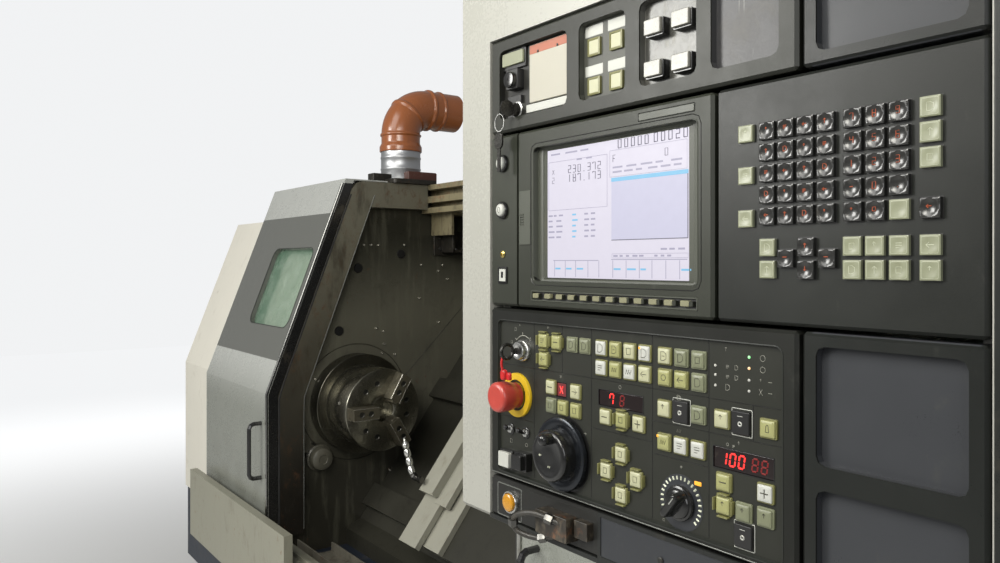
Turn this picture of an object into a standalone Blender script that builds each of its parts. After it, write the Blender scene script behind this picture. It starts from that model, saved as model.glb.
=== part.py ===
"""A slant-bed turning lathe with a three-jaw chuck, twin sliding doors and a control console.

Metres, +Z up. X runs along the spindle towards the tailstock, -Y is the front. The origin is on the floor
under the middle of the machine.
"""
import math

import bmesh
import bpy
from mathutils import Matrix, Vector

# Overall sizes
MACHINE_LENGTH = 4.20
MACHINE_DEPTH = 1.874
GAP = 0.0003
OVERRUN = 0.010
SHEET = 0.004
ROUND_SIDES = 32
SMALL_SIDES = 16
SCREW_SIDES = 8
CHUCK_SIDES = 48
DUCT_RESOLUTION = 6
SHARP_ANGLE = math.radians(35.0)
WELD = 0.000001
MERGE = 0.0001
LEFT_X = -MACHINE_LENGTH / 2
RIGHT_X = MACHINE_LENGTH / 2
FRONT_Y = -MACHINE_DEPTH / 2
BACK_Y = MACHINE_DEPTH / 2

# Spindle line and the splash wall behind the chuck
HEADSTOCK_ROOM = 1.24
SPINDLE_BACK_SHARE = 0.5480
SPINDLE_Z = 1.052
WALL_X = LEFT_X + HEADSTOCK_ROOM
SPINDLE_Y = BACK_Y - SPINDLE_BACK_SHARE * MACHINE_DEPTH

# Sloping front of the enclosure
DOOR_FRONT = 0.372
DOOR_Y = SPINDLE_Y - DOOR_FRONT
BEND_Z = 1.119
ROOF_TOP_Z = 1.915
DOOR_OVER = 0.006
DOOR_TOP_Z = ROOF_TOP_Z + DOOR_OVER
FRONT_SLOPE = math.radians(20.9)
DOOR_THICKNESS = 0.034
DOOR_CLEARANCE = 0.004
DOOR_WIDTH = 0.740
OPENING_WIDTH = 2 * DOOR_WIDTH
JAMB_THICKNESS = 0.050
JAMB_WIDTH = 0.100
JAMB_CORNER = 0.030
OPENING_X = WALL_X + JAMB_THICKNESS
CLOSE_X = OPENING_X + OPENING_WIDTH
FAR_WALL_X = CLOSE_X + JAMB_THICKNESS
WALL_SHEET = 0.006

# Base, feet and sill
FOOT_HEIGHT = 0.045
FOOT_RADIUS = 0.060
FOOT_COUNT = 5
FOOT_INSET = 0.16
BASE_TOP_Z = 0.500
BASE_INSET = 0.040
BASE_TOE = 0.060
BASE_TOE_HEIGHT = 0.090
BASE_CHAMFER = 0.040
BASE_BACK = 0.700
COVER_DEPTH = 0.060
BASE_FRONT_Y = DOOR_Y + COVER_DEPTH
BASE_BACK_Y = SPINDLE_Y + BASE_BACK
SILL_REACH = 0.058
SILL_PLATE = 0.030
SILL_LOW_Z = 0.420
SILL_BENCH_Z = 0.598
SILL_TOP_Z = 0.700
SILL_RAISED_REACH = 0.300
RAIL_HEIGHT = 0.012
RAIL_WIDTH = 0.010
DOOR_BOTTOM_Z = SILL_BENCH_Z + RAIL_HEIGHT

# Side covers
COVER_DROP = 0.125
COVER_TOP_Z = ROOF_TOP_Z - COVER_DROP
COVER_BACK = 0.690
COVER_BACK_Y = SPINDLE_Y + COVER_BACK
COVER_SHEET = 0.005

# Rear wall and roof
REAR_WALL = 0.660
REAR_WALL_Y = SPINDLE_Y + REAR_WALL
ROOF_FRONT = 0.301
ROOF_FRONT_Y = SPINDLE_Y + ROOF_FRONT
ROOF_THICKNESS = 0.115
ROOF_LOW_Z = ROOF_TOP_Z - ROOF_THICKNESS
ROOF_LIP = 0.020
ROOF_RECESS = 0.045
RAIL_DROP = 0.047
RAIL_THICKNESS = 0.026
ROOF_RAIL_TOP_Z = ROOF_TOP_Z - RAIL_DROP
ROOF_RAIL_LOW_Z = ROOF_RAIL_TOP_Z - RAIL_THICKNESS
ROOF_BAND = 0.022
ROOF_BAND_TOP_Z = ROOF_LOW_Z + ROOF_BAND
BRACKET_LENGTH = 0.160
BRACKET_HEIGHT = 0.090
BRACKET_THICKNESS = 0.010

# Doors
DOOR_FLANGE = 0.180
DOOR_FLANGE_THICKNESS = 0.005
WINDOW_WIDTH = 0.410
WINDOW_LOW_SHARE = 0.2905
WINDOW_TOP_SHARE = 0.6683
WINDOW_LOW_Z = BEND_Z + WINDOW_LOW_SHARE * (DOOR_TOP_Z - BEND_Z)
WINDOW_TOP_Z = BEND_Z + WINDOW_TOP_SHARE * (DOOR_TOP_Z - BEND_Z)
WINDOW_EDGE = 0.035
WINDOW_CORNER = 0.040
WINDOW_REBATE = 0.012
GLASS_THICKNESS = 0.008
STRIP_WIDTH = 0.018
STRIP_PROUD = 0.006
HANDLE_LENGTH = 0.200
HANDLE_MIDDLE_Z = 0.906
HANDLE_EDGE = 0.070
HANDLE_PROUD = 0.045
HANDLE_RADIUS = 0.008

# Spindle, chuck and drive
CAP_RADIUS = 0.1895
CAP_FRONT = 0.068
COVER_RING_RADIUS = 0.229
GROOVE_WIDTH = 0.004
GROOVE_DEPTH = 0.002
CHUCK_RADIUS = 0.152
CHUCK_FACE = 0.230
CHUCK_CHAMFER = 0.006
CHUCK_BACK = 0.022
CHUCK_BACK_RADIUS = 0.140
CHUCK_BORE = 0.046
SPINDLE_RADIUS = 0.095
SPINDLE_BORE = 0.040
SPINDLE_REAR = 0.980
JAW_COUNT = 3
JAW_TURN = math.radians(60.0)
JAW_WIDTH = 0.044
JAW_OUTER = 0.146
JAW_INNER = 0.048
JAW_PROUD = 0.052
JAW_STEP = 0.024
JAW_STEP_RADIUS = 0.085
JAW_SLOT_DEPTH = 0.020
JAW_BOLT_RADIUS = 0.009
JAW_BOLT_DEPTH = 0.014
JAW_BOLT_SHARES = (0.30, 0.72)
FACE_BOLT_RADIUS = 0.008
FACE_BOLT_DEPTH = 0.012
FACE_BOLT_CIRCLE = 0.118
FACE_BOLT_TURN = math.radians(18.0)
CYLINDER_RADIUS = 0.110
CYLINDER_LENGTH = 0.130
PULLEY_RADIUS = 0.130
PULLEY_WIDTH = 0.090
PULLEY_START = 0.760
MOTOR_RADIUS = 0.150
MOTOR_LENGTH = 0.480
MOTOR_PULLEY_RADIUS = 0.085
MOTOR_DROP = 0.340
MOTOR_BACK = 0.420
MOTOR_SHAFT_RADIUS = 0.024
MOTOR_BASE = 0.016
BELT_THICKNESS = 0.008
BELT_STEP_COUNT = 14

# Headstock casting
HEAD_START = 0.740
HEAD_HALF_WIDTH = 0.250
HEAD_TOP = 0.230
HEAD_CHAMFER = 0.070
HEAD_RIB = 0.030

# Slant bed, carriage and turret, in distances up the slope and square to it from the spindle line
BED_SLOPE = math.radians(52.0)
WAY_PLANE = -0.300
WAY_HEIGHT = 0.030
WAY_WIDTH = 0.090
LOWER_WAY = -0.300
UPPER_WAY = 0.200
BED_LOW = -0.350
BED_HIGH = 0.480
BED_FRONT = 0.060
BED_INSET = 0.012
CARRIAGE_START = 0.720
CARRIAGE_LENGTH = 0.350
CARRIAGE_LOW = -0.340
CARRIAGE_HIGH = 0.420
CARRIAGE_TOP = -0.200
CARRIAGE_GIB = 0.020
CROSS_LOW = 0.080
CROSS_PAST = 0.040
CROSS_TOP = -0.130
CROSS_INSET = 0.030
CROSS_DOVETAIL = 0.030
SLOPE_SPAN = (ROOF_TOP_Z - SPINDLE_Z) / math.sin(BED_SLOPE)
TURRET_SHARE = 0.3835
TURRET_MIDDLE = TURRET_SHARE * SLOPE_SPAN
CROSS_HIGH = TURRET_MIDDLE + CROSS_PAST
TURRET_RADIUS = 0.155
TURRET_THICKNESS = 0.080
TURRET_STATIONS = 10
HEAD_BEFORE = 0.150
HEAD_PAST = 0.140
HEAD_LOW = TURRET_MIDDLE - HEAD_BEFORE
HEAD_HIGH = TURRET_MIDDLE + HEAD_PAST
HEAD_REACH = 0.130
HEAD_BEVEL = 0.020
HOLDER_WIDTH = 0.060
HOLDER_HEIGHT = 0.030
HOLDER_LENGTH = 0.070
TOOL_SIZE = 0.022
TOOL_REACH = 0.045

# Way covers and coolant nozzle on the carriage
APRON_START = 0.520
APRON_SHEET = 0.020
APRON_PLANE = -0.125
APRON_WIDTH = 0.085
APRON_LOW = -0.190
APRON_HIGH = 0.300
APRON_LIP = 0.018
SECOND_DROP = 0.050
SECOND_WIDTH = 0.065
SECOND_LOW = -0.205
THIRD_LOW = -0.360
THIRD_HIGH = -0.170
THIRD_WIDTH = 0.110
THIRD_DROP = 0.030
NOZZLE_RADIUS = 0.009
NOZZLE_BEAD = 0.022
NOZZLE_BEADS = 5
NOZZLE_TIP_RADIUS = 0.004
NOZZLE_HEADING = (-1.0, -0.25, 1.6)
NOZZLE_TURN = math.radians(14.0)

# Tailstock
TAIL_START = 1.270
TAIL_LENGTH = 0.240
TAIL_HALF_WIDTH = 0.100
TAIL_TOP = 0.105
TAIL_CHAMFER = 0.040
QUILL_RADIUS = 0.045
QUILL_REACH = 0.060
QUILL_TAIL = 0.170
CENTRE_RADIUS = 0.026
CENTRE_BODY = 0.040
CENTRE_POINT = 0.045
CENTRE_SHANK = 0.050
CENTRE_SHANK_RADIUS = 0.014

# Work light, wall screws and plugs
LIGHT_Y = -0.158
LIGHT_Z = 0.855
LIGHT_RADIUS = 0.046
LIGHT_PROUD = 0.050
PLUG_RADIUS = 0.016
PLUG_PROUD = 0.005
WALL_SPAN_Y = 0.60
WALL_SPAN_Z = ROOF_TOP_Z - SPINDLE_Z - COVER_RING_RADIUS

# Chip pan
PAN_HEIGHT = 0.075
PAN_BACK = 0.120
PAN_SHEET = 0.006

# Exhaust duct
DUCT_RADIUS = 0.080
DUCT_CLEARANCE = 0.1217
DUCT_LEFT = 0.060
COLLAR_HEIGHT = 0.140
COLLAR_FLANGE = 0.012
COLLAR_FLANGE_HEIGHT = 0.006
PLENUM_WIDTH = 0.250
PLENUM_FRONT = 0.116
PLENUM_BACK = 0.134
SOCKET_RADIUS = 0.088
SOCKET_HEIGHT = 0.070
ELBOW_BEND = 0.115
ELBOW_STEPS = 5
ELBOW_RUN = 0.150
OUTLET_SHARES = ((0.20, 1.0), (0.22, 1.05), (0.36, 1.05), (0.38, 1.0), (1.0, 1.0))
DUCT_SHEET = 0.004

# Electrical cabinet
CABINET_START = -0.90
CABINET_END = 1.70
CABINET_LOW_Z = 0.120
CABINET_TOP_Z = 1.860
CABINET_DOOR = 0.020
CABINET_DOOR_WIDTH = 1.00
CABINET_DOOR_EDGE = 0.060

# Console
CRANK_TIP_REACH = 0.040
PANEL_Y = FRONT_Y + CRANK_TIP_REACH
PANEL_START = 2.039
PANEL_WIDTH = 0.613
PANEL_X = WALL_X + PANEL_START
HOUSING_BORDER = 0.071
HOUSING_BACK = 0.425
HOUSING_BACK_Y = SPINDLE_Y - HOUSING_BACK
HOUSING_LOW_Z = 1.263
HOUSING_TOP_Z = 2.050
HOUSING_SHEET = 0.005
HOUSING_RADIUS = 0.006
MODULE_THICKNESS = 0.022
MODULE_GAP = 0.004
MODULE_BEVEL = 0.003
TOP_ROW_Z = 1.890
FIRST_GAP_Z = 1.765
SECOND_GAP_Z = 1.542
BOTTOM_ROW_Z = 1.322
COLUMN_SHARE = 0.7488
DISPLAY_SHARE = 0.6003
COLUMN_SPLIT = COLUMN_SHARE * PANEL_WIDTH
DISPLAY_SPLIT = DISPLAY_SHARE * PANEL_WIDTH
RECESS_DEPTH = 0.009
RECESS_CORNER = 0.008
ARM_START = 2.340
ARM_WIDTH = 0.320
ARM_LOW_Z = 1.380
ARM_HIGH_Z = 1.760
ARM_FLANGE = 0.030
ARM_FLANGE_THICKNESS = 0.010

# Controls
KEY_PROUD = 0.003
SMALL_SWITCH_KEY = 0.0185
SMALL_SWITCH_PROUD = 0.002
BIG_SWITCH_WIDTH = 0.0218
BIG_SWITCH_HEIGHT = 0.0153
BIG_SWITCH_PROUD = 0.004
KEY_TAPER = 0.86
KEYBOARD_PITCH_SHARE = 0.07775
KEYBOARD_KEY_SHARE = 0.787
KEYBOARD_PITCH = KEYBOARD_PITCH_SHARE * (PANEL_WIDTH - DISPLAY_SPLIT)
KEYBOARD_KEY = KEYBOARD_KEY_SHARE * KEYBOARD_PITCH
OPERATION_PITCH_SHARE = 0.0479
OPERATION_KEY_SHARE = 0.727
OPERATION_PITCH = OPERATION_PITCH_SHARE * COLUMN_SPLIT
OPERATION_KEY = OPERATION_KEY_SHARE * OPERATION_PITCH
STOP_RADIUS = 0.019
STOP_HEIGHT = 0.037
STOP_NECK_RADIUS = 0.0165
STOP_NECK = 0.009
STOP_EDGE = 0.004
STOP_COLLAR_RADIUS = 0.0275
STOP_COLLAR = 0.003
STOP_SHARES = (0.1211, 0.4986)
WHEEL_RADIUS = 0.0435
WHEEL_RIM = 0.007
WHEEL_RIM_EDGE = 0.002
WHEEL_NECK = 0.002
WHEEL_NECK_RADIUS = 0.022
HUB_RADIUS = 0.030
HUB_EDGE = 0.003
HUB_HEIGHT = 0.026
WHEEL_SHARES = (0.316, 0.239)
CRANK_RADIUS = 0.007
CRANK_TIP_RADIUS = 0.0062
CRANK_ACROSS = 0.0045
CRANK_UP = 0.021
SELECTOR_RADIUS = 0.0102
SELECTOR_TIP_RADIUS = 0.0094
SELECTOR_PROUD = 0.0085
SELECTOR_GRIP = 0.006
KNOB_RADIUS = 0.018
KNOB_SKIRT_RADIUS = 0.0153
KNOB_TOP_RADIUS = 0.0144
KNOB_GRIP = 0.0162
KNOB_HEIGHT = 0.020
KNOB_SHARES = (0.704, 0.168)
BUTTON_RADIUS = 0.0105
POWER_BUTTON_RADIUS = 0.0084
BUTTON_PROUD = 0.005
BUTTON_TRAVEL = 0.003
UPPER_LOCK_RADIUS = 0.0085
LOWER_LOCK_RADIUS = 0.0115
LOCK_HEIGHT = 0.010
KEY_BLADE = 0.002
KEY_BOW = 0.020
KEY_BOW_WIDTH = 0.022
KEY_BOW_HALF = 0.0014

COLLECTIONS = {}
PLACES = {}


def clear_scene():
    """Remove what the scene holds and add the collections."""
    for item in list(bpy.data.objects):
        bpy.data.objects.remove(item, do_unlink=True)
    for name in ("parts", "cutters"):
        COLLECTIONS[name] = bpy.data.collections.new(name)
        bpy.context.scene.collection.children.link(COLLECTIONS[name])


# Finishes: colour, roughness, metallic
CREAM = ((0.62, 0.60, 0.52), 0.45, 0.0)
DOOR_GREY = ((0.42, 0.43, 0.42), 0.42, 0.0)
BASE_BLUE = ((0.05, 0.065, 0.085), 0.50, 0.0)
JAMB_BEIGE = ((0.30, 0.28, 0.24), 0.60, 0.0)
WALL_STEEL = ((0.085, 0.085, 0.075), 0.50, 0.6)
CAST_GREY = ((0.12, 0.13, 0.13), 0.60, 0.3)
GROUND_STEEL = ((0.32, 0.32, 0.31), 0.32, 1.0)
CHUCK_STEEL = ((0.16, 0.16, 0.16), 0.30, 1.0)
BRIGHT_STEEL = ((0.60, 0.60, 0.60), 0.25, 1.0)
BLACK_PLASTIC = ((0.035, 0.037, 0.035), 0.45, 0.0)
PANEL_GREY = ((0.075, 0.08, 0.075), 0.42, 0.0)
KEY_CREAM = ((0.55, 0.53, 0.38), 0.40, 0.0)
STOP_RED = ((0.45, 0.05, 0.03), 0.35, 0.0)
AMBER = ((0.60, 0.30, 0.02), 0.30, 0.0)
DUCT_ORANGE = ((0.55, 0.17, 0.05), 0.35, 0.0)
GALVANISED = ((0.45, 0.46, 0.47), 0.40, 1.0)
GLASS_GREEN = ((0.30, 0.42, 0.36), 0.08, 0.0)
SCREEN_WHITE = ((0.70, 0.70, 0.78), 0.15, 0.0)
RUBBER = ((0.02, 0.02, 0.02), 0.70, 0.0)


def material_for(name, finish):
    """Make one piece's own material from its finish."""
    colour, roughness, metallic = finish
    material = bpy.data.materials.new(name + "_finish")
    material.use_nodes = True
    shader = material.node_tree.nodes["Principled BSDF"]
    shader.inputs["Base Color"].default_value = (*colour, 1.0)
    shader.inputs["Roughness"].default_value = roughness
    shader.inputs["Metallic"].default_value = metallic
    return material


def joint_origin(name, place, carrier="machine_origin"):
    """Add an empty on a joint's axis, carried by another one."""
    empty = bpy.data.objects.new(name, None)
    COLLECTIONS["parts"].objects.link(empty)
    PLACES[name] = Vector(place)
    if carrier in PLACES and carrier != name:
        empty.parent = bpy.data.objects[carrier]
        empty.location = PLACES[name] - PLACES[carrier]
    return name


def add_part(name, mesh, finish, carrier="machine_origin", smooth=True):
    """Add a piece whose mesh is in machine coordinates, carried by an empty."""
    mesh.transform(Matrix.Translation(-PLACES[carrier]))
    mesh.name = name
    if smooth:
        mesh.shade_smooth()
        mesh.set_sharp_from_angle(angle=SHARP_ANGLE)
    part = bpy.data.objects.new(name, mesh)
    mesh.materials.append(material_for(name, finish))
    COLLECTIONS["parts"].objects.link(part)
    part.parent = bpy.data.objects[carrier]
    return part


def tool_object(mesh):
    """Add a mesh as a hidden tool for a Boolean."""
    tool = bpy.data.objects.new("tool", mesh)
    COLLECTIONS["cutters"].objects.link(tool)
    tool.hide_render = True
    tool.display_type = "WIRE"
    return tool


def boolean(part, mesh, operation):
    """Give a part a Boolean with one mesh in machine coordinates."""
    modifier = part.modifiers.new(operation.lower(), "BOOLEAN")
    modifier.operation = operation
    modifier.solver = "EXACT"
    modifier.object = tool_object(mesh)


def cut(part, *meshes):
    """Cut meshes out of a part."""
    for mesh in meshes:
        boolean(part, mesh, "DIFFERENCE")


def fuse(part, *meshes):
    """Join meshes to a part as one solid."""
    for mesh in meshes:
        boolean(part, mesh, "UNION")


def mesh_from(shape):
    """Turn a bmesh into a mesh."""
    mesh = bpy.data.meshes.new("shape")
    shape.to_mesh(mesh)
    shape.free()
    return mesh


def gathered(meshes):
    """Put several separate meshes into one."""
    shape = bmesh.new()
    for mesh in meshes:
        shape.from_mesh(mesh)
    return mesh_from(shape)


def block(low, high, bevel=0.0, steps=1):
    """A box between two corners, with bevelled edges when asked."""
    low, high = (Vector(ends) for ends in zip(*(sorted(pair) for pair in zip(low, high))))
    shape = bmesh.new()
    matrix = Matrix.Translation((low + high) / 2) @ Matrix.Diagonal((*(high - low), 1.0))
    bmesh.ops.create_cube(shape, size=1.0, matrix=matrix)
    if bevel:
        bmesh.ops.bevel(shape, geom=shape.edges[:], offset=bevel, segments=steps, affect="EDGES", profile=0.5)
    return mesh_from(shape)


def towards(direction):
    """The rotation that turns +Z towards a direction."""
    return Vector(direction).to_track_quat("Z", "Y").to_matrix().to_4x4()


def rod(start, end, radius, sides=ROUND_SIDES, end_radius=None):
    """A cylinder or a cone between two points."""
    start = Vector(start)
    end = Vector(end)
    shape = bmesh.new()
    far_radius = radius if end_radius is None else end_radius
    matrix = Matrix.Translation((start + end) / 2) @ towards(end - start)
    bmesh.ops.create_cone(shape, cap_ends=True, segments=sides, radius1=radius, radius2=far_radius,
                          depth=(end - start).length, matrix=matrix)
    return mesh_from(shape)


def baked(thing):
    """The mesh of a curve or of an object with modifiers, welded; the object is removed."""
    bpy.context.view_layer.update()
    evaluated = thing.evaluated_get(bpy.context.evaluated_depsgraph_get())
    mesh = bpy.data.meshes.new_from_object(evaluated)
    mesh.transform(thing.matrix_world)
    bpy.data.objects.remove(thing, do_unlink=True)
    shape = bmesh.new()
    shape.from_mesh(mesh)
    bmesh.ops.remove_doubles(shape, verts=shape.verts[:], dist=WELD)
    bmesh.ops.recalc_face_normals(shape, faces=shape.faces[:])
    mesh.materials.clear()
    shape.to_mesh(mesh)
    shape.free()
    return mesh


ALONG = {
    "X": Matrix(((0.0, 0.0, 1.0), (1.0, 0.0, 0.0), (0.0, 1.0, 0.0))).to_4x4(),
    "Y": Matrix(((1.0, 0.0, 0.0), (0.0, 0.0, -1.0), (0.0, 1.0, 0.0))).to_4x4(),
    "Z": Matrix.Identity(4),
}


def plate(outlines, axis, low, high):
    """A flat outline, with holes when more outlines follow, pulled along an axis from low to high."""
    curve = bpy.data.curves.new("outline", "CURVE")
    curve.dimensions = "2D"
    curve.fill_mode = "BOTH"
    curve.extrude = (high - low) / 2
    for points in outlines:
        spline = curve.splines.new("POLY")
        spline.points.add(len(points) - 1)
        for point, place in zip(spline.points, points):
            point.co = (place[0], place[1], 0.0, 1.0)
        spline.use_cyclic_u = True
    guide = bpy.data.objects.new("outline", curve)
    COLLECTIONS["cutters"].objects.link(guide)
    middle = (low + high) / 2
    shift = -middle if axis == "Y" else middle
    guide.matrix_world = ALONG[axis] @ Matrix.Translation((0.0, 0.0, shift))
    return baked(guide)


def turned(profile, start, direction, sides=ROUND_SIDES, closed=False):
    """A profile of (radius, height) turned about an axis; it runs down its outer side."""
    mesh = bpy.data.meshes.new("profile")
    points = [(radius, 0.0, height) for radius, height in profile]
    edges = [(index, index + 1) for index in range(len(points) - 1)]
    if closed:
        edges.append((len(points) - 1, 0))
    mesh.from_pydata(points, edges, [])
    guide = bpy.data.objects.new("profile", mesh)
    COLLECTIONS["cutters"].objects.link(guide)
    screw = guide.modifiers.new("turn", "SCREW")
    screw.axis = "Z"
    screw.steps = sides
    screw.render_steps = sides
    screw.use_merge_vertices = True
    screw.merge_threshold = MERGE
    guide.matrix_world = Matrix.Translation(Vector(start)) @ towards(direction)
    return baked(guide)


def tube(points, radius, resolution=2, scales=None):
    """A round bar along points, thicker or thinner at each when scales are given."""
    curve = bpy.data.curves.new("bar", "CURVE")
    curve.dimensions = "3D"
    curve.bevel_depth = radius
    curve.bevel_resolution = resolution
    curve.use_fill_caps = True
    spline = curve.splines.new("POLY")
    spline.points.add(len(points) - 1)
    for index, place in enumerate(points):
        spline.points[index].co = (*place, 1.0)
        spline.points[index].radius = scales[index] if scales else 1.0
    guide = bpy.data.objects.new("bar", curve)
    COLLECTIONS["cutters"].objects.link(guide)
    return baked(guide)


def rounded_outline(low, high, radius, steps=3):
    """A rectangle with round corners, as points in order."""
    corners = (
        (high[0], high[1], 0.0), (low[0], high[1], 90.0), (low[0], low[1], 180.0), (high[0], low[1], 270.0),
    )
    points = []
    for across, up, start in corners:
        centre_x = across + (radius if across == low[0] else -radius)
        centre_y = up + (radius if up == low[1] else -radius)
        for step in range(steps + 1):
            angle = math.radians(start + 90.0 * step / steps)
            points.append((centre_x + radius * math.cos(angle), centre_y + radius * math.sin(angle)))
    return points


def running(radius, sides=ROUND_SIDES):
    """The radius of a many-sided bore that clears a turning shaft."""
    return radius / math.cos(math.pi / sides) + GAP


def front_y(depth, height):
    """The depth coordinate of the enclosure's sloping front, some way behind the door's face."""
    bend = BEND_Z - depth * math.tan(FRONT_SLOPE / 2)
    return DOOR_Y + depth + max(0.0, height - bend) * math.tan(FRONT_SLOPE)


def front_bend(depth):
    """The height of the bend of a surface some way behind the door's face."""
    return BEND_Z - depth * math.tan(FRONT_SLOPE / 2)


def front_line(depth, low, high):
    """The sloping front as points from low to high."""
    bend = front_bend(depth)
    return [(front_y(depth, low), low), (front_y(depth, low), bend), (front_y(depth, high), high)]


def slant(along, square, x):
    """A point given up the bed's slope and square to it from the spindle line."""
    across = along * math.cos(BED_SLOPE) - square * math.sin(BED_SLOPE)
    up = along * math.sin(BED_SLOPE) + square * math.cos(BED_SLOPE)
    return Vector((x, SPINDLE_Y + across, SPINDLE_Z + up))


def slant_outline(pairs):
    """Outline points in the YZ plane from pairs on the slope."""
    places = [slant(along, square, 0.0) for along, square in pairs]
    return [(place.y, place.z) for place in places]


def slant_block(x_range, along_range, square_range, bevel=0.0):
    """A box that lies on the bed's slope."""
    (x0, x1), (a0, a1), (n0, n1) = x_range, along_range, square_range
    mesh = block((x0, a0, n0), (x1, a1, n1), bevel)
    turn = Matrix.Rotation(BED_SLOPE, 4, "X")
    mesh.transform(Matrix.Translation((0.0, SPINDLE_Y, SPINDLE_Z)) @ turn)
    return mesh


# Base, feet, sill and pan

def make_base():
    """The base casting with its set-back toe, and the levelling feet under it."""
    low = FOOT_HEIGHT
    toe_top = low + BASE_TOE_HEIGHT
    outline = [
        (BASE_FRONT_Y + BASE_TOE, low), (BASE_BACK_Y - BASE_TOE, low),
        (BASE_BACK_Y - BASE_TOE, toe_top), (BASE_BACK_Y - GAP, toe_top + BASE_CHAMFER),
        (BASE_BACK_Y - GAP, BASE_TOP_Z), (BASE_FRONT_Y, BASE_TOP_Z),
        (BASE_FRONT_Y, toe_top + BASE_CHAMFER), (BASE_FRONT_Y + BASE_TOE, toe_top),
    ]
    mesh = plate([outline], "X", LEFT_X + BASE_INSET, RIGHT_X - BASE_INSET)
    base = add_part("base_casting", mesh, BASE_BLUE, smooth=False)
    feet = []
    span = MACHINE_LENGTH - 2 * (BASE_INSET + FOOT_INSET)
    for side_y in (BASE_FRONT_Y + FOOT_INSET, BASE_BACK_Y - FOOT_INSET):
        for index in range(FOOT_COUNT):
            x = LEFT_X + BASE_INSET + FOOT_INSET + span * index / (FOOT_COUNT - 1)
            feet.append(foot_mesh(x, side_y))
    fuse(base, gathered(feet))


def foot_mesh(x, y):
    """One levelling pad with its stepped screw head."""
    shoulder = FOOT_HEIGHT / 2
    neck = FOOT_RADIUS / 2
    top = FOOT_HEIGHT + SHEET
    profile = [(0.0, top), (neck, top), (neck, shoulder), (FOOT_RADIUS, shoulder),
               (FOOT_RADIUS, 0.0), (0.0, 0.0)]
    return turned(profile, (x, y, 0.0), (0.0, 0.0, 1.0), SMALL_SIDES)


def make_sill():
    """The front sill: raised under the parked doors, lower across the opening, with the doors' rail."""
    left = OPENING_X - DOOR_WIDTH - BASE_INSET
    right = CLOSE_X + DOOR_WIDTH + GAP
    raised_left = OPENING_X + SILL_RAISED_REACH
    raised_right = CLOSE_X - SILL_RAISED_REACH
    face_y = DOOR_Y - SILL_REACH
    outline = [(left, SILL_LOW_Z), (right, SILL_LOW_Z), (right, SILL_TOP_Z), (raised_right, SILL_TOP_Z),
               (raised_right, SILL_BENCH_Z), (raised_left, SILL_BENCH_Z), (raised_left, SILL_TOP_Z),
               (left, SILL_TOP_Z)]
    sill = add_part("front_sill", plate([outline], "Y", face_y, face_y + SILL_PLATE), CREAM, smooth=False)
    bench_low = (left, face_y + SILL_PLATE / 2, SILL_LOW_Z + SHEET)
    bench_high = (right, BASE_FRONT_Y - GAP, SILL_BENCH_Z - SHEET)
    rail_y = DOOR_Y + DOOR_THICKNESS / 2
    rail_low = (left, rail_y - RAIL_WIDTH / 2, SILL_BENCH_Z - RAIL_HEIGHT)
    rail_high = (right, rail_y + RAIL_WIDTH / 2, DOOR_BOTTOM_Z - GAP)
    fuse(sill, block(bench_low, bench_high), block(rail_low, rail_high))


def make_chip_pan():
    """The open pan that catches chips between the sill and the bed."""
    front = BASE_FRONT_Y + JAMB_WIDTH / 2
    back = SPINDLE_Y - PAN_BACK
    low = BASE_TOP_Z + GAP
    top = low + PAN_HEIGHT
    back_top = top - PAN_HEIGHT / 2
    outline = [
        (front, top), (front, low), (back, low), (back, back_top), (back - PAN_SHEET, back_top),
        (back - PAN_SHEET, low + PAN_SHEET), (front + PAN_SHEET, low + PAN_SHEET), (front + PAN_SHEET, top),
    ]
    pan = plate([outline], "X", OPENING_X + GAP, CLOSE_X - GAP)
    add_part("chip_pan", pan, CREAM, smooth=False)


# Enclosure

def enclosure_outline(depth, low, high, back):
    """The closed side outline of the enclosure."""
    return front_line(depth, low, high) + [(back, high), (back, low)]


def duct_y():
    """The depth of the exhaust duct's middle, clear of the door's top flange."""
    return front_y(0.0, DOOR_TOP_Z) + DOOR_FLANGE + DUCT_CLEARANCE


def cover_shell(name, x0, x1, closed_end):
    """One side cover: a folded shell open below and towards the work room."""
    low = BASE_TOP_Z + GAP
    outer = enclosure_outline(COVER_DEPTH, low, COVER_TOP_Z, COVER_BACK_Y)
    cover = add_part(name, plate([outer], "X", x0, x1), CREAM, smooth=False)
    inner_top = COVER_TOP_Z - COVER_SHEET
    inner = enclosure_outline(COVER_DEPTH + COVER_SHEET, low - OVERRUN, inner_top, COVER_BACK_Y - COVER_SHEET)
    if closed_end == "left":
        cut(cover, plate([inner], "X", x0 + COVER_SHEET, x1 + OVERRUN))
    else:
        cut(cover, plate([inner], "X", x0 - OVERRUN, x1 - COVER_SHEET))
    return cover


def make_covers():
    """The left cover over the headstock and the right cover behind the console."""
    right = WALL_X - WALL_SHEET - GAP
    cover = cover_shell("left_cover", LEFT_X, right, "left")
    plenum = block((right - PLENUM_WIDTH, duct_y() - PLENUM_FRONT, COVER_TOP_Z - COVER_SHEET / 2),
                   (right, duct_y() + PLENUM_BACK, ROOF_TOP_Z))
    fuse(cover, plenum)
    cover_shell("right_cover", FAR_WALL_X + WALL_SHEET + GAP, RIGHT_X, "right")


def wall_outline(depth):
    """The outline of an inner side wall, behind the jamb."""
    return enclosure_outline(depth, BASE_TOP_Z + GAP, ROOF_TOP_Z - COVER_SHEET, COVER_BACK_Y)


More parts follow.
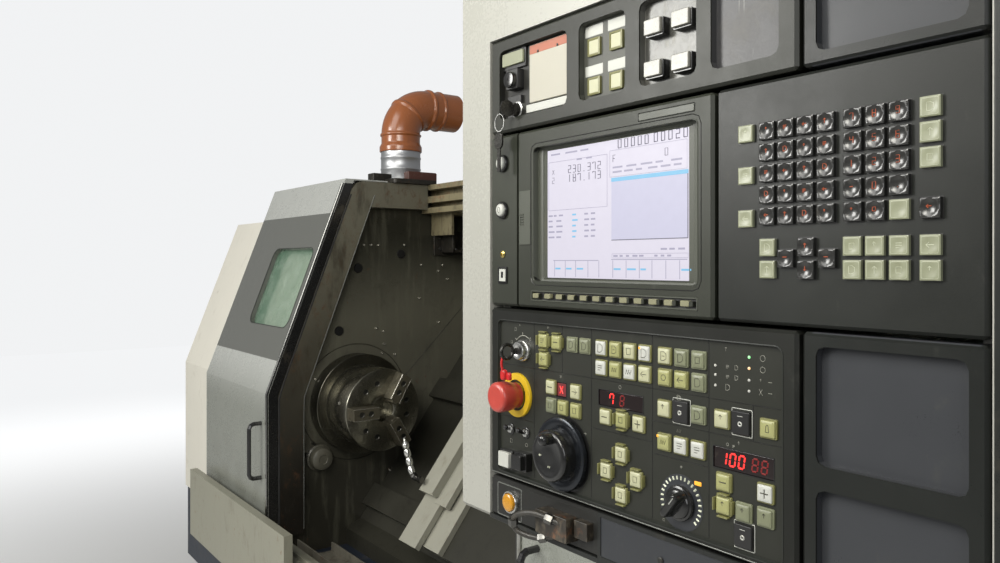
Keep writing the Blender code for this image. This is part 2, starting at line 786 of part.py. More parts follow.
def jamb_outline():
    """The jamb beside the opening: up the front, back along the slope and along the top."""
    outer_depth = DOOR_THICKNESS + DOOR_CLEARANCE
    inner_depth = outer_depth + JAMB_WIDTH
    low = SILL_BENCH_Z - SHEET + GAP
    top = ROOF_TOP_Z
    inner_top = top - JAMB_WIDTH
    end_y = ROOF_FRONT_Y - GAP
    corner_y = front_y(outer_depth, top)
    outer = [(front_y(outer_depth, low), low), (front_y(outer_depth, low), front_bend(outer_depth)),
             (front_y(outer_depth, top - JAMB_CORNER), top - JAMB_CORNER),
             (corner_y + JAMB_CORNER / 3, top - JAMB_CORNER / 4), (corner_y + JAMB_CORNER, top)]
    inner_y = front_y(inner_depth, low)
    inner = [(front_y(inner_depth, inner_top), inner_top), (inner_y, front_bend(inner_depth)), (inner_y, low)]
    return outer + [(end_y, top), (end_y, inner_top)] + inner


def make_walls():
    """The splash wall with its round opening, the far wall and the jamb on each."""
    outline = wall_outline(COVER_DEPTH)
    wall = plate([outline], "X", WALL_X - WALL_SHEET, WALL_X - GAP)
    wall = add_part("splash_wall", wall, WALL_STEEL)
    centre = Vector((WALL_X, SPINDLE_Y, SPINDLE_Z))
    reach = Vector((WALL_SHEET + OVERRUN, 0.0, 0.0))
    cut(wall, rod(centre - reach, centre + reach, CAP_RADIUS + GAP), groove_ring(centre))
    fuse(wall, *[wall_plug(*shares) for shares in PLUG_SHARES])
    jamb = plate([jamb_outline()], "X", WALL_X, OPENING_X)
    add_part("left_jamb", jamb, JAMB_BEIGE, smooth=False)
    far = add_part("right_wall", plate([outline], "X", FAR_WALL_X, FAR_WALL_X + WALL_SHEET), WALL_STEEL,
                   smooth=False)
    fuse(far, plate([jamb_outline()], "X", CLOSE_X, FAR_WALL_X + WALL_SHEET / 2))


def groove_ring(centre):
    """The ring that cuts the round groove of the cover plate."""
    inner = COVER_RING_RADIUS - GROOVE_WIDTH
    profile = [(inner, OVERRUN), (COVER_RING_RADIUS, OVERRUN), (COVER_RING_RADIUS, -GROOVE_DEPTH),
               (inner, -GROOVE_DEPTH)]
    return turned(profile, centre, (1.0, 0.0, 0.0), ROUND_SIDES, closed=True)


PLUG_SHARES = ((0.338, 0.555), (0.017, 0.465), (-0.118, 0.080))


def wall_place(across_share, up_share):
    """A place on the splash wall, in shares of its width and of its height over the round cover."""
    height = SPINDLE_Z + COVER_RING_RADIUS + up_share * WALL_SPAN_Z
    return Vector((WALL_X, SPINDLE_Y + across_share * WALL_SPAN_Y, height))


def wall_plug(across_share, up_share):
    """A round plug pressed into the splash wall."""
    place = wall_place(across_share, up_share)
    return rod(place - Vector((WALL_SHEET / 2, 0.0, 0.0)), place + Vector((PLUG_PROUD, 0.0, 0.0)),
               PLUG_RADIUS, SMALL_SIDES, PLUG_RADIUS - PLUG_PROUD / 2)


def make_work_light():
    """The round work light low on the wall, on its flat boss."""
    place = Vector((WALL_X, SPINDLE_Y + LIGHT_Y, LIGHT_Z))
    boss = LIGHT_RADIUS
    dome = LIGHT_RADIUS - LIGHT_PROUD / 5
    profile = [(0.0, LIGHT_PROUD), (dome / 2, LIGHT_PROUD - LIGHT_PROUD / 8), (dome, LIGHT_PROUD / 2),
               (dome, LIGHT_PROUD / 4), (boss, LIGHT_PROUD / 4), (boss, 0.0), (0.0, 0.0)]
    add_part("work_light", turned(profile, place, (1.0, 0.0, 0.0), SMALL_SIDES), JAMB_BEIGE)


def make_roof():
    """The roof beam with its rails over the back of the work room, its bracket and the rear wall."""
    back = COVER_BACK_Y
    recess = ROOF_FRONT_Y + ROOF_RECESS
    outline = [
        (ROOF_FRONT_Y, ROOF_TOP_Z), (ROOF_FRONT_Y, ROOF_TOP_Z - ROOF_LIP), (recess, ROOF_TOP_Z - ROOF_LIP),
        (recess, ROOF_RAIL_TOP_Z), (ROOF_FRONT_Y, ROOF_RAIL_TOP_Z), (ROOF_FRONT_Y, ROOF_RAIL_LOW_Z),
        (recess, ROOF_RAIL_LOW_Z), (recess, ROOF_BAND_TOP_Z), (ROOF_FRONT_Y, ROOF_BAND_TOP_Z),
        (ROOF_FRONT_Y, ROOF_LOW_Z), (back, ROOF_LOW_Z), (back, ROOF_TOP_Z),
    ]
    roof = add_part("roof_beam", plate([outline], "X", WALL_X + GAP, FAR_WALL_X - GAP), CREAM, smooth=False)
    wall_low = (WALL_X + GAP, REAR_WALL_Y, BASE_TOP_Z + GAP)
    wall_high = (FAR_WALL_X - GAP, REAR_WALL_Y + WALL_SHEET, ROOF_LOW_Z - GAP)
    add_part("rear_wall", block(wall_low, wall_high), WALL_STEEL, smooth=False)
    top = ROOF_LOW_Z
    x = WALL_X + GAP
    y = ROOF_FRONT_Y + ROOF_RECESS
    foot = [(y, top + SHEET), (y, top - BRACKET_HEIGHT), (y + BRACKET_THICKNESS, top - BRACKET_HEIGHT),
            (y + BRACKET_THICKNESS, top - BRACKET_THICKNESS), (y + BRACKET_HEIGHT, top - BRACKET_THICKNESS),
            (y + BRACKET_HEIGHT, top + SHEET)]
    fuse(roof, plate([foot], "X", x + SHEET, x + BRACKET_LENGTH))


# Doors

def window_turn(depth):
    """The matrix that puts a flat window piece on the door's slope."""
    middle_z = (WINDOW_LOW_Z + WINDOW_TOP_Z) / 2
    turn = Matrix.Rotation(-FRONT_SLOPE, 4, "X")
    return Matrix.Translation((0.0, front_y(depth, middle_z), middle_z)) @ turn


def window_outline(x0, grow):
    """The rounded outline of the window, grown by a margin."""
    half = (WINDOW_TOP_Z - WINDOW_LOW_Z) / math.cos(FRONT_SLOPE) / 2
    low = (x0 - grow, -half - grow)
    high = (x0 + WINDOW_WIDTH + grow, half + grow)
    return rounded_outline(low, high, WINDOW_CORNER + grow)


def window_piece(x0, grow, near, far):
    """A flat rounded piece in the door's slope, between two depths behind its face."""
    mesh = plate([window_outline(x0, grow)], "Y", near, far)
    mesh.transform(window_turn(0.0))
    return mesh


def make_door(side, x0, edge_x, inward):
    """One sliding door with its glass, handle and edge strip.

    x0 is the door's left edge, edge_x its closing edge and inward the way from it into the door.
    """
    origin = joint_origin(side + "_door_slide", (x0 + DOOR_WIDTH / 2, DOOR_Y, DOOR_BOTTOM_Z))
    low = DOOR_BOTTOM_Z
    outer = front_line(0.0, low, DOOR_TOP_Z)
    flange_y = front_y(0.0, DOOR_TOP_Z) + DOOR_FLANGE
    inner_top = DOOR_TOP_Z - DOOR_FLANGE_THICKNESS
    inner = front_line(DOOR_THICKNESS, low, inner_top)
    outline = outer + [(flange_y, DOOR_TOP_Z), (flange_y, inner_top)] + inner[::-1]
    mesh = plate([outline], "X", x0, x0 + DOOR_WIDTH)
    door = add_part(side + "_door", mesh, DOOR_GREY, origin, smooth=False)
    near_edge = edge_x + inward * (WINDOW_EDGE + STRIP_WIDTH)
    window_x = near_edge if inward > 0 else near_edge - WINDOW_WIDTH
    cut(door, window_piece(window_x, 0.0, -OVERRUN, DOOR_THICKNESS + OVERRUN),
        window_piece(window_x, WINDOW_REBATE, DOOR_THICKNESS / 2, DOOR_THICKNESS + OVERRUN))
    seat = DOOR_THICKNESS / 2 + GAP
    glass = window_piece(window_x, WINDOW_REBATE - GAP, seat, seat + GLASS_THICKNESS)
    add_part(side + "_window", glass, GLASS_GREEN, origin)
    make_edge_strip(side, edge_x, inward, origin)
    make_handle(side, edge_x + inward * HANDLE_EDGE, origin)


def make_edge_strip(side, edge_x, inward, origin):
    """The bright strip and seal that run up the closing edge, in front of the door's face."""
    near = -STRIP_PROUD
    far = -GAP
    line_out = front_line(near, DOOR_BOTTOM_Z, DOOR_TOP_Z - STRIP_WIDTH)
    line_in = front_line(far, DOOR_BOTTOM_Z, DOOR_TOP_Z - STRIP_WIDTH)
    x_pair = sorted((edge_x, edge_x + inward * STRIP_WIDTH))
    mesh = plate([line_out + line_in[::-1]], "X", x_pair[0], x_pair[1])
    add_part(side + "_edge_strip", mesh, BRIGHT_STEEL, origin, smooth=False)


def make_handle(side, x, origin):
    """The upright bow handle near the closing edge."""
    low = HANDLE_MIDDLE_Z - HANDLE_LENGTH / 2
    high = HANDLE_MIDDLE_Z + HANDLE_LENGTH / 2
    bend = HANDLE_RADIUS * 2
    face = DOOR_Y - GAP
    out = DOOR_Y - HANDLE_PROUD
    third = bend / 3
    points = [(x, face, low), (x, out + bend, low), (x, out + third, low + third), (x, out, low + bend),
              (x, out, high - bend), (x, out + third, high - third), (x, out + bend, high), (x, face, high)]
    add_part(side + "_handle", tube(points, HANDLE_RADIUS), BLACK_PLASTIC, origin)


def make_doors():
    """Both doors, parked open as far as they go."""
    make_door("left", OPENING_X - DOOR_WIDTH, OPENING_X, -1)
    make_door("right", CLOSE_X, CLOSE_X, 1)


# Headstock, spindle and drive

def make_headstock():
    """The headstock casting with its round nose cap through the splash wall."""
    x0 = WALL_X - HEAD_START
    x1 = WALL_X - WALL_SHEET - HEAD_RIB
    top = SPINDLE_Z + HEAD_TOP
    low = BASE_TOP_Z + GAP
    y0 = SPINDLE_Y - HEAD_HALF_WIDTH
    y1 = SPINDLE_Y + HEAD_HALF_WIDTH
    outline = [(y0, low), (y1, low), (y1, top - HEAD_CHAMFER), (y1 - HEAD_CHAMFER, top),
               (y0 + HEAD_CHAMFER, top), (y0, top - HEAD_CHAMFER)]
    casting = add_part("headstock_casting", plate([outline], "X", x0, x1), CAST_GREY)
    nose_end = WALL_X + CAP_FRONT
    axis_start = Vector((x1 - HEAD_RIB, SPINDLE_Y, SPINDLE_Z))
    fuse(casting, rod(axis_start, (nose_end, SPINDLE_Y, SPINDLE_Z), CAP_RADIUS))
    bore_start = Vector((x0 - OVERRUN, SPINDLE_Y, SPINDLE_Z))
    cut(casting, rod(bore_start, (nose_end + OVERRUN, SPINDLE_Y, SPINDLE_Z), running(SPINDLE_RADIUS)))


def make_spindle():
    """The hollow spindle with its pulley, and the chuck's cylinder behind it."""
    origin = joint_origin("spindle_axis", (WALL_X, SPINDLE_Y, SPINDLE_Z))
    nose = WALL_X + CAP_FRONT + GAP
    rear = WALL_X - SPINDLE_REAR
    pulley_front = WALL_X - PULLEY_START
    pulley_rear = pulley_front - PULLEY_WIDTH
    cylinder_end = rear - CYLINDER_LENGTH
    shoulder = rear - CYLINDER_LENGTH * 3 / 4
    profile = [(SPINDLE_BORE, nose), (SPINDLE_RADIUS, nose), (SPINDLE_RADIUS, pulley_front),
               (PULLEY_RADIUS, pulley_front), (PULLEY_RADIUS, pulley_rear), (SPINDLE_RADIUS, pulley_rear),
               (SPINDLE_RADIUS, rear), (CYLINDER_RADIUS, rear), (CYLINDER_RADIUS, shoulder),
               (CYLINDER_RADIUS / 2, shoulder), (CYLINDER_RADIUS / 2, cylinder_end),
               (SPINDLE_BORE, cylinder_end)]
    start = (0.0, SPINDLE_Y, SPINDLE_Z)
    add_part("spindle", turned(profile, start, (1.0, 0.0, 0.0), closed=True), GROUND_STEEL, origin)


def jaw_angles():
    """The direction of each jaw about the spindle, from -Y upwards."""
    return [JAW_TURN + 2 * math.pi * index / JAW_COUNT for index in range(JAW_COUNT)]


def about_spindle(angle):
    """The matrix that turns a shape made along +Y to an angle about the spindle."""
    return Matrix.Translation((WALL_X, SPINDLE_Y, SPINDLE_Z)) @ Matrix.Rotation(angle, 4, "X")


def make_chuck():
    """The chuck body with its bore, slots and bolt holes, and three stepped jaws."""
    back = WALL_X + CAP_FRONT + 2 * GAP
    face = WALL_X + CHUCK_FACE
    step = back + CHUCK_BACK
    profile = [(CHUCK_BORE, face), (CHUCK_RADIUS - CHUCK_CHAMFER, face), (CHUCK_RADIUS, face - CHUCK_CHAMFER),
               (CHUCK_RADIUS, step), (CHUCK_BACK_RADIUS, step), (CHUCK_BACK_RADIUS, back), (CHUCK_BORE, back)]
    mesh = turned(profile, (0.0, SPINDLE_Y, SPINDLE_Z), (1.0, 0.0, 0.0), CHUCK_SIDES, closed=True)
    body = add_part("chuck_body", mesh, CHUCK_STEEL, "spindle_axis")
    half = JAW_WIDTH / 2 + GAP
    tools = []
    for angle in jaw_angles():
        slot = block((CHUCK_FACE - JAW_SLOT_DEPTH, 0.0, -half),
                     (CHUCK_FACE + OVERRUN, CHUCK_RADIUS + OVERRUN, half))
        slot.transform(about_spindle(angle))
        cut(body, slot)
        for turn in (math.pi / JAW_COUNT - FACE_BOLT_TURN, math.pi / JAW_COUNT + FACE_BOLT_TURN):
            hole = rod((CHUCK_FACE - FACE_BOLT_DEPTH, FACE_BOLT_CIRCLE, 0.0),
                       (CHUCK_FACE + OVERRUN, FACE_BOLT_CIRCLE, 0.0), FACE_BOLT_RADIUS, SCREW_SIDES)
            hole.transform(about_spindle(angle + turn))
            tools.append(hole)
    cut(body, gathered(tools))
    for index, angle in enumerate(jaw_angles()):
        make_jaw(index + 1, angle)


def make_jaw(number, angle):
    """One jaw: a stepped block in its slot with two bolt bores."""
    direction = Vector((0.0, math.cos(angle), math.sin(angle)))
    centre = Vector((WALL_X + CHUCK_FACE, SPINDLE_Y, SPINDLE_Z))
    origin = joint_origin(f"jaw_{number}_slide", centre + direction * JAW_INNER, "spindle_axis")
    foot = CHUCK_FACE - JAW_SLOT_DEPTH + GAP
    top = CHUCK_FACE + JAW_PROUD
    outline = [(foot, JAW_INNER), (foot, JAW_OUTER), (top - JAW_STEP, JAW_OUTER),
               (top - JAW_STEP, JAW_STEP_RADIUS), (top, JAW_STEP_RADIUS - JAW_STEP / 3), (top, JAW_INNER)]
    mesh = plate([outline], "Z", -JAW_WIDTH / 2, JAW_WIDTH / 2)
    mesh.transform(about_spindle(angle))
    jaw = add_part(f"jaw_{number}", mesh, CHUCK_STEEL, origin, smooth=False)
    holes = []
    for share in JAW_BOLT_SHARES:
        reach = JAW_INNER + share * (JAW_OUTER - JAW_INNER)
        start = (top - JAW_STEP - JAW_BOLT_DEPTH, reach, 0.0)
        hole = rod(start, (top + OVERRUN, reach, 0.0), JAW_BOLT_RADIUS, SCREW_SIDES)
        hole.transform(about_spindle(angle))
        holes.append(hole)
    cut(jaw, gathered(holes))


def make_drive():
    """The spindle motor behind the headstock, its pulley and the belt."""
    y = SPINDLE_Y + MOTOR_BACK
    z = SPINDLE_Z - MOTOR_DROP
    face = WALL_X - PULLEY_START + GAP
    front = face + PULLEY_WIDTH
    low = BASE_TOP_Z + GAP
    motor = rod((front, y, z), (front + MOTOR_LENGTH, y, z), MOTOR_RADIUS)
    motor = add_part("spindle_motor", motor, CAST_GREY)
    foot_y = MOTOR_RADIUS - MOTOR_BASE
    fuse(motor, block((front + MOTOR_BASE, y - foot_y, low),
                      (front + MOTOR_LENGTH - MOTOR_BASE, y + foot_y, z)))
    origin = joint_origin("motor_axis", (face, y, z))
    rear = face - PULLEY_WIDTH - GAP
    profile = [(0.0, front - GAP), (MOTOR_SHAFT_RADIUS, front - GAP), (MOTOR_SHAFT_RADIUS, face - GAP),
               (MOTOR_PULLEY_RADIUS, face - GAP), (MOTOR_PULLEY_RADIUS, rear), (0.0, rear)]
    add_part("motor_pulley", turned(profile, (0.0, y, z), (1.0, 0.0, 0.0)), GROUND_STEEL, origin)
    make_belt(y, z, rear, face)


def belt_loop(y, z, grow):
    """The belt's outline round both pulleys, as points."""
    big = PULLEY_RADIUS + GAP + grow
    small = MOTOR_PULLEY_RADIUS + GAP + grow
    away = Vector((y - SPINDLE_Y, z - SPINDLE_Z))
    heading = math.atan2(away.y, away.x)
    lean = math.acos((big - small) / away.length)
    points = []
    for step in range(BELT_STEP_COUNT + 1):
        angle = heading + lean + (2 * math.pi - 2 * lean) * step / BELT_STEP_COUNT
        points.append((SPINDLE_Y + big * math.cos(angle), SPINDLE_Z + big * math.sin(angle)))
    for step in range(BELT_STEP_COUNT + 1):
        angle = heading - lean + 2 * lean * step / BELT_STEP_COUNT
        points.append((y + small * math.cos(angle), z + small * math.sin(angle)))
    return points


def make_belt(y, z, rear, face):
    """The drive belt round both pulleys."""
    slack = PULLEY_RADIUS * (1.0 / math.cos(math.pi / (2 * BELT_STEP_COUNT)) - 1.0)
    loops = [belt_loop(y, z, slack + BELT_THICKNESS), belt_loop(y, z, slack)]
    edge = PULLEY_WIDTH / 8
    add_part("drive_belt", plate(loops, "X", rear + edge, face - edge), RUBBER)


# Bed, carriage, turret and tailstock

def make_bed():
    """The slant bed casting with its two raised ways."""
    plane = WAY_PLANE
    raised = WAY_PLANE + WAY_HEIGHT
    slope = slant_outline([
        (BED_LOW, plane), (LOWER_WAY, plane), (LOWER_WAY, raised), (LOWER_WAY + WAY_WIDTH, raised),
        (LOWER_WAY + WAY_WIDTH, plane), (UPPER_WAY, plane), (UPPER_WAY, raised),
        (UPPER_WAY + WAY_WIDTH, raised), (UPPER_WAY + WAY_WIDTH, plane), (BED_HIGH, plane)])
    low = BASE_TOP_Z + GAP
    back = REAR_WALL_Y - BED_INSET
    front = slope[0][0] - BED_FRONT
    front_top = slope[0][1] - BED_FRONT / 2
    outline = slope + [(back, slope[-1][1]), (back, low), (front, low), (front, front_top)]
    mesh = plate([outline], "X", WALL_X + GAP, FAR_WALL_X - GAP)
    add_part("slant_bed", mesh, CAST_GREY, smooth=False)


def make_carriage():
    """The carriage on the ways, with its cream way covers and the coolant nozzle."""
    x0 = WALL_X + CARRIAGE_START
    x1 = x0 + CARRIAGE_LENGTH
    origin = joint_origin("carriage_slide", slant(0.0, CARRIAGE_TOP, x0))
    raised = WAY_PLANE + WAY_HEIGHT + GAP
    lip = WAY_PLANE + GAP
    low_gap = LOWER_WAY - GAP
    outline = slant_outline([
        (CARRIAGE_LOW, CARRIAGE_TOP), (CARRIAGE_LOW, lip), (low_gap, lip), (low_gap, raised),
        (UPPER_WAY + WAY_WIDTH + GAP, raised), (UPPER_WAY + WAY_WIDTH + GAP, lip),
        (UPPER_WAY + WAY_WIDTH + CARRIAGE_GIB, lip), (CARRIAGE_HIGH, raised), (CARRIAGE_HIGH, CARRIAGE_TOP)])
    add_part("carriage", plate([outline], "X", x0, x1), CAST_GREY, origin, smooth=False)
    make_way_covers(x0, origin)
    make_nozzle(origin)


def make_way_covers(carriage_x, origin):
    """The stepped cream covers that travel in front of the carriage."""
    x0 = WALL_X + APRON_START
    first = slant_block((x0, x0 + APRON_WIDTH), (APRON_LOW, APRON_HIGH),
                        (APRON_PLANE - APRON_SHEET, APRON_PLANE))
    covers = add_part("way_covers", first, CREAM, origin, smooth=False)
    lip_x = x0 + APRON_WIDTH
    lip = slant_block((lip_x - APRON_LIP, lip_x), (APRON_LOW + SHEET, APRON_HIGH - SHEET),
                      (APRON_PLANE - SECOND_DROP, APRON_PLANE + SHEET))
    second_top = APRON_PLANE - SECOND_DROP / 2
    second = slant_block((lip_x - SHEET, lip_x + SECOND_WIDTH), (SECOND_LOW, APRON_HIGH - SECOND_WIDTH),
                         (second_top - APRON_SHEET, second_top))
    third_top = APRON_PLANE - THIRD_DROP
    third = slant_block((x0 + SHEET, x0 + THIRD_WIDTH), (THIRD_LOW, THIRD_HIGH),
                        (third_top - APRON_SHEET, third_top))
    back_top = CARRIAGE_TOP + APRON_SHEET
    back = slant_block((x0 + APRON_LIP, carriage_x - GAP),
                       (THIRD_LOW + APRON_SHEET, APRON_HIGH - APRON_SHEET),
                       (WAY_PLANE + WAY_HEIGHT + APRON_SHEET, back_top))
    post = slant_block((lip_x - APRON_LIP - SHEET, lip_x + SHEET),
                       (THIRD_HIGH - APRON_SHEET, APRON_HIGH - APRON_LIP),
                       (back_top - SHEET, second_top - SHEET))
    web = slant_block((x0 + APRON_LIP + SHEET, x0 + THIRD_WIDTH - SHEET),
                      (THIRD_LOW + 2 * APRON_SHEET, THIRD_HIGH), (back_top - SHEET, third_top - SHEET))
    fuse(covers, lip, second, third, back, post, web)


def make_nozzle(origin):
    """The segmented coolant nozzle on its elbow, aimed at the jaws."""
    x = WALL_X + APRON_START + APRON_LIP
    base = slant(APRON_LOW + APRON_LIP, APRON_PLANE + GAP, x)
    normal = Vector((0.0, -math.sin(BED_SLOPE), math.cos(BED_SLOPE)))
    elbow = base + normal * NOZZLE_BEAD
    meshes = [rod(base, elbow, NOZZLE_RADIUS, SCREW_SIDES)]
    heading = Vector(NOZZLE_HEADING).normalized()
    place = elbow - heading * NOZZLE_RADIUS
    for index in range(NOZZLE_BEADS):
        end = place + heading * NOZZLE_BEAD
        last = index == NOZZLE_BEADS - 1
        tip = NOZZLE_TIP_RADIUS if last else NOZZLE_RADIUS - SHEET / 2
        meshes.append(rod(place, end, NOZZLE_RADIUS, SCREW_SIDES, tip))
        place = end - heading * (SHEET / 2)
        heading = (Matrix.Rotation(NOZZLE_TURN / NOZZLE_BEADS, 4, "Y") @ heading).normalized()
    nozzle = add_part("coolant_nozzle", meshes[0], BRIGHT_STEEL, origin)
    fuse(nozzle, *meshes[1:])


def make_turret():
    """The cross slide with its turret head, and the disc with its tool holders."""
    disc_x = WALL_X + CARRIAGE_START
    head_x = disc_x + TURRET_THICKNESS + GAP
    x0 = head_x + CROSS_INSET / 2
    x1 = disc_x + CARRIAGE_LENGTH - CROSS_INSET
    axis = slant(TURRET_MIDDLE, 0.0, disc_x)
    slide = joint_origin("cross_slide_slide", slant(CROSS_LOW, CARRIAGE_TOP, x0), "carriage_slide")
    base = slant_block((x0, x1), (CROSS_LOW, CROSS_HIGH), (CARRIAGE_TOP + GAP, CROSS_TOP), CROSS_DOVETAIL / 4)
    cross = add_part("cross_slide", base, CAST_GREY, slide)
    head = slant_block((head_x, x1 + CROSS_INSET), (HEAD_LOW, HEAD_HIGH),
                       (CROSS_TOP - CROSS_DOVETAIL, HEAD_REACH), HEAD_BEVEL)
    fuse(cross, head)
    spin = joint_origin("turret_axis", axis, "cross_slide_slide")
    outline = []
    for index in range(TURRET_STATIONS):
        angle = 2 * math.pi * (index + 0.5) / TURRET_STATIONS
        outline.append((axis.y + TURRET_RADIUS * math.cos(angle), axis.z + TURRET_RADIUS * math.sin(angle)))
    disc = plate([outline], "X", axis.x, axis.x + TURRET_THICKNESS)
    turret = add_part("turret_disc", disc, GROUND_STEEL, spin, smooth=False)
    holders, tools = holder_meshes(axis)
    fuse(turret, gathered(holders), gathered(tools))


def holder_meshes(axis):
    """Every second station's tool holder, and their square tools."""
    flat = TURRET_RADIUS * math.cos(math.pi / TURRET_STATIONS)
    middle = TURRET_THICKNESS / 2
    holders = []
    tools = []
    for station in range(0, TURRET_STATIONS, 2):
        holder = block((middle - HOLDER_LENGTH / 2, flat - SHEET, -HOLDER_WIDTH / 2),
                       (middle + HOLDER_LENGTH / 2, flat + HOLDER_HEIGHT, HOLDER_WIDTH / 2))
        tool = block((middle - TOOL_REACH - HOLDER_LENGTH / 2, flat + SHEET, -TOOL_SIZE / 2),
                     (middle - HOLDER_LENGTH / 2 + SHEET, flat + SHEET + TOOL_SIZE, TOOL_SIZE / 2))
        turn = Matrix.Rotation(2 * math.pi * station / TURRET_STATIONS, 4, "X")
        matrix = Matrix.Translation(axis) @ turn
        holder.transform(matrix)
        tool.transform(matrix)
        holders.append(holder)
        tools.append(tool)
    return holders, tools


def make_tailstock():
    """The tailstock on the ways, its quill and the live centre."""
    x0 = WALL_X + TAIL_START
    x1 = x0 + TAIL_LENGTH
    origin = joint_origin("tailstock_slide", slant(0.0, CARRIAGE_TOP, x0))
    raised = WAY_PLANE + WAY_HEIGHT + GAP
    lip = WAY_PLANE + GAP
    half = TAIL_HALF_WIDTH
    outline = slant_outline([
        (LOWER_WAY - CARRIAGE_GIB, CARRIAGE_TOP), (LOWER_WAY - CARRIAGE_GIB, lip), (LOWER_WAY - GAP, lip),
        (LOWER_WAY - GAP, raised), (UPPER_WAY + WAY_WIDTH + GAP, raised), (UPPER_WAY + WAY_WIDTH + GAP, lip),
        (UPPER_WAY + WAY_WIDTH + CARRIAGE_GIB, lip), (UPPER_WAY + WAY_WIDTH + CARRIAGE_GIB, CARRIAGE_TOP),
        (half + TAIL_CHAMFER, CARRIAGE_TOP), (half, CARRIAGE_TOP + TAIL_CHAMFER),
        (half, TAIL_TOP - TAIL_CHAMFER), (half - TAIL_CHAMFER, TAIL_TOP), (TAIL_CHAMFER - half, TAIL_TOP),
        (-half, TAIL_TOP - TAIL_CHAMFER),
        (-half, CARRIAGE_TOP + TAIL_CHAMFER), (-half - TAIL_CHAMFER, CARRIAGE_TOP)])
    body = add_part("tailstock", plate([outline], "X", x0, x1), CAST_GREY, origin, smooth=False)
    bore_end = (x0 + QUILL_TAIL + OVERRUN, SPINDLE_Y, SPINDLE_Z)
    cut(body, rod((x0 - OVERRUN, SPINDLE_Y, SPINDLE_Z), bore_end, QUILL_RADIUS + GAP))
    make_quill(x0)


def make_quill(x0):
    """The quill and the live centre in its nose."""
    tip = x0 - QUILL_REACH
    slide = joint_origin("quill_slide", (tip, SPINDLE_Y, SPINDLE_Z), "tailstock_slide")
    bore = running(CENTRE_SHANK_RADIUS, SMALL_SIDES)
    start = (0.0, SPINDLE_Y, SPINDLE_Z)
    end = x0 + QUILL_TAIL
    socket_end = tip + CENTRE_SHANK + GAP
    profile = [(0.0, end), (QUILL_RADIUS, end), (QUILL_RADIUS, tip), (bore, tip), (bore, socket_end),
               (0.0, socket_end)]
    add_part("quill", turned(profile, start, (1.0, 0.0, 0.0)), GROUND_STEEL, slide)
    spin = joint_origin("centre_axis", (tip, SPINDLE_Y, SPINDLE_Z), "quill_slide")
    face = tip - GAP
    body_end = face - CENTRE_BODY
    shank_end = tip + CENTRE_SHANK
    profile = [(0.0, shank_end), (CENTRE_SHANK_RADIUS, shank_end), (CENTRE_SHANK_RADIUS, face),
               (CENTRE_RADIUS, face), (CENTRE_RADIUS, body_end), (CENTRE_RADIUS / 2, body_end),
               (0.0, body_end - CENTRE_POINT)]
    add_part("live_centre", turned(profile, start, (1.0, 0.0, 0.0), SMALL_SIDES), BRIGHT_STEEL, spin)


# Duct and cabinet

def make_duct():
    """The galvanised collar on the cover and the orange elbow that leads back."""
    x = WALL_X - DUCT_LEFT
    y = duct_y()
    z0 = ROOF_TOP_Z + GAP
    inner = DUCT_RADIUS - DUCT_SHEET
    rim = DUCT_RADIUS + COLLAR_FLANGE
    profile = [(inner, COLLAR_HEIGHT), (DUCT_RADIUS, COLLAR_HEIGHT), (DUCT_RADIUS, COLLAR_FLANGE_HEIGHT),
               (rim, COLLAR_FLANGE_HEIGHT), (rim, 0.0), (inner, 0.0)]
    add_part("duct_collar", turned(profile, (x, y, z0), (0.0, 0.0, 1.0), closed=True), GALVANISED)
    make_elbow(x, y, z0 + COLLAR_HEIGHT + GAP)


def make_elbow(x, y, z):
    """The orange elbow: a ribbed socket, a bend in facets and a ribbed outlet."""
    bend = z + SOCKET_HEIGHT
    top = bend + ELBOW_BEND
    rib = SOCKET_RADIUS / DUCT_RADIUS
    points = [(x, y, z), (x, y, z + DUCT_SHEET), (x, y, bend - 2 * DUCT_SHEET), (x, y, bend - DUCT_SHEET)]
    scales = [rib, rib, rib, 1.0]
    for step in range(1, ELBOW_STEPS + 1):
        angle = math.pi / 2 * step / ELBOW_STEPS
        points.append((x, y + ELBOW_BEND * (1.0 - math.cos(angle)), bend + ELBOW_BEND * math.sin(angle)))
        scales.append(1.0)
    outlet = y + ELBOW_BEND
    for share, scale in OUTLET_SHARES:
        points.append((x, outlet + share * ELBOW_RUN, top))
        scales.append(scale * rib if scale > 1.0 else 1.0)
    add_part("duct_elbow", tube(points, DUCT_RADIUS, DUCT_RESOLUTION, scales), DUCT_ORANGE)


def make_cabinet():
    """The electrical cabinet on the back with its hinged door."""
    x0 = WALL_X + CABINET_START
    x1 = WALL_X + CABINET_END
    back = BACK_Y - CABINET_DOOR - GAP
    low = (x0, BASE_BACK_Y, CABINET_LOW_Z)
    high = (x1, back, CABINET_TOP_Z)
    add_part("electrical_cabinet", block(low, high), CREAM, smooth=False)
    door_x0 = (x0 + x1) / 2 - CABINET_DOOR_WIDTH / 2
    door_x1 = door_x0 + CABINET_DOOR_WIDTH
    axis = (door_x1, back + GAP + CABINET_DOOR, CABINET_LOW_Z)
    origin = joint_origin("cabinet_door_hinge", axis)
    low = (door_x0, back + GAP, CABINET_LOW_Z + CABINET_DOOR_EDGE)
    high = (door_x1, BACK_Y, CABINET_TOP_Z - CABINET_DOOR_EDGE)
    add_part("cabinet_door", block(low, high, CABINET_DOOR / 8), CREAM, origin, smooth=False)


# Console

def console_place(across, height, proud=0.0):
    """A point on the console's face, across from its left edge and at a height."""
    return Vector((PANEL_X + across, PANEL_Y - proud, height))


